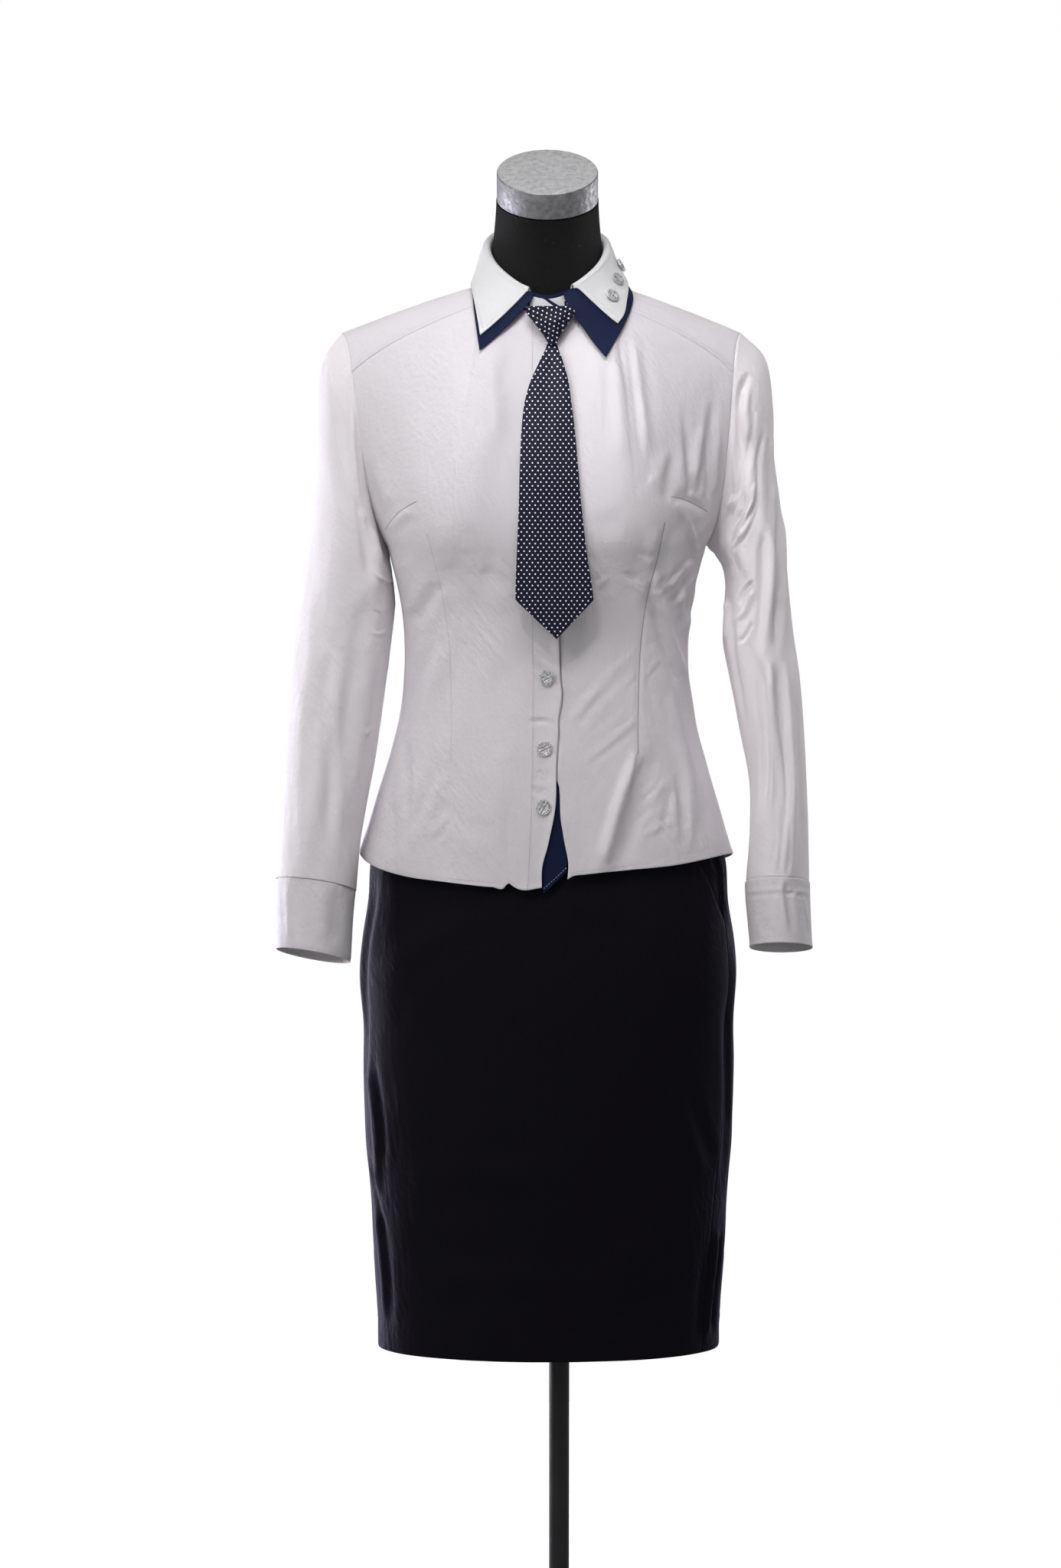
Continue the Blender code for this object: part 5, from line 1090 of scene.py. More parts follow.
# Round the skirt, from its front, and its height
SKIRT_CREASES = table(
    "x0     z0     x1      z1     x2      z2     width   height",
    (-0.235, 1.020, -0.225, 0.880, -0.228, 0.700, 0.010, 0.0018),
    (-0.205, 0.900, -0.208, 0.780, -0.222, 0.640, 0.008, -0.0016),
    (-0.215, 0.700, -0.190, 0.640, -0.200, 0.560, 0.008, 0.0022),
    (-0.195, 0.720, -0.175, 0.650, -0.180, 0.600, 0.007, -0.0016),
    (-0.225, 0.620, -0.200, 0.570, -0.185, 0.520, 0.006, -0.0018),
    (-0.210, 0.560, -0.195, 0.500, -0.200, 0.440, 0.008, 0.0018),
    (-0.190, 0.560, -0.180, 0.500, -0.185, 0.430, 0.009, -0.0014),
    (-0.140, 0.560, -0.080, 0.600, 0.000, 0.585, 0.016, 0.0014),
    (-0.150, 0.530, -0.090, 0.520, -0.030, 0.490, 0.014, -0.0012),
    (-0.120, 0.470, -0.060, 0.500, 0.010, 0.480, 0.014, 0.0012),
    (0.020, 0.470, 0.080, 0.520, 0.150, 0.545, 0.016, 0.0012),
    (0.040, 0.440, 0.090, 0.470, 0.150, 0.480, 0.014, -0.0012),
    (-0.170, 0.790, -0.110, 0.830, -0.060, 0.860, 0.014, 0.0009),
    (0.110, 0.700, 0.130, 0.640, 0.160, 0.590, 0.010, 0.0012),
    (0.125, 0.700, 0.150, 0.640, 0.180, 0.600, 0.009, -0.0012),
    (0.190, 0.780, 0.196, 0.680, 0.200, 0.560, 0.008, -0.0014),
    (0.215, 0.830, 0.210, 0.720, 0.216, 0.620, 0.008, 0.0018),
    (0.195, 0.540, 0.185, 0.480, 0.180, 0.420, 0.008, 0.0026),
    (0.205, 0.540, 0.200, 0.480, 0.198, 0.420, 0.007, -0.0024),
    (0.170, 0.520, 0.166, 0.470, 0.165, 0.420, 0.009, -0.0016),
    (0.185, 0.980, 0.200, 0.900, 0.215, 0.830, 0.006, 0.0016),
    (0.200, 0.990, 0.212, 0.910, 0.224, 0.850, 0.005, -0.0014),
    (-0.060, 0.880, 0.000, 0.865, 0.070, 0.885, 0.018, 0.0010),
    (0.300, 0.900, 0.330, 0.780, 0.320, 0.640, 0.012, 0.0016),
    (0.330, 0.880, 0.360, 0.780, 0.350, 0.650, 0.012, -0.0014),
    (-0.300, 0.900, -0.330, 0.780, -0.320, 0.640, 0.012, 0.0016),
    (-0.340, 0.880, -0.360, 0.760, -0.350, 0.620, 0.012, -0.0014),
    (0.290, 0.600, 0.350, 0.560, 0.420, 0.570, 0.014, 0.0014),
    (0.300, 0.570, 0.360, 0.530, 0.420, 0.540, 0.012, -0.0012),
    (-0.290, 0.590, -0.350, 0.550, -0.410, 0.560, 0.014, 0.0014),
    (0.380, 0.860, 0.440, 0.840, -0.480, 0.850, 0.016, 0.0000),
    (-0.450, 0.900, -0.400, 0.880, -0.350, 0.890, 0.014, 0.0012),
    (0.260, 0.520, 0.256, 0.470, 0.262, 0.420, 0.009, 0.0018),
    (-0.262, 0.520, -0.258, 0.470, -0.264, 0.420, 0.009, 0.0018),
)


def hermite(start, start_slope, end, end_slope, share):
    """The cubic between two values with the slopes given there."""
    rest = 1 - share
    return (
        start * rest**2 * (1 + 2 * share)
        + start_slope * share * rest**2
        + end * share**2 * (3 - 2 * share)
        - end_slope * share**2 * rest
    )


def through(rows, key, column, at):
    """A smooth curve through a column of a table, over another column that rises row by row."""
    knots, values = rows[key], rows[column]
    slopes = np.gradient(values, knots)
    at = np.clip(at, knots[0], knots[-1])
    row = np.clip(np.searchsorted(knots, at) - 1, 0, len(knots) - 2)
    step = knots[row + 1] - knots[row]
    return hermite(
        values[row],
        slopes[row] * step,
        values[row + 1],
        slopes[row + 1] * step,
        (at - knots[row]) / step,
    )


def smooth(share):
    """A soft step from 0 to 1."""
    share = np.clip(share, 0, 1)
    return share**2 * (3 - 2 * share)


def signed_power(value, power):
    """A power of the size of a number, with its sign kept."""
    return np.sign(value) * np.abs(value) ** power


def stacked(x, y, z):
    """Points from their three places, which may be arrays or single numbers."""
    return np.stack(np.broadcast_arrays(x, y, z), axis=-1)


def folded(folds, x, z):
    """How far a table's folds lift the cloth at x and z."""
    lift = np.zeros(np.broadcast_shapes(np.shape(x), np.shape(z)))
    for x0, z0, x1, z1, width, height in zip(*folds.values()):
        length = math.hypot(x1 - x0, z1 - z0)
        along = ((x - x0) * (x1 - x0) + (z - z0) * (z1 - z0)) / length**2
        aside = ((x - x0) * (z1 - z0) - (z - z0) * (x1 - x0)) / length
        start, end = ((way + FOLD_FADE) / (2 * FOLD_FADE) for way in (along, 1 - along))
        ends = smooth(start) * smooth(end)
        lift = lift + height * ends * np.exp(-((aside / width) ** 2))
    return lift


def body_depth(face):
    return "front" if face == FRONT else "back"


def bust(x, z):
    """How far the bust of a general figure lifts the front."""
    fall = np.where(z > BUST_Z, BUST_RISE, BUST_FALL)
    up = np.exp(-(((z - BUST_Z) / fall) ** 2))
    across = sum(np.exp(-(((x - side * BUST_X) / BUST_WIDTH) ** 2)) for side in (RIGHT, LEFT))
    return BUST_LIFT * up * across


def trunk(sections, face, s, z):
    """A point of the trunk at height z. s runs from -1 to 1 between the side seams."""
    angle = s * math.pi / 2
    x = through(sections, "z", "half_width", z) * np.sin(angle)
    depth = through(sections, "z", body_depth(face), z)
    y = -face * depth * signed_power(np.cos(angle), BODY_POWER[face])
    if face == FRONT:
        y = y - bust(x, z) * np.sqrt(np.abs(np.cos(angle)))
    return stacked(through(sections, "z", "x", z) + x, y, z)


def top_line(face, s):
    """The neckline between the neck's sides, and the shoulder line outside them."""
    side = np.where(s < 0, RIGHT, LEFT)
    neck = np.clip(np.abs(s) / NECK_SIDE, 0, 1) * math.pi / 2
    out = np.maximum(np.abs(s) - NECK_SIDE, 0) / (1 - NECK_SIDE)
    shoulder = (SHOULDER_HALF_WIDTH - NECKLINE_HALF_WIDTH) * out
    x = NECK_X + (SHOULDER_X - NECK_X) * out + side * (NECKLINE_HALF_WIDTH * np.sin(neck) + shoulder)
    y = NECKLINE_Y + SHOULDER_BACK * out - face * NECKLINE_DEPTH[face] * np.cos(neck)
    z = NECKLINE_SIDE_Z + (NECKLINE_Z[face] - NECKLINE_SIDE_Z) * np.cos(neck)
    return stacked(x, y, z - SHOULDER_DROP * out**SHOULDER_BEND)


def chest(face, s, t):
    """The body above the underarm: t is 0 there and 1 on the neckline and the shoulder line."""
    side = np.where(s < 0, RIGHT, LEFT)
    level = np.full_like(s, UNDERARM_Z)
    bottom = trunk(BLOUSE_SECTIONS, face, s, level)
    rise = (bottom - trunk(BLOUSE_SECTIONS, face, s, level - DIFFERENCE)) / DIFFERENCE * CHEST_RISE
    edge = np.abs(s) ** ARM_EDGE_POWER
    out_rise, deep_rise, low_rise = ARM_EDGE_RISE
    rise = rise + stacked(out_rise * side * edge, -deep_rise * face * edge, -low_rise * edge)
    neck = 1 - smooth(np.abs(s) / NECK_SIDE)
    out = np.maximum(np.abs(s) - NECK_SIDE, 0) / (1 - NECK_SIDE)
    shoulder_over = OVER_SHOULDER + (OVER_SHOULDER_TIP - OVER_SHOULDER) * out
    back_over = shoulder_over * (1 - neck) + OVER_NECK * neck
    over = stacked(OVER_TIP_OUT * side * out**2, face * back_over, OVER_NECK_UP * neck)
    return hermite(bottom, rise, top_line(face, s), over, t[..., None])


def torso(face, s, t):
    """The blouse's plain surface: t is -1 at the hem, 0 at the underarm and 1 at the top."""
    s, t = np.broadcast_arrays(np.asarray(s, float), np.asarray(t, float))
    hem = through(BLOUSE_HEM, "s", body_depth(face), s)
    z = UNDERARM_Z + np.minimum(t, 0) * (UNDERARM_Z - hem)
    low = trunk(BLOUSE_SECTIONS, face, s, z)
    return np.where(t[..., None] < 0, low, chest(face, s, np.maximum(t, 0)))


def blouse(face, s, t):
    """The blouse's surface with its broad folds, which are in front."""
    points = torso(face, s, t)
    if face == BACK:
        return points
    below = np.maximum(-np.broadcast_to(t, points.shape[:-1]) - 1 + HEM_LIFT_REACH, 0) / HEM_LIFT_REACH
    points[..., 2] += through(HEM_LIFTS, "x", "lift", points[..., 0]) * np.minimum(below, 1) ** 2
    facing = np.sqrt(np.abs(np.cos(np.broadcast_to(s, points.shape[:-1]) * math.pi / 2)))
    lift = facing * folded(BLOUSE_FOLDS, points[..., 0], points[..., 2])
    return points - stacked(0, lift, 0)


def form(face, s, t):
    """The form's surface: its own sections below the underarm, and just inside the cloth above."""
    s, t = np.broadcast_arrays(np.asarray(s, float), np.asarray(t, float))
    z = UNDERARM_Z + np.minimum(t, 0) * (UNDERARM_Z - FORM_BOTTOM_Z)
    low = trunk(FORM_SECTIONS, face, s, z)
    up = np.maximum(t, 0)
    ease = 1 - smooth(up / YOKE_AT_NECK) * smooth((np.abs(s) - NECK_SIDE) / NECK_SIDE)
    inside = BLOUSE_WALL + FORM_GAP + FORM_EASE * ease
    normals = [outward(partial(torso, side), side, s, up) for side in (face, -face)]
    shoulder = (np.abs(s) > NECK_SIDE - WELD) * smooth(1 - (1 - up) / SHOULDER_BLEND)
    normal = normals[0] + normals[1] * shoulder[..., None]
    normal = normal / np.linalg.norm(normal, axis=-1, keepdims=True)
    high = torso(face, s, up) - inside[..., None] * normal
    angle = s / NECK_SIDE * math.pi / 2
    drawn = (np.abs(s) < NECK_SIDE + WELD) * smooth((up - YOKE_AT_NECK) / (1 - YOKE_AT_NECK))
    drawn = NECK_INSET * drawn
    high = high + stacked(-drawn * np.sin(angle), face * drawn * np.cos(angle), 0)
    return np.where(t[..., None] <= 0, low, high)


def form_neck(face, s, h):
    """The form's neck, from the blouse's neckline up to the cap, on which it leans forward."""
    s, h = np.broadcast_arrays(np.asarray(s, float), np.asarray(h, float))
    angle = s / NECK_SIDE * math.pi / 2
    forward = face * NECK_TOP_HALF_DEPTH * np.cos(angle)
    x, y, z = NECK_TOP
    top = stacked(
        x + NECK_TOP_HALF_WIDTH * np.sin(angle),
        y - forward * math.cos(NECK_TILT),
        z - forward * math.sin(NECK_TILT),
    )
    bottom = form(face, s, np.ones_like(s))
    start = stacked(-NECK_DRAW * np.sin(angle), face * NECK_DRAW * np.cos(angle), NECK_RISE)
    end = stacked(0, -NECK_RISE * math.sin(NECK_TILT), NECK_RISE * math.cos(NECK_TILT))
    return hermite(bottom, start, top, end, h[..., None])


def armhole(side, turn):
    """The loop where a sleeve joins: turn 0 is the shoulder tip, 90 the front, 180 the underarm."""
    turn = np.mod(turn, 360.0)
    across = np.full_like(turn, side)
    front = torso(FRONT, across, np.abs(1 - turn / 180))
    back = torso(BACK, across, np.abs(turn / 180 - 1))
    loop = np.where((turn <= 180)[..., None], front, back)
    return loop + stacked(side * SLEEVE_OUT, 0, 0)


def sleeve_ring(side, turn, row):
    """A sleeve's own rings, before they are drawn to the armhole."""
    rows = dict(SLEEVES[side])
    rows["row"] = np.arange(len(rows["outer_x"]), dtype=float)
    ring_at = {name: through(rows, "row", name, row) for name in rows}
    angle = np.radians(turn)
    reach = (1 + np.cos(angle)) / 2
    x = ring_at["inner_x"] + (ring_at["outer_x"] - ring_at["inner_x"]) * reach
    z = ring_at["inner_z"] + (ring_at["outer_z"] - ring_at["inner_z"]) * reach
    back = -ring_at["half_depth"] * np.sin(angle)
    z = z - CUFF_LEAN * back * smooth((row - LEAN_FROM_ROW) / (CUFF_ROW - LEAN_FROM_ROW))
    around = np.mod(turn, 360.0) / 360.0 * SLEEVE_ROUND
    lift = folded(SLEEVE_FOLDS, around, row * SLEEVE_ROW_LENGTH)
    lift = lift * smooth(row) * smooth(CUFF_ROW + 0.5 - row)
    y = ring_at["centre_y"] + back - lift * np.sin(angle)
    return stacked(x + side * lift * np.cos(angle), y, z)


def sleeve(side, turn, row):
    """A sleeve and its cuff, from the armhole at row 0 down to the cuff's edge."""
    turn, row = np.broadcast_arrays(np.asarray(turn, float), np.asarray(row, float))
    pull = armhole(side, turn) - sleeve_ring(side, turn, np.zeros_like(row))
    return sleeve_ring(side, turn, row) + pull * (1 - smooth(row / ARMHOLE_REACH))[..., None]


def skirt(turn, z):
    """The skirt's outer surface: turn 0 is the front, 90 the wearer's left and 180 the back."""
    turn, z = np.broadcast_arrays(np.asarray(turn, float), np.asarray(z, float))
    angle = np.radians(turn)
    cosine = np.cos(angle)
    x = SKIRT_X + through(SKIRT_SECTIONS, "z", "half_width", z) * np.sin(angle)
    front, back = (
        through(SKIRT_SECTIONS, "z", body_depth(face), z) * signed_power(cosine, BODY_POWER[face])
        for face in (FRONT, BACK)
    )
    y = -np.where(cosine > 0, front, back)
    lift = folded(SKIRT_FOLDS, x, z) * np.clip(np.cos(angle), 0, 1)
    return stacked(x, y - lift, z)


def neck_ring(phi, grow, z):
    """A point round the neck at the radius of the stand's top edge, moved out by grow."""
    angle = np.radians(phi)
    width, front, back = (radius + grow for radius in STAND_TOP_RADIUS)
    depth = np.where(np.cos(angle) > 0, front, back)
    return stacked(NECK_X + width * np.sin(angle), NECKLINE_Y - depth * np.cos(angle), z)


def stand_height(phi):
    """The stand's lower and upper edge. Its outer end drops where it crosses the inner one."""
    around = np.mod(phi + 180, 360) - 180
    cosine = np.cos(np.radians(around))
    middle = np.where(cosine > 0, NECKLINE_Z[FRONT], NECKLINE_Z[BACK])
    base = NECKLINE_SIDE_Z + (middle - NECKLINE_SIDE_Z) * np.abs(cosine) + STAND_CLEARANCE
    top = through(STAND_TOP, "phi", "z", around)
    end = (phi - STAND_END_FROM) / (STAND_TO - STAND_END_FROM)
    return base, top - STAND_END_DROP * np.clip(end, 0, 1)


def stand(phi, share, grow=0.0):
    """The collar stand, wound once round the neck so that its outer end lies on its inner one."""
    phi, share = np.broadcast_arrays(np.asarray(phi, float), np.asarray(share, float))
    base, top = stand_height(phi)
    wound = STAND_OVERLAP * smooth((phi - STAND_OVERLAP_FROM) / STAND_OVERLAP_TURN)
    out = grow + wound + STAND_BASE_GROW * (1 - share)
    return neck_ring(phi, out, base + (top - base) * share)


def leaf(phi, share):
    """The outer side of the collar's leaves.

    share is 0 on the fold and 1 on the navy leaf's edge. Below 0 it is the white leaf's hook over the
    stand, which ends inside it at -1.
    """
    phi, share = np.broadcast_arrays(np.asarray(phi, float), np.asarray(share, float))
    top = stand_height(np.minimum(phi, LEAF_EDGE["phi"][-1]))[1]
    turn = np.pi * np.clip(-2 * share, 0, 1)
    down = HOOK_HEIGHT * np.clip(-2 * share - 1, 0, 1)
    out = FOLD_CENTRE + FOLD_RADIUS * np.cos(turn)
    hook = neck_ring(phi, out, top + FOLD_RADIUS * np.sin(turn) - down)
    fold = neck_ring(phi, FOLD_CENTRE + FOLD_RADIUS, top)
    edge = stacked(*(through(LEAF_EDGE, "phi", axis, phi) for axis in "xyz"))
    start = neck_ring(phi, FOLD_CENTRE + FOLD_RADIUS + LEAF_START_OUT, top - LEAF_START_DOWN) - fold
    end = (edge - fold) * stacked(1, 1, LEAF_END_FALL)
    fallen = hermite(fold, start, edge, end, np.maximum(share, 0)[..., None])
    return np.where(share[..., None] < 0, hook, fallen)


def tie_blade(across, z):
    """The blade's front: across runs from -1 to 1, and both its sides slant in to the tip."""
    across, z = np.broadcast_arrays(np.asarray(across, float), np.asarray(z, float))
    x, half_width, y = (through(BLADE_SECTIONS, "z", name, z) for name in ("x", "half_width", "y"))
    return stacked(x + across * half_width, y + TIE_BEND * across**2, z)


def outward(surface, hand, first, second):
    """Unit normals of a surface; hand is 1 or -1, for the side that faces out."""
    first, second = np.broadcast_arrays(np.asarray(first, float), np.asarray(second, float))
    one = surface(first + DIFFERENCE, second) - surface(first - DIFFERENCE, second)
    two = surface(first, second + DIFFERENCE) - surface(first, second - DIFFERENCE)
    normal = hand * np.cross(one, two)
    return normal / np.linalg.norm(normal, axis=-1, keepdims=True)


def across_at(x, rows):
    """The place across the front of x at each row. Above the underarm it stays the same."""
    z = UNDERARM_Z + np.minimum(rows, 0) * (UNDERARM_Z - FRONT_EDGES["z"][0])
    x = through(FRONT_EDGES, "z", x, z) if isinstance(x, str) else x
    from_centre = x - through(BLOUSE_SECTIONS, "z", "x", z)
    half_width = through(BLOUSE_SECTIONS, "z", "half_width", z)
    return np.arcsin(from_centre / half_width) / (math.pi / 2)


def knot(turn, z):
    turn, z = np.broadcast_arrays(np.asarray(turn, float), np.asarray(z, float))
    angle = np.radians(turn)
    x, y, half_width, half_depth = (
        through(KNOT_SECTIONS, "z", name, z) for name in ("x", "y", "half_width", "half_depth")
    )
    return stacked(x + half_width * np.sin(angle), y - half_depth * np.cos(angle), z)


def seam_turn(name, z):
    return np.interp(z, SKIRT_SEAMS["z"], SKIRT_SEAMS[name])


def value_noise(u, v, size, seed):
    """A smooth unevenness from -1 to 1, with bumps of about the given size."""
    lattice = np.random.default_rng(seed).uniform(-1, 1, (NOISE_CELLS, NOISE_CELLS))
    u, v = u / size, v / size
    column, row = np.floor(u).astype(int), np.floor(v).astype(int)
    across, up = smooth(u - column), smooth(v - row)
    corner = [
        [lattice[(column + i) % NOISE_CELLS, (row + j) % NOISE_CELLS] for j in (0, 1)] for i in (0, 1)
    ]
    low = corner[0][0] * (1 - across) + corner[1][0] * across
    high = corner[0][1] * (1 - across) + corner[1][1] * across
    return low * (1 - up) + high * up


def creased(creases, x, z):
    """How far a table's creases lift the cloth at x and z. Each runs through its three places."""
    lift = np.zeros(x.shape)
    share = np.linspace(0, 1, CREASE_STEPS + 1)
    weights = (1 - share) * (1 - 2 * share), 4 * share * (1 - share), share * (2 * share - 1)
    for x0, z0, x1, z1, x2, z2, width, height in zip(*creases.values()):
        line = np.stack([weights[0] * a + weights[1] * b + weights[2] * c
                         for a, b, c in ((x0, x1, x2), (z0, z1, z2))])
        reach = CREASE_REACH * width
        near = np.ones(x.shape, bool)
        for place, run in ((x, line[0]), (z, line[1])):
            near &= (place > run.min() - reach) & (place < run.max() + reach)
        points = np.stack([x[near], z[near]])[:, None]
        starts, steps = line[:, :-1, None], np.diff(line)[:, :, None]
        local = np.clip(((points - starts) * steps).sum(0) / (steps**2).sum(0), 0, 1)
        aside = ((points - starts - local * steps) ** 2).sum(0)
        segment = aside.argmin(0)
        every = np.arange(segment.size)
        along = (segment + local[segment, every]) / CREASE_STEPS
        away = np.sqrt(aside[segment, every]) / width
        beside = np.exp(-(((away - CREASE_SIDE_AT) / CREASE_SIDE_WIDTH) ** 2))
        ridge = np.exp(-(away**2)) - CREASE_SIDE * beside
        ends = smooth(along / CREASE_FADE) * smooth((1 - along) / CREASE_FADE)
        lift[near] += height * ridge * ends
    return lift


def spaced(start, end, length, step, ends=(True, True)):
    """Places from start to end, a step apart over the length, and one just inside each free end."""
    share = np.linspace(0, 1, max(round(length / step), 2) + 1)
    near = EDGE_SAMPLE / length
    extra = [place for place, free in zip((near, 1 - near), ends) if free]
    return start + (end - start) * np.sort(np.concatenate([share, extra]))


def sheet_of(surface, hand, first, second, relief=None, lift=0.0, chart=None):
    """A patch of cloth: its plain points, normals, lift, hand and UV chart in metres."""
    first, second = np.asarray(first, float), np.asarray(second, float)
    first = first[:, None] if first.ndim == 1 else first
    second = second[None, :] if second.ndim == 1 else second
    first, second = np.broadcast_arrays(first, second)
    points, normals = surface(first, second), outward(surface, hand, first, second)
    raised = np.broadcast_to(lift, first.shape).astype(float)
    if relief is not None:
        raised = raised + relief(first, second, points)
    if chart is not None:
        uv = np.stack(np.broadcast_arrays(*chart(first, second, points)), axis=-1)
    else:
        uv = np.zeros((*first.shape, 2))
        for axis in (0, 1):
            length = np.linalg.norm(np.diff(points, axis=axis), axis=-1)
            uv[..., axis][(slice(1, None), slice(None))[:: 1 - 2 * axis]] = np.cumsum(length, axis=axis)
    return points, normals, raised, hand, uv


def welded(patches):
    """Patches with equal points welded: points, normals, lifts, faces and each face's UVs."""
    faces, charts, start = [], [], 0
    for points, _, _, hand, uv in patches:
        rows, columns = points.shape[:2]
        number = start + np.arange(rows * columns).reshape(rows, columns)
        quads = np.stack([number[:-1, :-1], number[1:, :-1], number[1:, 1:], number[:-1, 1:]], -1)
        quads = quads.reshape(-1, 4)
        faces.append(quads if hand > 0 else quads[:, ::-1])
        charts.append(uv.reshape(-1, 2))
        start += rows * columns
    plain = np.concatenate([patch[0].reshape(-1, 3) for patch in patches])
    normals = np.concatenate([patch[1].reshape(-1, 3) for patch in patches])
    lifts = np.concatenate([patch[2].reshape(-1) for patch in patches])
    faces, charts = np.concatenate(faces), np.concatenate(charts)
    _, kept, weld = np.unique(np.round(plain / WELD), axis=0, return_index=True, return_inverse=True)
    weld = weld.reshape(-1)
    count = np.bincount(weld)
    lifts = np.bincount(weld, lifts) / count
    normals = np.stack([np.bincount(weld, normals[:, axis]) for axis in range(3)], axis=-1)
    normals = normals / np.linalg.norm(normals, axis=-1, keepdims=True)
    return plain[kept], normals, lifts, weld[faces], charts[faces]


def open_edges(faces):
    """The edges that only one face has, each in the direction of its face."""
    edges = np.concatenate([np.stack([faces[:, n], faces[:, (n + 1) % 4]], -1) for n in range(4)])
    edges = edges[edges[:, 0] != edges[:, 1]]
    _, first, count = np.unique(np.sort(edges, axis=1), axis=0, return_index=True, return_counts=True)
    return edges[first[count == 1]]


def add_mesh(name, material, points, faces, charts=None):
    """A smooth-shaded piece. A face may name a point twice, which makes it a triangle."""
    sides = faces != np.roll(faces, 1, axis=1)
    sizes = sides.sum(1)
    whole = sizes > 2
    sides[~whole] = False
    mesh = bpy.data.meshes.new(name)
    mesh.vertices.add(len(points))
    mesh.vertices.foreach_set("co", np.asarray(points, np.float32).ravel())
    corners = faces[sides]
    mesh.loops.add(len(corners))
    mesh.loops.foreach_set("vertex_index", corners.astype(np.int32))
    starts = np.concatenate([[0], np.cumsum(sizes[whole])[:-1]])
    mesh.polygons.add(len(starts))
    mesh.polygons.foreach_set("loop_start", starts.astype(np.int32))
    if charts is not None:
        layer = mesh.uv_layers.new(name="chart")
        layer.uv.foreach_set("vector", charts[sides].astype(np.float32).ravel())
    mesh.update(calc_edges=True)
    mesh.validate()
    mesh.shade_smooth()
    mesh.materials.append(material)
    piece = bpy.data.objects.new(name, mesh)
    bpy.context.scene.collection.objects.link(piece)
    return piece


def placed(piece, slot, *nodes):
    """Hands a piece over: it stands for CAD nodes, or for none where it only lies on them."""
    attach(piece, BODY)
    if nodes:
        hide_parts(*nodes)
    return piece


def shell(name, finish, patches, wall, roll=EDGE_ROLL):
    """A closed thin wall of cloth, whose edges roll in."""
    points, normals, lifts, faces, charts = welded(patches)
    edges = open_edges(faces)
    inward, meeting = np.zeros_like(points), np.zeros(len(points))
    for corner in edges.T:
        direction = np.cross(normals[corner], points[edges[:, 1]] - points[edges[:, 0]])
        direction /= np.linalg.norm(direction, axis=1, keepdims=True)
        np.add.at(inward, corner, direction)
        np.add.at(meeting, corner, 1)
    rim = meeting > 0
    squared = (inward[rim] ** 2).sum(1) / meeting[rim]
    points[rim] += SEAM_INSET * inward[rim] / np.maximum(squared, 2 / INSET_LIMIT**2)[:, None]
    outer = points + lifts[:, None] * normals
    inner = outer - wall * normals
    outer[rim] -= roll * normals[rim]
    inner[rim] += roll / 2 * normals[rim]
    count = len(points)
    rims = np.stack([edges[:, 1], edges[:, 0], edges[:, 0] + count, edges[:, 1] + count], -1)
    every = np.concatenate([faces, faces[:, ::-1] + count, rims])
    chart_of = np.zeros((count, 2))
    chart_of[faces.ravel()] = charts.reshape(-1, 2)
    rim_charts = chart_of[rims % count]
    every_chart = np.concatenate([charts, charts[:, ::-1], rim_charts])
    return add_mesh(name, finish, np.concatenate([outer, inner]), every, every_chart)


def cloth(name, finish, slot, patches, wall=SHELL_WALL, roll=EDGE_ROLL):
    """A piece of cloth that stands for its CAD node."""
    piece = placed(shell(name + "_cloth", finish, patches, wall, roll), slot, name)
    return piece


def turned_mesh(name, finish, profile, steps, placing=Matrix(), stretch=1.0, relief=None):
    """A turned piece from its profile of radii and heights, which starts and ends on the axis."""
    radii, heights = np.array(profile, float).T
    angle = np.linspace(0, math.tau, steps + 1)[:-1]
    cosine, sine = np.cos(angle)[:, None], np.sin(angle)[:, None]
    points = stacked(cosine * radii, sine * radii * stretch, heights)
    cut = 0 * points[..., 2]
    if relief is not None:
        cut = relief(*np.moveaxis(points, -1, 0)) * (heights > 0)
        points[..., 2] += cut
    points[:, 0] = points[0, 0]
    points[:, -1] = points[0, -1]
    rotation = np.array(placing.to_3x3())
    points = points @ rotation.T + np.array(placing.translation)
    number = np.arange(points[..., 0].size).reshape(points.shape[:2])
    number[:, 0] = number[0, 0]
    number[:, -1] = number[0, -1]
    after = np.roll(number, -1, axis=0)
    faces = np.stack([number[:, :-1], number[:, 1:], after[:, 1:], after[:, :-1]], -1)[..., ::-1]
    lengths = np.concatenate([[0], np.cumsum(np.hypot(np.diff(radii), np.diff(heights)))])
    around = np.arange(steps + 1) * math.tau / steps * radii.max()
    u = np.stack([around[:-1], around[:-1], around[1:], around[1:]], -1)[:, None]
    v = np.stack([lengths[:-1], lengths[1:], lengths[1:], lengths[:-1]], -1)[None]
    charts = np.stack(np.broadcast_arrays(u, v), -1)[..., ::-1, :]
    piece = add_mesh(name, finish, points.reshape(-1, 3), faces.reshape(-1, 4), charts.reshape(-1, 4, 2))
    piece.data.set_sharp_from_angle(angle=SHARP_ANGLE)
    depth = piece.data.attributes.new("cut", "FLOAT", "POINT")
    depth.data.foreach_set("value", np.clip(-cut.ravel() / GROOVE_DEPTH, 0, 1).astype(np.float32))
    return piece


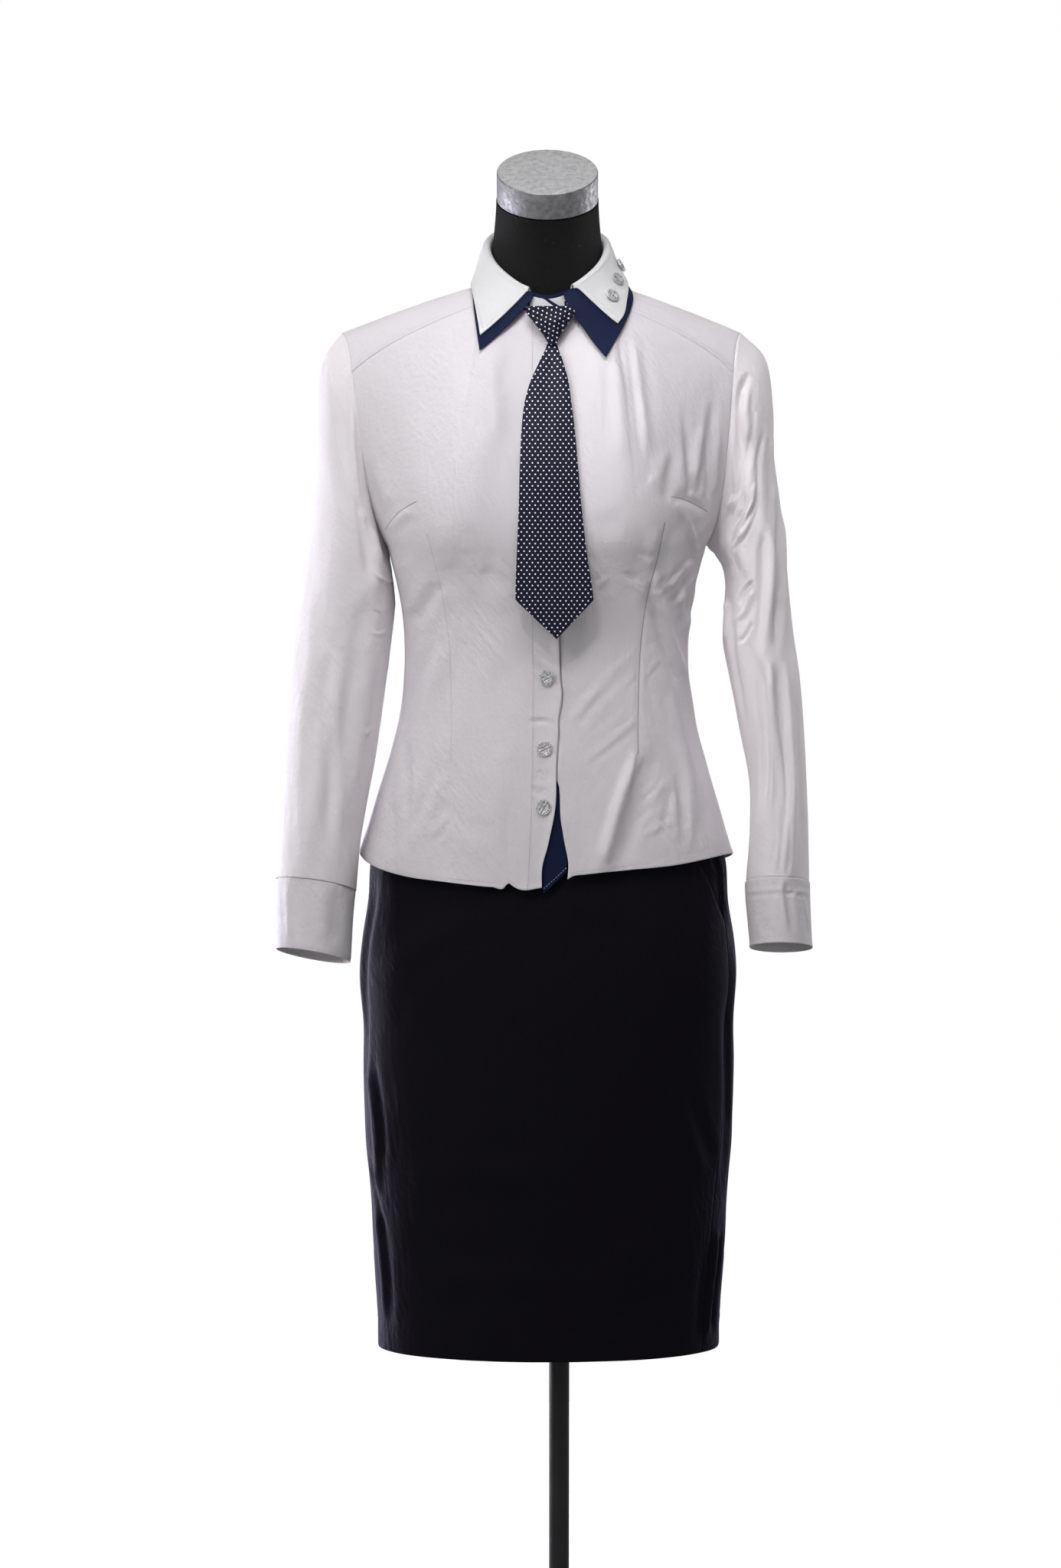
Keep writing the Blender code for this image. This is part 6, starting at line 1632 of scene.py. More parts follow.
def stitched(name, finish, slot, runs, length=STITCH_LENGTH, pitch=STITCH_PITCH, radius=STITCH_RADIUS):
    """Rows of stitches, each a small bead that lies along its run of points and normals."""
    beads = []
    for points, normals in runs:
        steps = np.linalg.norm(np.diff(points, axis=0), axis=1)
        along = np.concatenate([[0], np.cumsum(steps)])
        count = max(int(along[-1] / pitch), 1)
        middle = (np.arange(count) + 0.5) * along[-1] / count
        ends = [np.stack([np.interp(middle + way * length / 2, along, points[:, n]) for n in range(3)], -1)
                for way in (-1, 1)]
        up = np.stack([np.interp(middle, along, normals[:, n]) for n in range(3)], -1)
        side = np.cross(up, ends[1] - ends[0])
        side /= np.maximum(np.linalg.norm(side, axis=1, keepdims=True), WELD)
        centre = (ends[0] + ends[1]) / 2
        low = ends[0] - up * radius / 2, ends[1] - up * radius / 2
        shoulders = [
            centre + (end - centre) * STITCH_SHOULDER + radius * (side * out + up * high)
            for end in ends for out, high in ((-1, 0), (0, 1), (1, 0))
        ]
        beads.append(np.stack([low[0], *shoulders[:3], low[1], *shoulders[3:]], axis=1))
    points = np.concatenate(beads).reshape(-1, 3)
    one = np.array(STITCH_FACES)
    faces = (one[None] + 8 * np.arange(len(points) // 8)[:, None, None]).reshape(-1, 4)
    return placed(add_mesh(name, finish, points, faces), slot)


def line_on(surface, hand, first, second, relief=None, lift=0.0):
    """A run of points and normals on a surface, lifted with its relief."""
    first, second = np.broadcast_arrays(np.asarray(first, float), np.asarray(second, float))
    points, normals = surface(first, second), outward(surface, hand, first, second)
    raised = lift + (relief(first, second, points) if relief is not None else 0.0)
    return points + np.asarray(raised)[..., None] * normals, normals


def feed(tree, socket, value):
    """Links a socket to this one, or sets its value."""
    if isinstance(value, bpy.types.NodeSocket):
        tree.links.new(value, socket)
    else:
        socket.default_value = value


def node(tree, kind, settings=None, **inputs):
    """Adds a shader node. A setting is a property, and an input is a value or another socket."""
    made = tree.nodes.new(kind)
    for name, value in (settings or {}).items():
        setattr(made, name, value)
    for name, value in inputs.items():
        feed(tree, made.inputs[name.replace("_", " ")], value)
    return made


def chart_places(tree):
    """The places of a piece's UV chart in metres, whole and as parts."""
    chart = node(tree, "ShaderNodeUVMap", {"uv_map": "chart"}).outputs[0]
    return chart, node(tree, "ShaderNodeSeparateXYZ", Vector=chart).outputs


def real_places(tree):
    return node(tree, "ShaderNodeTexCoord").outputs["Object"]


def cells_of(tree, place, scale):
    """A value from 0 to 1 for each cell of a broken surface."""
    cells = node(tree, "ShaderNodeTexVoronoi", Vector=place, Scale=scale).outputs["Color"]
    return node(tree, "ShaderNodeSeparateXYZ", Vector=cells).outputs[0]


def ranged(tree, value, limits):
    """A value's share of the way between two limits, from 0 to 1."""
    low, high = limits
    return node(tree, "ShaderNodeMapRange", Value=value, From_Min=low, From_Max=high).outputs[0]


def math_of(tree, operation, first, second=0.0, third=0.0):
    """The result of a Math node."""
    made = tree.nodes.new("ShaderNodeMath")
    made.operation = operation
    for socket, value in zip(made.inputs, (first, second, third)):
        feed(tree, socket, value)
    return made.outputs[0]


def noise_of(tree, place, scale, detail=2.0, stretch=(1, 1, 1)):
    """The value of a noise texture over stretched places."""
    moved = node(tree, "ShaderNodeMapping", Vector=place, Scale=stretch).outputs[0]
    return node(tree, "ShaderNodeTexNoise", Vector=moved, Scale=scale, Detail=detail).outputs[0]


def mixed(tree, share, first, second):
    """A colour between two colours."""
    made = node(tree, "ShaderNodeMix", {"data_type": "RGBA"})
    for socket, value in ((made.inputs[0], share), (made.inputs[6], first), (made.inputs[7], second)):
        feed(tree, socket, value)
    return made.outputs[2]


def new_material(name, roughness, metallic=0.0, **sockets):
    """A material with a Principled shader: its tree, its shader and its places in metres."""
    material = bpy.data.materials.new(name)
    material.use_nodes = True
    tree = material.node_tree
    shader = tree.nodes["Principled BSDF"]
    shader.inputs["Roughness"].default_value = roughness
    shader.inputs["Metallic"].default_value = metallic
    for socket, value in sockets.items():
        shader.inputs[socket.replace("_", " ")].default_value = value
    return material, tree, shader


def bumps(tree, shader, *heights):
    """Chained bumps, each a height from 0 to 1 and its real depth."""
    normal = None
    for height, depth in heights:
        bump = node(tree, "ShaderNodeBump", Height=height, Distance=depth)
        if normal is not None:
            tree.links.new(normal, bump.inputs["Normal"])
        normal = bump.outputs[0]
    tree.links.new(normal, shader.inputs["Normal"])


def shade(colour, factor):
    """A colour made darker or brighter, with its alpha."""
    return (*(min(channel * factor, 1.0) for channel in colour), 1.0)


def shades(tree, share, colour, limits):
    """A colour between two of its shades."""
    return mixed(tree, share, *(shade(colour, factor) for factor in limits))


def coloured(tree, shader, colour):
    tree.links.new(colour, shader.inputs["Base Color"])


def cut_depth(tree):
    """How deep a button is engraved at each place, from 0 to 1."""
    return node(tree, "ShaderNodeAttribute", {"attribute_name": "cut"}).outputs["Fac"]


def woven(name, colour, thread, roughness, depth, mottle, slant=0.0, sheen=0.0, sheen_tint=(1, 1, 1),
          gloss=0.5, wrinkles=0.0, seams=()):
    """Plain weave, or twill where slant is not 0, with uneven threads and a faintly uneven colour, and
    painted shadow along the seams it is given.
    """
    material, tree, shader = new_material(
        name, roughness, Sheen_Weight=sheen, Sheen_Roughness=SHEEN_ROUGHNESS, Sheen_Tint=(*sheen_tint, 1),
        Specular_IOR_Level=gloss)
    chart, parts = chart_places(tree)
    place = real_places(tree)
    turn = math.tau / thread
    warp = math_of(tree, "SINE", math_of(tree, "MULTIPLY", parts[0], turn))
    weft_place = math_of(tree, "MULTIPLY_ADD", parts[0], slant, parts[1])
    weft = math_of(tree, "SINE", math_of(tree, "MULTIPLY", weft_place, turn))
    crossing = math_of(tree, "MULTIPLY", warp, weft) if slant == 0 else weft
    weave = math_of(tree, "MULTIPLY_ADD", crossing, 0.5, 0.5)
    slubs = math_of(tree, "ADD", *(noise_of(tree, chart, SLUB_SCALE, 3.0, way) for way in SLUB_STRETCHES))
    rumple = noise_of(tree, place, RUMPLE_SCALE, 3.0)
    heights = [(rumple, depth * RUMPLE_SHARE), (slubs, depth), (weave, depth * WEAVE_SHARE)]
    if wrinkles:
        heights += [(wrinkled(tree, place, *row), wrinkles) for row in WRINKLES]
    if seams:
        line = seam_line(tree, place, seams)
        heights.append((math_of(tree, "SUBTRACT", 1.0, line), SEAM_DEPTH))
    bumps(tree, shader, *heights)
    patches = noise_of(tree, place, PATCH_SCALE, 3.0)
    uneven = math_of(tree, "MULTIPLY_ADD", slubs, SLUB_COLOUR, patches)
    share = math_of(tree, "MULTIPLY_ADD", uneven, PATCH_CONTRAST, -0.5 - SLUB_COLOUR)
    clamped = node(tree, "ShaderNodeClamp", Value=share).outputs[0]
    tinted = shades(tree, clamped, colour, (1 - mottle, 1 + mottle))
    # Along the seams the colour is darkened as painted shadow
    if seams:
        dark = math_of(tree, "MULTIPLY", line, SEAM_PAINTED_SHADOW)
        tinted = mixed(tree, dark, tinted, shade(colour, SEAM_SHADOW_TONE))
    coloured(tree, shader, tinted)
    return material, tree, shader, tinted


def wrinkled(tree, place, turn, scale, stretch):
    """Slanting wrinkles, stronger in some places than in others."""
    turned = node(tree, "ShaderNodeMapping", Vector=place, Rotation=(0, turn, 0)).outputs[0]
    fine = noise_of(tree, turned, scale, 3.0, stretch)
    ridges = math_of(tree, "ABSOLUTE", math_of(tree, "MULTIPLY_ADD", fine, 2.0, -1.0))
    here = ranged(tree, noise_of(tree, place, scale / WRINKLE_PATCH), WRINKLE_SHOWS)
    return math_of(tree, "MULTIPLY", ridges, here)


def seam_line(tree, place, seams):
    """How near each place is to a sewn line, from 0 to 1. A line runs along x or z over one face."""
    parts = node(tree, "ShaderNodeSeparateXYZ", Vector=place).outputs
    nearest = 0.0
    for face, along, width, strength, line in seams:
        first, last = line[0][0], line[-1][0]
        share = node(tree, "ShaderNodeMapRange", {"clamp": False}, Value=parts[along], From_Min=first,
                     From_Max=last).outputs[0]
        low = min(across for _, across in line)
        span = max(across for _, across in line) - low
        curve = tree.nodes.new("ShaderNodeFloatCurve")
        points = curve.mapping.curves[0].points
        for _ in line[2:]:
            points.new(0.5, 0.5)
        for point, (where, across) in zip(points, line):
            point.location = (where - first) / (last - first), (across - low) / span
        curve.mapping.update()
        tree.links.new(share, curve.inputs["Value"])
        across = math_of(tree, "MULTIPLY_ADD", curve.outputs[0], span, low)
        slope = (line[-1][1] - line[0][1]) / (last - first)
        away = math_of(tree, "ABSOLUTE", math_of(tree, "SUBTRACT", parts[2 - along], across))
        away = math_of(tree, "MULTIPLY", away, 1 / math.hypot(1, slope))
        past = math_of(tree, "ABSOLUTE", math_of(tree, "SUBTRACT", share, 0.5))
        past = math_of(tree, "MAXIMUM", math_of(tree, "SUBTRACT", past, 0.5), 0.0)
        other = math_of(tree, "MAXIMUM", math_of(tree, "MULTIPLY", parts[1], float(face)), 0.0)
        away = math_of(tree, "ADD", away, math_of(tree, "ADD", past, other))
        here = node(tree, "ShaderNodeMapRange", {"interpolation_type": "SMOOTHSTEP"}, Value=away,
                    From_Min=width, From_Max=0.0, To_Max=strength).outputs[0]
        nearest = math_of(tree, "MAXIMUM", here, nearest)
    return nearest


def placket_line():
    """The painted shadow line beside the placket's free edge, as a row of DARTS."""
    z = np.linspace(*PLACKET_LINE_ENDS, PLACKET_LINE_STEPS)
    x = through(FRONT_EDGES, "z", "placket", z) + through(PLACKET_WAVES, "z", "out", z)
    places = tuple(zip(z.tolist(), (x + PLACKET_LINE_WIDTH).tolist()))
    return FRONT, 2, PLACKET_LINE_WIDTH, 1.0, places


def make_finishes():
    """Every material by its slot's name."""
    finishes = {
        "tie_cloth": dotted(),
        "form_jersey": jersey(),
        "galvanised_cap": galvanised(),
        "black_metal": black_metal(),
        "silver_buttons": silver(),
        "clear_buttons": clear(),
    }
    for name, (*values, extras) in WOVEN.items():
        # The blouse cloth gets painted shadow along its darts and beside the placket's free edge
        seams = DARTS + (placket_line(),) if name == "blouse_cloth" else ()
        finishes[name] = woven(name, *values, **extras, seams=seams)[0]
    return finishes


def dotted():
    """Satin with small white dots on staggered rows."""
    material, tree, shader, ground = woven("tie_cloth", TIE_CLOTH, 0.0004, 0.45, 0.00004, 0.1, sheen=0.03,
                                           gloss=0.12)
    chart, parts = chart_places(tree)
    row = math_of(tree, "DIVIDE", parts[1], DOT_ROWS)
    odd = math_of(tree, "FLOORED_MODULO", math_of(tree, "FLOOR", row), 2.0)
    offset = math_of(tree, "MULTIPLY", odd, 0.5)
    column = math_of(tree, "ADD", math_of(tree, "DIVIDE", parts[0], DOT_PITCH), offset)
    away = [
        math_of(tree, "MULTIPLY", math_of(tree, "SUBTRACT", math_of(tree, "FRACT", place), 0.5), size)
        for place, size in ((column, DOT_PITCH), (row, DOT_ROWS))
    ]
    squares = [math_of(tree, "MULTIPLY", part, part) for part in away]
    distance = math_of(tree, "SQRT", math_of(tree, "ADD", *squares))
    wobble = math_of(tree, "MULTIPLY_ADD", noise_of(tree, chart, DOT_NOISE), DOT_WOBBLE, distance)
    edge = math_of(tree, "MULTIPLY_ADD", math_of(tree, "SUBTRACT", wobble, DOT_RADIUS), -1 / DOT_SOFT, 0.5)
    dot = node(tree, "ShaderNodeClamp", Value=edge).outputs[0]
    coloured(tree, shader, mixed(tree, dot, ground, (*DOT_WHITE, 1)))
    return material


def jersey():
    """A fine knit with faint ribs and a little lint."""
    material, tree, shader = new_material(
        "form_jersey", 0.85, Sheen_Weight=0.05, Sheen_Roughness=SHEEN_ROUGHNESS, Specular_IOR_Level=0.1
    )
    chart, parts = chart_places(tree)
    rib, loops = (
        math_of(tree, "SINE", math_of(tree, "MULTIPLY", part, math.tau / pitch))
        for part, pitch in zip(parts, (RIB_PITCH, LOOP_PITCH))
    )
    knit = math_of(tree, "MULTIPLY_ADD", math_of(tree, "MULTIPLY_ADD", loops, LOOP_SHARE, rib), 0.4, 0.5)
    fuzz = noise_of(tree, chart, FUZZ_SCALE, 3.0)
    bumps(tree, shader, (fuzz, FUZZ_DEPTH), (knit, KNIT_DEPTH))
    specks = ranged(tree, noise_of(tree, chart, LINT_SCALE, 1.0), LINT_SHOWS)
    coloured(tree, shader, mixed(tree, specks, shades(tree, fuzz, JERSEY, (0.6, 1.5)), (*LINT_COLOUR, 1)))
    return material


def galvanised():
    """Zinc with its mottled spangle, rougher where it is darker, with painted light on its upward faces
    and painted shade on its sides.
    """
    material, tree, shader = new_material("galvanised_cap", 0.4, 0.9)
    place = real_places(tree)
    flake = cells_of(tree, place, SPANGLE_SCALE)
    cloudy = math_of(tree, "MULTIPLY_ADD", noise_of(tree, place, CLOUD_SCALE, 9.0), *CLOUD_CONTRAST)
    clouds = math_of(tree, "MULTIPLY", cloudy, 1 - SPANGLE_SHARE)
    both = math_of(tree, "MULTIPLY_ADD", flake, SPANGLE_SHARE, clouds)
    both = node(tree, "ShaderNodeClamp", Value=both).outputs[0]
    # Painted light and shade: faces turned up get a lighter colour, the sides a darker one
    normal = node(tree, "ShaderNodeNewGeometry").outputs["Normal"]
    painted_light_upward = ranged(tree, node(tree, "ShaderNodeSeparateXYZ", Vector=normal).outputs[2], CAP_PAINTED_LIGHT_FACING)
    painted_shade_side, bright = (shades(tree, both, GALVANISED, limits) for limits in (CAP_SIDE_PAINTED_SHADE, CAP_TOP_PAINTED_LIGHT))
    coloured(tree, shader, mixed(tree, painted_light_upward, painted_shade_side, bright))
    tree.links.new(math_of(tree, "MULTIPLY_ADD", both, -0.16, 0.62), shader.inputs["Roughness"])
    scratches = noise_of(tree, place, SCRATCH_SCALE, 4.0, (1, 1, 0.15))
    bumps(tree, shader, (cloudy, CLOUD_DEPTH), (scratches, SCRATCH_DEPTH))
    return material


def black_metal():
    """Satin black paint over steel, slightly orange-peeled."""
    material, tree, shader = new_material("black_metal", 0.42, 0.0, Specular_IOR_Level=0.25)
    place = real_places(tree)
    wear = noise_of(tree, place, PAINT_WEAR_SCALE, 5.0)
    coloured(tree, shader, shades(tree, wear, BLACK_METAL, (0.7, 1.5)))
    tree.links.new(math_of(tree, "MULTIPLY_ADD", wear, 0.2, 0.3), shader.inputs["Roughness"])
    bumps(tree, shader, (noise_of(tree, place, PEEL_SCALE, 3.0), PEEL_DEPTH))
    return material


def silver():
    """Worn bright metal, with painted shade in its engraved lines."""
    material, tree, shader = new_material("silver_buttons", 0.28, 0.6)
    place = real_places(tree)
    wear = noise_of(tree, place, BUTTON_WEAR_SCALE, 4.0)
    bare = shades(tree, ranged(tree, wear, BUTTON_WEAR_SHOWS), SILVER, (0.62, 1.1))
    # Painted shade: the engraved lines are coloured almost black
    coloured(tree, shader, mixed(tree, cut_depth(tree), bare, shade(SILVER, 0.06)))
    tree.links.new(math_of(tree, "MULTIPLY_ADD", wear, 0.25, 0.16), shader.inputs["Roughness"])
    scale, depth = BUTTON_GRAIN
    bumps(tree, shader, (noise_of(tree, place, scale, 2.0, (1, 1, 6)), depth))
    return material


def clear():
    """Cut glass: faces in cells of painted glints, between cut lines of painted shade."""
    material, tree, shader = new_material("clear_buttons", 0.08, 0.0, IOR=1.5, Transmission_Weight=0.3)
    painted_glint_cells = cells_of(tree, real_places(tree), GLINT_CELL_SCALE)
    # Painted glints: cells of lighter and darker colour over the faces; painted shade: the cut lines are
    # coloured almost black
    bright = shades(tree, painted_glint_cells, CRYSTAL, (0.62, 1.25))
    coloured(tree, shader, mixed(tree, cut_depth(tree), bright, shade(CRYSTAL, 0.08)))
    tree.links.new(math_of(tree, "MULTIPLY_ADD", painted_glint_cells, 0.25, 0.03), shader.inputs["Roughness"])
    bumps(tree, shader, (painted_glint_cells, GLINT_CELL_DEPTH))
    return material


def hem_band(distance, depth=HEM_DEPTH):
    """A folded edge: proud of the cloth up to its stitching, along which it dips."""
    fold = HEM_RISE * (1 - smooth((distance - depth) / HEM_SOFT + 0.5))
    return fold - STITCH_DIP * np.exp(-(((distance - depth) / DIP_WIDTH) ** 2))


def hem_of(face, s):
    return through(BLOUSE_HEM, "s", body_depth(face), s)


def rumpled(u, v, kind, height=RUMPLE_LIFT):
    """Slight unevenness over two scales, of a kind from RUMPLES."""
    size, stretch, seed = RUMPLES[kind]
    v = v / stretch
    fine = value_noise(u, v, size / RUMPLE_FINER, seed + 1)
    return height * (value_noise(u, v, size, seed) + 0.5 * fine)


def yoke_seam(s):
    """The row of the yoke's front seam, which falls from the neck's side to the armhole."""
    out = np.clip((np.abs(s) - NECK_SIDE) / (1 - NECK_SIDE), 0, 1)
    return YOKE_AT_NECK + (YOKE_AT_ARMHOLE - YOKE_AT_NECK) * out


def body_relief(face, s, t, points):
    """The creases, seams and hem of the blouse's body."""
    x, z = points[..., 0], points[..., 2]
    lift = creased(FRONT_CREASES if face == FRONT else BACK_CREASES, x, z)
    lift = lift + rumpled(x, z, body_depth(face))
    edge = smooth((1 - np.abs(s)) / SIDE_SEAM_FADE)
    lift = lift * (CALM_AT_SIDE + (1 - CALM_AT_SIDE) * edge)
    if face == FRONT:
        above = (t - yoke_seam(s)) * CHEST_LENGTH
        side = np.abs(s) > NECK_SIDE - WELD
    else:
        above = (t - YOKE_AT_BACK) * BACK_LENGTH
        side = np.ones(np.shape(s), bool)
    near_top = 1 - smooth((above + SEAM_CALM) / SEAM_CALM)
    lift = lift * np.where(above > -SEAM_CALM, CALM_AT_YOKE + (1 - CALM_AT_YOKE) * near_top, 1)
    sewn = 1 - smooth((above - YOKE_STITCH) / HEM_SOFT + 0.5)
    topstitch = YOKE_RISE * smooth(above / YOKE_EDGE + 0.5) * sewn
    lift = lift + topstitch * side
    below = z - hem_of(face, s)
    hem = hem_band(below) * (t < 0)
    waves = HEM_WAVE * value_noise(x, 0 * x, HEM_WAVE_SIZE, SEEDS["hem"])
    return lift + hem + waves * np.exp(-below / HEM_WAVE_REACH)


def front_levels(s):
    """The rows of the fronts by column, and the row of the yoke's seam."""
    seam = yoke_seam(s)[..., None]
    below = spaced(-1, 0, BODY_LENGTH, FRONT_STEP, (True, False))
    chest_rows = spaced(0, 1, CHEST_LENGTH * YOKE_AT_NECK, FRONT_STEP, (False, True))[1:]
    yoke_rows = spaced(0, 1, YOKE_LENGTH, YOKE_STEP)[1:]
    levels = np.concatenate(
        [below + 0 * seam, seam * chest_rows, seam + (1 - seam) * yoke_rows], axis=-1
    )
    return levels, len(below) + len(chest_rows) - 1


def band_places(rows, share):
    """The places of the button band, which narrows to a slanting end between the parted fronts."""
    low = np.where(rows < 0, rows * (BAND_LENGTH + BAND_SLANT * (0.5 - share)), rows)
    narrow = smooth((BAND_NARROW_FROM - low) / (BAND_NARROW_FROM + 1))
    left, right = (across_at(x, np.minimum(rows, 0) * BAND_LENGTH) for x in BAND_X)
    width = right - left
    left = left + width * BAND_NARROW[0] * narrow
    right = right - width * BAND_NARROW[1] * narrow
    return left * (1 - share) + right * share, low


def side_columns(side, step):
    if side == LEFT:
        return spaced(NECK_SIDE, 1, SIDE_LENGTH, step, (False, True))
    return spaced(-1, -NECK_SIDE, SIDE_LENGTH, step, (True, False))


def between(first, second, share):
    return first * (1 - share) + second * share


def body_sheet(face, columns, rows, lift=0.0):
    """A patch of the blouse's body with its creases."""
    return sheet_of(partial(blouse, face), face, columns, rows, partial(body_relief, face), lift)


def make_fronts(finishes):
    """Both fronts, the placket on the right one and the navy band behind it."""
    white = finishes["blouse_cloth"]
    levels, yoke_row = front_levels(np.zeros(1))
    rows = levels[0]
    seam, placket, edge = (across_at(name, rows) for name in ("seam", "placket", "left"))
    height = UNDERARM_Z + np.minimum(rows, 0) * (UNDERARM_Z - FRONT_EDGES["z"][0])
    covered = smooth((height - PARTING_Z) / PARTING_SOFT)
    hidden_edge = between(edge, placket - UNDERLAP, covered)
    sides = {}
    for side in (RIGHT, LEFT):
        columns = side_columns(side, FRONT_STEP)
        sides[side] = body_sheet(FRONT, columns, front_levels(columns)[0][:, : yoke_row + 1])
    neck_side = np.full_like(rows, NECK_SIDE)
    share = spaced(0, 1, MIDDLE_LENGTH, FRONT_STEP, (False, True))[:, None]
    middle = body_sheet(FRONT, between(-neck_side, seam, share), rows)
    cloth("blouse_front_right", white, "blouse_cloth", [sides[RIGHT], middle])
    share = spaced(0, 1, MIDDLE_LENGTH, FRONT_STEP, (True, False))[:, None]
    columns = between(hidden_edge, neck_side, share)
    under = (1 - smooth((columns - placket + UNDERLAP_EASE) / UNDERLAP_SOFT)) * covered
    middle = body_sheet(FRONT, columns, rows, -UNDERLAP_DEPTH * under)
    cloth("blouse_front_left", white, "blouse_cloth", [middle, sides[LEFT]])
    half_width = through(BLOUSE_SECTIONS, "z", "half_width", height)
    wavy = placket + through(PLACKET_WAVES, "z", "out", height) / half_width / (math.pi / 2)
    share = spaced(0, 1, BAND_WIDTH, PLACKET_STEP, (True, True))[:, None]
    free = smooth((share - PLACKET_FLAT) / (1 - PLACKET_FLAT))
    raised = through(PLACKET_WAVES, "z", "rise", height) * free
    band = body_sheet(FRONT, between(seam, wavy, share), rows, PLACKET_RISE + raised)
    cloth("placket", white, "blouse_cloth", [band])
    under_band = body_sheet(FRONT, *band_places(rows, share), -BAND_DEPTH)
    cloth("button_band", finishes["navy_trim"], "navy_trim", [under_band])


def make_back(finishes):
    """The back, and the yoke that comes over both shoulders down to its seam in front."""
    white = finishes["blouse_cloth"]
    columns = np.concatenate([
        side_columns(RIGHT, BACK_STEP),
        spaced(-NECK_SIDE, NECK_SIDE, 2 * MIDDLE_LENGTH, BACK_STEP, (False, False))[1:-1],
        side_columns(LEFT, BACK_STEP),
    ])
    below = spaced(-1, 0, BODY_LENGTH, BACK_STEP, (True, False))
    above = spaced(0, YOKE_AT_BACK, BACK_LENGTH * YOKE_AT_BACK, BACK_STEP, (False, True))[1:]
    back = body_sheet(BACK, columns, np.concatenate([below, above]))
    cloth("blouse_back", white, "blouse_cloth", [back])
    flaps = []
    for side in (RIGHT, LEFT):
        side_places = side_columns(side, BACK_STEP)
        levels, yoke_row = front_levels(side_places)
        flaps.append(body_sheet(FRONT, side_places, levels[:, yoke_row:]))
    top = spaced(YOKE_AT_BACK, 1, BACK_LENGTH * (1 - YOKE_AT_BACK), YOKE_STEP)
    yoke = body_sheet(BACK, columns, top)
    cloth("yoke", white, "blouse_cloth", [*flaps, yoke])


def round_sleeve(turn):
    """The way round a sleeve in metres."""
    return np.mod(turn, 360.0) / 360.0 * SLEEVE_ROUND


def creased_round(creases, around, down):
    """The lift of creases that may run over the line where a sleeve's turns start."""
    return creased(creases, around, down) + creased(creases, around - SLEEVE_ROUND, down)


def pinched(around, reach):
    """0 on the line where a sleeve's turns start, and 1 away from it."""
    return smooth(around / reach) * smooth((SLEEVE_ROUND - around) / reach)


def sleeve_relief(side, turn, row, _):
    """A sleeve's creases, by the way round it and down it, calm at its seams."""
    around, down = round_sleeve(turn), row * SLEEVE_ROW_LENGTH
    lift = creased_round(SLEEVE_CREASES[side], around, down)
    wave = rumpled(around, down, "sleeve_right" if side == RIGHT else "sleeve_left")
    pinch = pinched(around, SLEEVE_PINCH)
    puckers = CAP_PUCKER * value_noise(around, 0 * down, CAP_PUCKER_SIZE, SEEDS["pucker"])
    puckers = puckers * np.exp(-down / CAP_PUCKER_REACH) * smooth(down / CAP_PUCKER_START)
    reach, least = SLEEVE_CALM
    calm = smooth(down / reach) * (1 - least) + least
    seam = SLEEVE_SEAM_RISE * smooth(down / SLEEVE_SEAM_START) * np.exp(-((down / SLEEVE_SEAM_WIDTH) ** 2))
    return SLEEVE_GAIN[side] * lift * calm + (wave + puckers) * pinch + seam


def tucked(patch, side):
    """A sleeve whose first ring goes in under the edge of the body."""
    ring = patch[0][:, 0]
    patch[0][:, 0] = ring + (ring.mean(0) - ring) * TUCK_SHARE - (side * TUCK, 0, 0)
    return patch


def cuff_relief(side, turn, row, _):
    """A cuff's creases, its proud top edge and its hem."""
    around, down = round_sleeve(turn), (row - CUFF_ROW) * SLEEVE_ROW_LENGTH
    lift = creased_round(CUFF_CREASES[side], around, down)
    up = (CUFF_LAST_ROW - row) * SLEEVE_ROW_LENGTH * CUFF_SHRINK
    wave = rumpled(around, down, "cuff", RUMPLE_LIFT / 2)
    ticks = CUFF_TICK * value_noise(around, 0 * down, CUFF_TICK_SIZE, SEEDS["tick"])
    ticks = ticks * np.exp(-down / CUFF_TICK_REACH) * smooth(down / CUFF_TICK_START)
    return lift + (wave + ticks) * pinched(around, CUFF_PINCH) + hem_band(up, CUFF_HEM)


def make_sleeves(finishes):
    # The sleeves take a lighter white than the body, as painted glow of light through the cloth
    white = finishes["sleeve_cloth"]
    for side, name in ((RIGHT, "right"), (LEFT, "left")):
        surface = partial(sleeve, side)
        around = np.linspace(0, 360, round(SLEEVE_ROUND / SLEEVE_STEP) + 1)
        rows = spaced(0, CUFF_ROW, SLEEVE_LENGTH, SLEEVE_STEP)
        arm = tucked(sheet_of(surface, 1, around, rows, partial(sleeve_relief, side)), side)
        cloth("sleeve_" + name, white, "blouse_cloth", [arm])
        rows = spaced(CUFF_ROW, CUFF_LAST_ROW, CUFF_LENGTH, CUFF_STEP)
        cuff = sheet_of(surface, 1, around, rows, partial(cuff_relief, side), CUFF_PROUD)
        cloth("cuff_" + name, finishes["blouse_cloth"], "blouse_cloth", [cuff])


def wedge(_, y, z):
    """How far the neck cap's top rises towards the back."""
    return CAP_WEDGE * (y + NECK_TOP_HALF_DEPTH) * z / CAP_HEIGHT


def closed(patches, split, flat, relief=False):
    """Welded patches whose open ends, above and below the height split, are closed by fans.

    flat names the two axes that a fan's chart is laid out on.
    """
    points, normals, lifts, faces, charts = welded(patches)
    if relief:
        points = points + lifts[:, None] * normals
    edges = open_edges(faces)
    high = points[edges[:, 0], 2] > split
    fans = []
    for chosen in (high, ~high):
        loop = edges[chosen]
        centre = len(points)
        points = np.concatenate([points, points[loop[:, 0]].mean(0)[None]])
        fans.append(np.stack([loop[:, 1], loop[:, 0], *[np.full(len(loop), centre)] * 2], -1))
    fans = np.concatenate(fans)
    return points, np.concatenate([faces, fans]), np.concatenate([charts, points[fans][..., flat]])


def arc(radius, height, size, start, end):
    """The places of a round edge of a profile, about a centre at radius and height."""
    turns = np.linspace(start, end, ROUND_EDGE_STEPS)
    return [(radius + size * math.cos(turn), height + size * math.sin(turn)) for turn in turns]


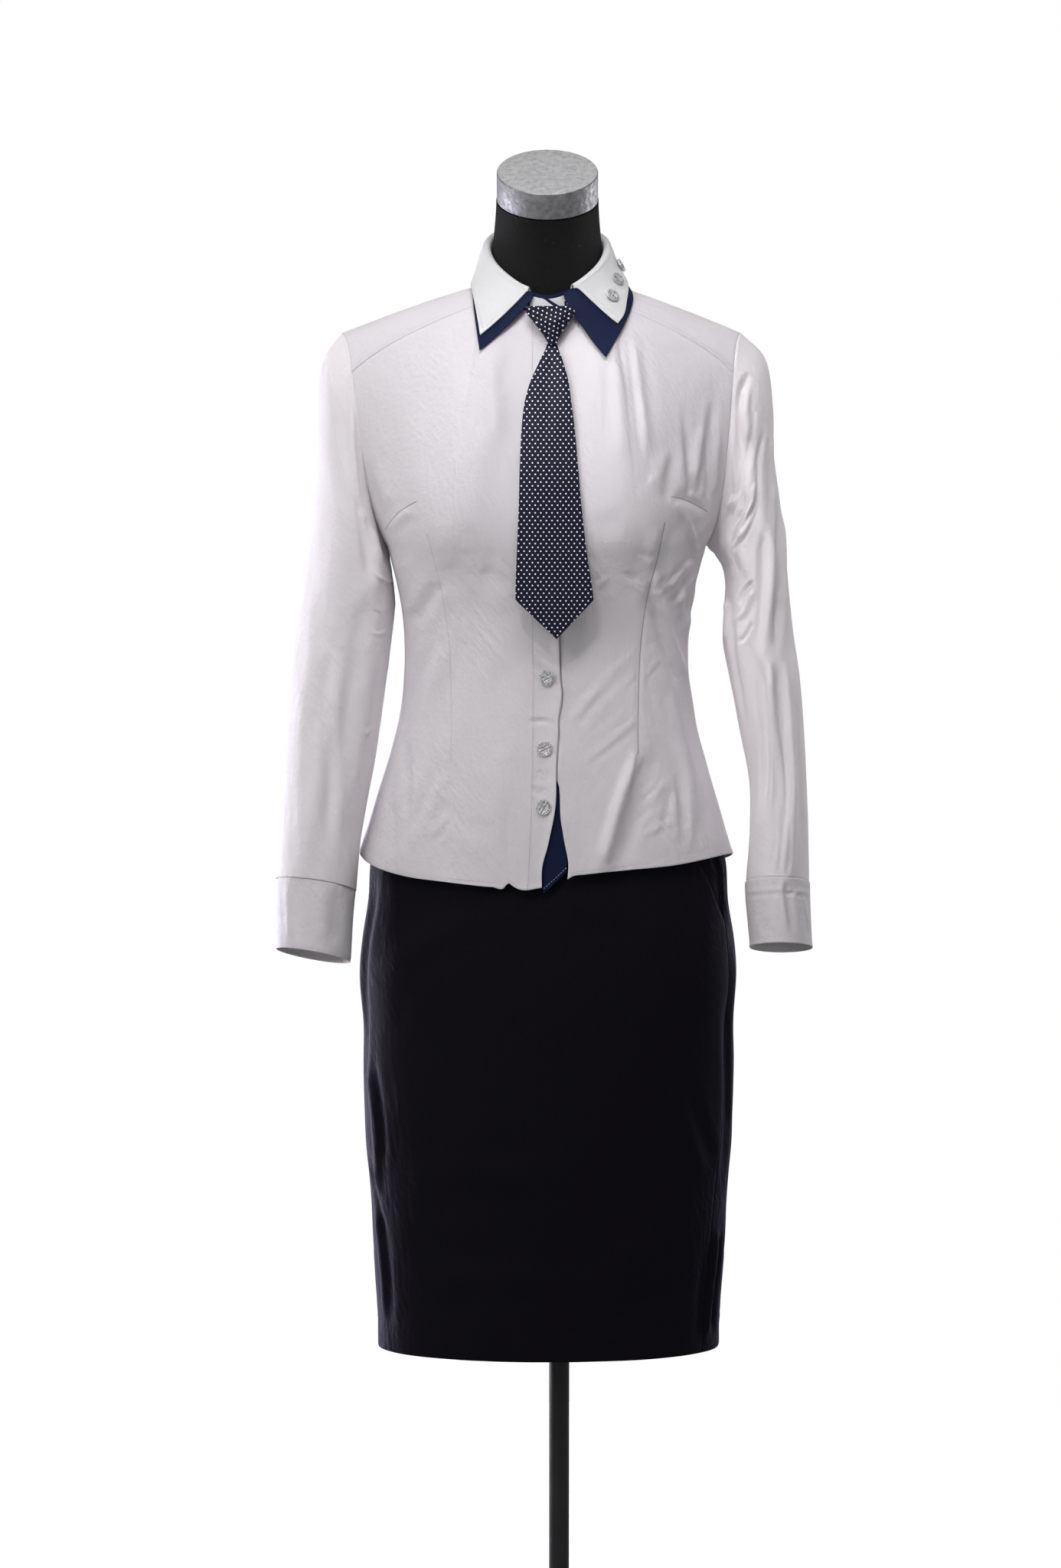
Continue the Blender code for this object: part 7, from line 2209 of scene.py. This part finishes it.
def make_form(finishes):
    """The jersey form with its neck, in one closed piece."""
    neck_columns = np.linspace(-NECK_SIDE, NECK_SIDE, FORM_NECK_STEPS + 1)
    columns = np.concatenate([
        side_columns(RIGHT, FORM_STEP)[:-1],
        neck_columns,
        side_columns(LEFT, FORM_STEP)[1:],
    ])
    patches = []
    for face in (FRONT, BACK):
        surface = partial(form, face)
        patches.append(sheet_of(surface, face, columns, np.linspace(-1, 0, FORM_ROWS + 1)))
        patches.append(sheet_of(surface, face, columns, np.linspace(0, 1, FORM_ROWS // 2 + 1)))
        neck_rows = np.linspace(0, 1, FORM_NECK_ROWS + 1)
        patches.append(sheet_of(partial(form_neck, face), face, neck_columns, neck_rows))
    piece = add_mesh("form_jersey", finishes["form_jersey"], *closed(patches, UNDERARM_Z, [0, 1]))
    piece.data.set_sharp_from_angle(angle=SHARP_ANGLE)
    placed(piece, "form_jersey", "form")


def make_stand(finishes):
    """The neck cap, and the flange, pole and base that carry the form."""
    tilt = Matrix.Translation(NECK_TOP) @ Matrix.Rotation(NECK_TILT, 4, "X")
    width = NECK_TOP_HALF_WIDTH - CAP_INSET
    rolled = arc(width - CAP_ROLL, CAP_HEIGHT - CAP_ROLL, CAP_ROLL, 0, math.pi / 2)
    dip = CAP_HEIGHT - CAP_STEP
    cap = [(0, GAP), (width - CAP_ROLL / 2, GAP), (width, GAP + CAP_ROLL / 2), (width, CAP_HEIGHT / 2),
           *rolled, (width / 2, dip), (0, dip)]
    stretch = NECK_TOP_HALF_DEPTH / NECK_TOP_HALF_WIDTH
    piece = turned_mesh("cap", finishes["galvanised_cap"], cap, FINE_ROUND, tilt, stretch, wedge)
    placed(piece, "galvanised_cap", "neck_cap")
    flange_top = FORM_BOTTOM_Z - GAP
    flange_bottom = flange_top - FLANGE_HEIGHT
    flange = [(0, flange_bottom), (FLANGE_RADIUS - FLANGE_EDGE, flange_bottom),
              (FLANGE_RADIUS, flange_bottom + FLANGE_EDGE), (FLANGE_RADIUS, flange_top), (0, flange_top)]
    black = finishes["black_metal"]
    placed(turned_mesh("flange", black, flange, FINE_ROUND), "black_metal", "form_flange")
    foot, head = HUB_TOP_Z + GAP, flange_bottom - GAP
    levels = [(POLE_RADIUS, z) for z in np.linspace(foot, head, POLE_ROWS)]
    placed(turned_mesh("pole_tube", black, [(0, foot), *levels, (0, head)], FINE_ROUND),
           "black_metal", "pole")
    edge = BASE_RADIUS - BASE_EDGE
    lower = arc(edge, BASE_EDGE, BASE_EDGE, -math.pi / 2, 0)
    upper = arc(edge, BASE_HEIGHT - BASE_EDGE, BASE_EDGE, 0, math.pi / 2)
    fillet = arc(HUB_RADIUS + HUB_FLARE, BASE_HEIGHT + HUB_FLARE, HUB_FLARE, -math.pi / 2, -math.pi)
    profile = [(0, 0), *lower, *upper, *fillet, (HUB_TOP_RADIUS, HUB_TOP_Z - HUB_EDGE),
               (HUB_TOP_RADIUS - HUB_EDGE, HUB_TOP_Z), (0, HUB_TOP_Z)]
    placed(turned_mesh("base_plate", black, profile, FINE_ROUND * 2), "black_metal", "base")


def leaf_relief(phi, share, _):
    """The slight unevenness of a collar leaf, flat near its fold."""
    across, down = LEAF_WAVE_CHART
    wave = value_noise(np.radians(phi) * across, share * down, LEAF_WAVE_SIZE, SEEDS["leaf"])
    return LEAF_WAVE * wave * smooth(share / LEAF_WAVE_START)


def make_collar(finishes):
    """The collar stand with its navy strip, the navy leaf and the white leaf over it."""
    white, navy = finishes["collar_cloth"], finishes["navy_trim"]
    around = spaced(STAND_FROM, STAND_TO, STAND_LENGTH, STAND_STEP)
    base, top = stand_height(around)
    strip_at = (1 - STAND_EDGE_HEIGHT / (top - base))[:, None]
    rows = strip_at * spaced(0, 1, STAND_HEIGHT, STAND_STEP)
    cloth("collar_stand", white, "collar_cloth", [sheet_of(stand, 1, around, rows)])
    rows = strip_at + (1 - strip_at) * spaced(0, 1, STAND_EDGE_HEIGHT, STRIP_STEP)
    cloth("collar_edge", navy, "navy_trim", [sheet_of(stand, 1, around, rows)])
    around = spaced(LEAF_EDGE["phi"][0], LEAF_EDGE["phi"][-1], LEAF_LENGTH, COLLAR_STEP)
    rows = spaced(0, 1, LEAF_DEPTH, COLLAR_STEP)
    leaf_sheet = sheet_of(leaf, -1, around, rows, leaf_relief, -COLLAR_WALL - LEAF_GAP)
    cloth("navy_collar", navy, "navy_trim", [leaf_sheet],
          wall=LEAF_WALL)
    hook = np.linspace(-1, 0, HOOK_STEPS + 1)[:-1]
    rows = np.concatenate([hook, spaced(0, 1, LEAF_DEPTH, COLLAR_STEP, (False, True))])
    bend = np.maximum(rows, 0) ** WHITE_END_BEND
    first, last = (between(fold, tip, bend) for fold, tip in WHITE_ENDS)
    around = between(first, last, spaced(0, 1, LEAF_LENGTH, COLLAR_STEP)[:, None])
    reach = np.where(rows > 0, through(WHITE_REACH, "phi", "share", around), 1)
    leaf_sheet = sheet_of(leaf, -1, around, rows * reach, leaf_relief)
    cloth("white_collar", white, "collar_cloth", [leaf_sheet],
          wall=LEAF_WALL)


def blade_relief(_across, _z, points):
    x, z = points[..., 0], points[..., 2]
    waves = BLADE_WAVE * value_noise(x, z / 2, BLADE_WAVE_SIZE, SEEDS["blade"])
    return creased(BLADE_CREASES, x, z) + waves


def flat_chart(_across, _z, points):
    return points[..., 0], points[..., 2]


def knot_relief(turn, _z, points):
    return creased(KNOT_CREASES, points[..., 0], points[..., 2]) * (np.cos(np.radians(turn)) > 0)


def knot_chart(_turn, _z, points):
    """The knot's cloth runs slanting across it, so its rows of dots do too."""
    x, z = points[..., 0], points[..., 2]
    cosine, sine = math.cos(KNOT_SLANT), math.sin(KNOT_SLANT)
    return x * cosine + z * sine, z * cosine - x * sine


def make_tie(finishes):
    """The tie's blade, its knot and the band round the stand."""
    dotted_cloth = finishes["tie_cloth"]
    across = spaced(-1, 1, TIE_WIDTH, TIE_STEP)
    bottom = TIE_TIP_Z + (TIE_CORNER_Z - TIE_TIP_Z) * np.abs(across)[:, None]
    top = BLADE_SECTIONS["z"][-1]
    rows = bottom + (top - bottom) * spaced(0, 1, top - TIE_TIP_Z, TIE_STEP)
    blade = sheet_of(tie_blade, 1, across, rows, blade_relief, chart=flat_chart)
    cloth("tie_blade", dotted_cloth, "tie_cloth", [blade],
          wall=BLADE_WALL, roll=BLADE_ROLL)
    around = np.linspace(0, 360, KNOT_STEPS + 1)
    knot_z = KNOT_SECTIONS["z"]
    rows = spaced(knot_z[0], knot_z[-1], knot_z[-1] - knot_z[0], TIE_STEP / 2, (False, False))
    patch = sheet_of(knot, 1, around, rows, knot_relief, chart=knot_chart)
    piece = add_mesh("knot", dotted_cloth, *closed([patch], knot_z.mean(), [0, 2], True))
    placed(piece, "tie_cloth", "tie_knot")
    around = spaced(TIE_BAND_PHI, 360 - TIE_BAND_PHI, STAND_LENGTH, STAND_STEP)
    band = partial(stand, grow=TIE_BAND_OUT)
    wound = sheet_of(band, 1, around, spaced(*TIE_BAND_SHARES, TIE_BAND_WIDTH, COLLAR_STEP))
    cloth("tie_band", dotted_cloth, "tie_cloth", [wound])


def skirt_relief(turn, z, _):
    """The skirt's creases by the way round it and the height, and its hem's stitching."""
    u = np.radians(np.mod(turn + 180, 360) - 180) * SKIRT_RADIUS
    stitching = np.exp(-(((z - SKIRT_HEM_Z - SKIRT_HEM) / SKIRT_STITCH_WIDTH) ** 2))
    return creased(SKIRT_CREASES, u, z) + rumpled(u, z, "skirt", SKIRT_RUMPLE) - STITCH_DIP * stitching


def skirt_sheet(start, end, length, rows, lift=0.0):
    """A patch of the skirt between two turns or two named seams."""
    start, end = (seam_turn(edge, rows) if isinstance(edge, str) else edge for edge in (start, end))
    share = spaced(0, 1, length, SKIRT_STEP)[:, None]
    return sheet_of(skirt, 1, between(start, end, share), rows, skirt_relief, lift)


def make_skirt(finishes):
    """The skirt's front and back panels, its pocket facings, vent underlay and waistband."""
    navy = finishes["skirt_cloth"]
    lower = spaced(SKIRT_HEM_Z, POCKET_BOTTOM_Z, POCKET_BOTTOM_Z - SKIRT_HEM_Z, SKIRT_STEP, (True, False))
    upper = spaced(POCKET_BOTTOM_Z, WAISTBAND_BOTTOM_Z, WAISTBAND_BOTTOM_Z - POCKET_BOTTOM_Z,
                   SKIRT_STEP, (False, True))
    rows = np.concatenate([lower, upper[1:]])
    for name, start, end, length in (
        ("skirt_front", "pocket_right", "pocket_left", SKIRT_LENGTHS[0]),
        ("skirt_back_left", "left", "back", SKIRT_LENGTHS[1]),
        ("skirt_back_right", "back_again", "right", SKIRT_LENGTHS[2]),
    ):
        cloth(name, navy, "skirt_cloth", [skirt_sheet(start, end, length, rows)],
              wall=SKIRT_SHELL)
    for side, name in ((RIGHT, "right"), (LEFT, "left")):
        seam, pocket = (seam_turn(edge, upper) for edge in (name, "pocket_" + name))
        rise = smooth(np.abs(seam - pocket) / FACING_RISE_TURN)
        seam_depth = FACING_DEPTH + (FACING_SEAM_DEPTH - FACING_DEPTH) * rise
        share = spaced(0, 1, FACING_LENGTH, SKIRT_STEP, (False, True))[:, None]
        turns = np.concatenate(
            [pocket[None] - side * FACING_UNDERLAP_TURN, between(pocket, seam, share)]
        )
        depths = np.concatenate(
            [np.full((1, len(upper)), FACING_DEPTH), between(FACING_DEPTH, seam_depth, share)]
        )
        facing = sheet_of(skirt, 1, turns[::int(side)], upper, skirt_relief, -depths[::int(side)])
        cloth("pocket_facing_" + name, navy, "skirt_cloth", [facing])
    vent = lower[lower < SKIRT_HEM_Z + VENT_HEIGHT]
    seam, left, right = (seam_turn(name, vent) for name in ("back", "left", "right"))
    start = seam - (seam - left) / VENT_SHARE
    end = seam + (right + 360 - seam) / VENT_SHARE
    underlay = skirt_sheet(start, end, UNDERLAY_LENGTH, vent, -SKIRT_WALL - GAP)
    cloth("vent_underlay", navy, "skirt_cloth", [underlay])
    rows = spaced(WAISTBAND_BOTTOM_Z, WAISTBAND_TOP_Z, WAISTBAND_TOP_Z - WAISTBAND_BOTTOM_Z, SKIRT_STEP)
    around = np.linspace(0, 360, WAISTBAND_STEPS + 1)
    band = sheet_of(skirt, 1, around, rows, None, WAISTBAND_PROUD)
    cloth("waistband", navy, "skirt_cloth", [band])


def button_place(surface, hand, first, second, spin):
    """Where a button sits: its normal out of the cloth, spun about it."""
    normal = Vector(outward(surface, hand, first, second))
    seat = Vector(surface(first, second)) + normal * BUTTON_LIFT
    turned_to = normal.to_track_quat("Z", "Y").to_matrix().to_4x4()
    return Matrix.Translation(seat) @ turned_to @ Matrix.Rotation(spin, 4, "Z")


def grooves(x, y, _):
    """Two parallel engraved lines, a mark between them and a part of a ring round them."""
    lift = 0 * x
    radius = np.hypot(x, y)
    for offset in (-GROOVE_APART / 2, GROOVE_APART / 2):
        inside = smooth((GROOVE_LENGTH - radius) / GROOVE_WIDTH)
        lift = lift - GROOVE_DEPTH * np.exp(-(((y - offset) / GROOVE_WIDTH) ** 2)) * inside
    ring = np.exp(-(((radius - GROOVE_RING) / GROOVE_WIDTH) ** 2)) * smooth(-y / GROOVE_APART)
    return lift - GROOVE_DEPTH * (np.exp(-((radius / GROOVE_MARK) ** 2)) + ring)


def facets(x, y, _):
    """Cut lines over a clear button: some across and a ring inside its rim."""
    radius = np.hypot(x, y)
    cut = np.exp(-(((radius - COLLAR_BUTTON_RADIUS * FACET_RING) / FACET_WIDTH) ** 2))
    for turn, offset in FACET_LINES:
        away = x * math.sin(turn) - y * math.cos(turn) - offset
        line = np.exp(-((away / FACET_WIDTH) ** 2)) * (radius < COLLAR_BUTTON_RADIUS * FACET_RING)
        cut = np.maximum(cut, line)
    return -FACET_DEPTH * cut


def button_profile(radius, thickness, height_of):
    """A button's half section, whose top's height is given by the share of its radius."""
    radii = np.linspace(0, 1, BUTTON_RINGS)[:-1] * (radius - BUTTON_EDGE)
    top = thickness + height_of(radii / radius)
    return [(0, 0), (radius - BUTTON_EDGE, 0), (radius, BUTTON_EDGE),
            (radius, BUTTON_THICKNESS - BUTTON_EDGE)], list(zip(radii[::-1], top[::-1]))


def make_buttons(finishes):
    """Three engraved buttons on the placket and three cut-glass ones on the collar."""
    side, top = button_profile(
        BUTTON_RADIUS, BUTTON_THICKNESS - BUTTON_DISH,
        lambda share: smooth((share - DISH_SHARES[0]) / DISH_SHARES[1]) * BUTTON_DISH)
    profile = [*side, (BUTTON_RADIUS - BUTTON_EDGE / 2, BUTTON_THICKNESS), *top]
    for number, (x, z) in enumerate(zip(*BUTTONS.values()), 1):
        s = np.arcsin((x - BLOUSE_X) / through(BLOUSE_SECTIONS, "z", "half_width", z)) / (math.pi / 2)
        t = (z - UNDERARM_Z) / (UNDERARM_Z - hem_of(FRONT, s))
        place = button_place(partial(blouse, FRONT), FRONT, s, t, BUTTON_SPINS[number - 1])
        piece = turned_mesh(f"button_{number}", finishes["silver_buttons"], profile, BUTTON_ROUND, place,
                            relief=grooves)
        placed(piece, "silver_buttons", f"front_button_{number}")
    side, top = button_profile(
        COLLAR_BUTTON_RADIUS, BUTTON_THICKNESS, lambda share: CRYSTAL_DOME * (1 - share**2))
    for number, (phi, share) in enumerate(zip(*COLLAR_BUTTONS.values()), 1):
        place = button_place(leaf, -1, phi, share, ORNAMENT_SPIN * number)
        piece = turned_mesh(f"ornament_{number}", finishes["clear_buttons"], side + top, ORNAMENT_ROUND,
                            place, relief=facets)
        placed(piece, "clear_buttons", f"collar_button_{number}")


def make_camera():
    data = bpy.data.cameras.new("camera")
    camera = bpy.data.objects.new("camera", data)
    bpy.context.scene.collection.objects.link(camera)
    data.lens = CAMERA_LENS
    data.sensor_width = CAMERA_SENSOR
    camera.location = CAMERA_PLACE
    camera.rotation_euler = (math.pi / 2 - CAMERA_DOWN, 0, 0)
    bpy.context.scene.camera = camera


def make_light():
    """Soft studio light, a white surround for the camera and a pale floor."""
    for name, place, aim, size, spread, power, colour in LIGHTS:
        data = bpy.data.lights.new(name, "AREA")
        data.size = size
        data.spread = math.radians(spread)
        data.energy = power
        data.color = colour
        lamp = bpy.data.objects.new(name, data)
        bpy.context.scene.collection.objects.link(lamp)
        lamp.location = place
        lamp.rotation_euler = (Vector(aim) - Vector(place)).to_track_quat("-Z", "Y").to_euler()
    world = bpy.data.worlds.new("studio")
    world.use_nodes = True
    bpy.context.scene.world = world
    tree = world.node_tree
    shader = tree.nodes["Background"]
    seen = tree.nodes.new("ShaderNodeLightPath").outputs["Is Camera Ray"]
    strength = math_of(tree, "MULTIPLY_ADD", seen, 1.0 - WORLD_LIGHT, WORLD_LIGHT)
    tree.links.new(strength, shader.inputs["Strength"])
    shader.inputs["Color"].default_value = (1, 1, 1, 1)
    material, tree, shader = new_material("floor", 0.9)
    shader.inputs["Base Color"].default_value = (*FLOOR_COLOUR, 1)
    shader.inputs["Emission Color"].default_value = (1, 1, 1, 1)
    shader.inputs["Emission Strength"].default_value = FLOOR_GLOW
    angle = np.linspace(0, math.tau, FINE_ROUND + 1)[:-1]
    rim = stacked(FLOOR_RADIUS * np.cos(angle), FLOOR_RADIUS * np.sin(angle), FLOOR_Z)
    corners = np.concatenate([rim, [(0, 0, FLOOR_Z)]])
    number = np.arange(FINE_ROUND)
    centre = np.full(FINE_ROUND, FINE_ROUND)
    faces = np.stack([number, (number + 1) % FINE_ROUND, centre, centre], -1)
    floor = add_mesh("floor", material, corners, faces)
    floor.visible_diffuse = False
    floor.visible_glossy = False
    bpy.context.scene.view_settings.view_transform = "Standard"


def make_stitching(finishes):
    """Rows of thread along the hems, the placket, the yoke, the cuffs and the collar's edges."""
    front_relief = partial(body_relief, FRONT)
    front = partial(line_on, partial(blouse, FRONT), FRONT, relief=front_relief, lift=STITCH_LIFT)
    back = partial(line_on, partial(blouse, BACK), BACK, relief=partial(body_relief, BACK),
                   lift=STITCH_LIFT)
    rows = front_levels(np.zeros(1))[0][0]
    seam, edge = (across_at(name, rows) for name in ("seam", "left"))
    runs = []
    for start, end in ((-1.0, seam[0]), (edge[0], 1.0)):
        s = np.linspace(start, end, HEM_RUN_STEPS)
        runs.append(front(s, -1 + HEM_DEPTH / (UNDERARM_Z - hem_of(FRONT, s))))
    s = np.linspace(-1, 1, HEM_RUN_STEPS)
    runs.append(back(s, -1 + HEM_DEPTH / (UNDERARM_Z - hem_of(BACK, s))))
    runs.append(back(s, np.full_like(s, YOKE_AT_BACK + YOKE_STITCH / BACK_LENGTH)))
    width = through(BLOUSE_SECTIONS, "z", "half_width", UNDERARM_Z)
    inset = PLACKET_STITCH / width / (math.pi / 2)
    runs.append(front(seam + inset, rows, lift=PLACKET_RISE + STITCH_LIFT))
    for side in (RIGHT, LEFT):
        s = side_columns(side, FRONT_STEP)
        levels, yoke_row = front_levels(s)
        runs.append(front(s, levels[:, yoke_row] + YOKE_STITCH / CHEST_LENGTH))
        turn = np.linspace(0, 360, HEM_RUN_STEPS)
        row = CUFF_LAST_ROW - CUFF_HEM / CUFF_ROW_LENGTH
        runs.append(line_on(partial(sleeve, side), 1, turn, row, partial(cuff_relief, side),
                            CUFF_PROUD + STITCH_LIFT))
    # The blouse's stitching is grey as painted shade along its stitch line
    stitched("blouse_stitching", finishes["thread_with_painted_shade"], "blouse_cloth", runs)

    collar = partial(line_on, leaf, -1, relief=leaf_relief, lift=STITCH_LIFT)
    inset = COLLAR_STITCH / LEAF_DEPTH
    phi = np.linspace(WHITE_ENDS[0][1] + 1, WHITE_ENDS[1][1] - 1, HEM_RUN_STEPS)
    runs = [collar(phi, through(WHITE_REACH, "phi", "share", phi) - inset)]
    for (fold, tip), way in zip(WHITE_ENDS, (1, -1)):
        share = np.linspace(0, 1, HEM_RUN_STEPS // 4)
        phi = fold + (tip - fold) * share**WHITE_END_BEND + way * COLLAR_STITCH_TURN
        runs.append(collar(phi, share * (through(WHITE_REACH, "phi", "share", phi) - inset)))
    stitched("collar_stitching", finishes["white_thread"], "collar_cloth", runs)

    share = np.linspace(0, 1, HEM_RUN_STEPS // 4)[:, None]
    s, t = (place[:, 0] for place in band_places(rows[:1], share))
    run = front(s, t + HEM_DEPTH / BODY_LENGTH, lift=STITCH_LIFT - BAND_DEPTH)
    stitched("band_stitching", finishes["white_thread"], "navy_trim", [run])


def plain(corners):
    return [list(corner) for corner in corners]


def main():
    make_camera()
    make_light()
    finishes = make_finishes()
    make_form(finishes)
    make_stand(finishes)
    make_fronts(finishes)
    make_back(finishes)
    make_sleeves(finishes)
    make_collar(finishes)
    make_tie(finishes)
    make_skirt(finishes)
    make_buttons(finishes)
    make_stitching(finishes)


main()
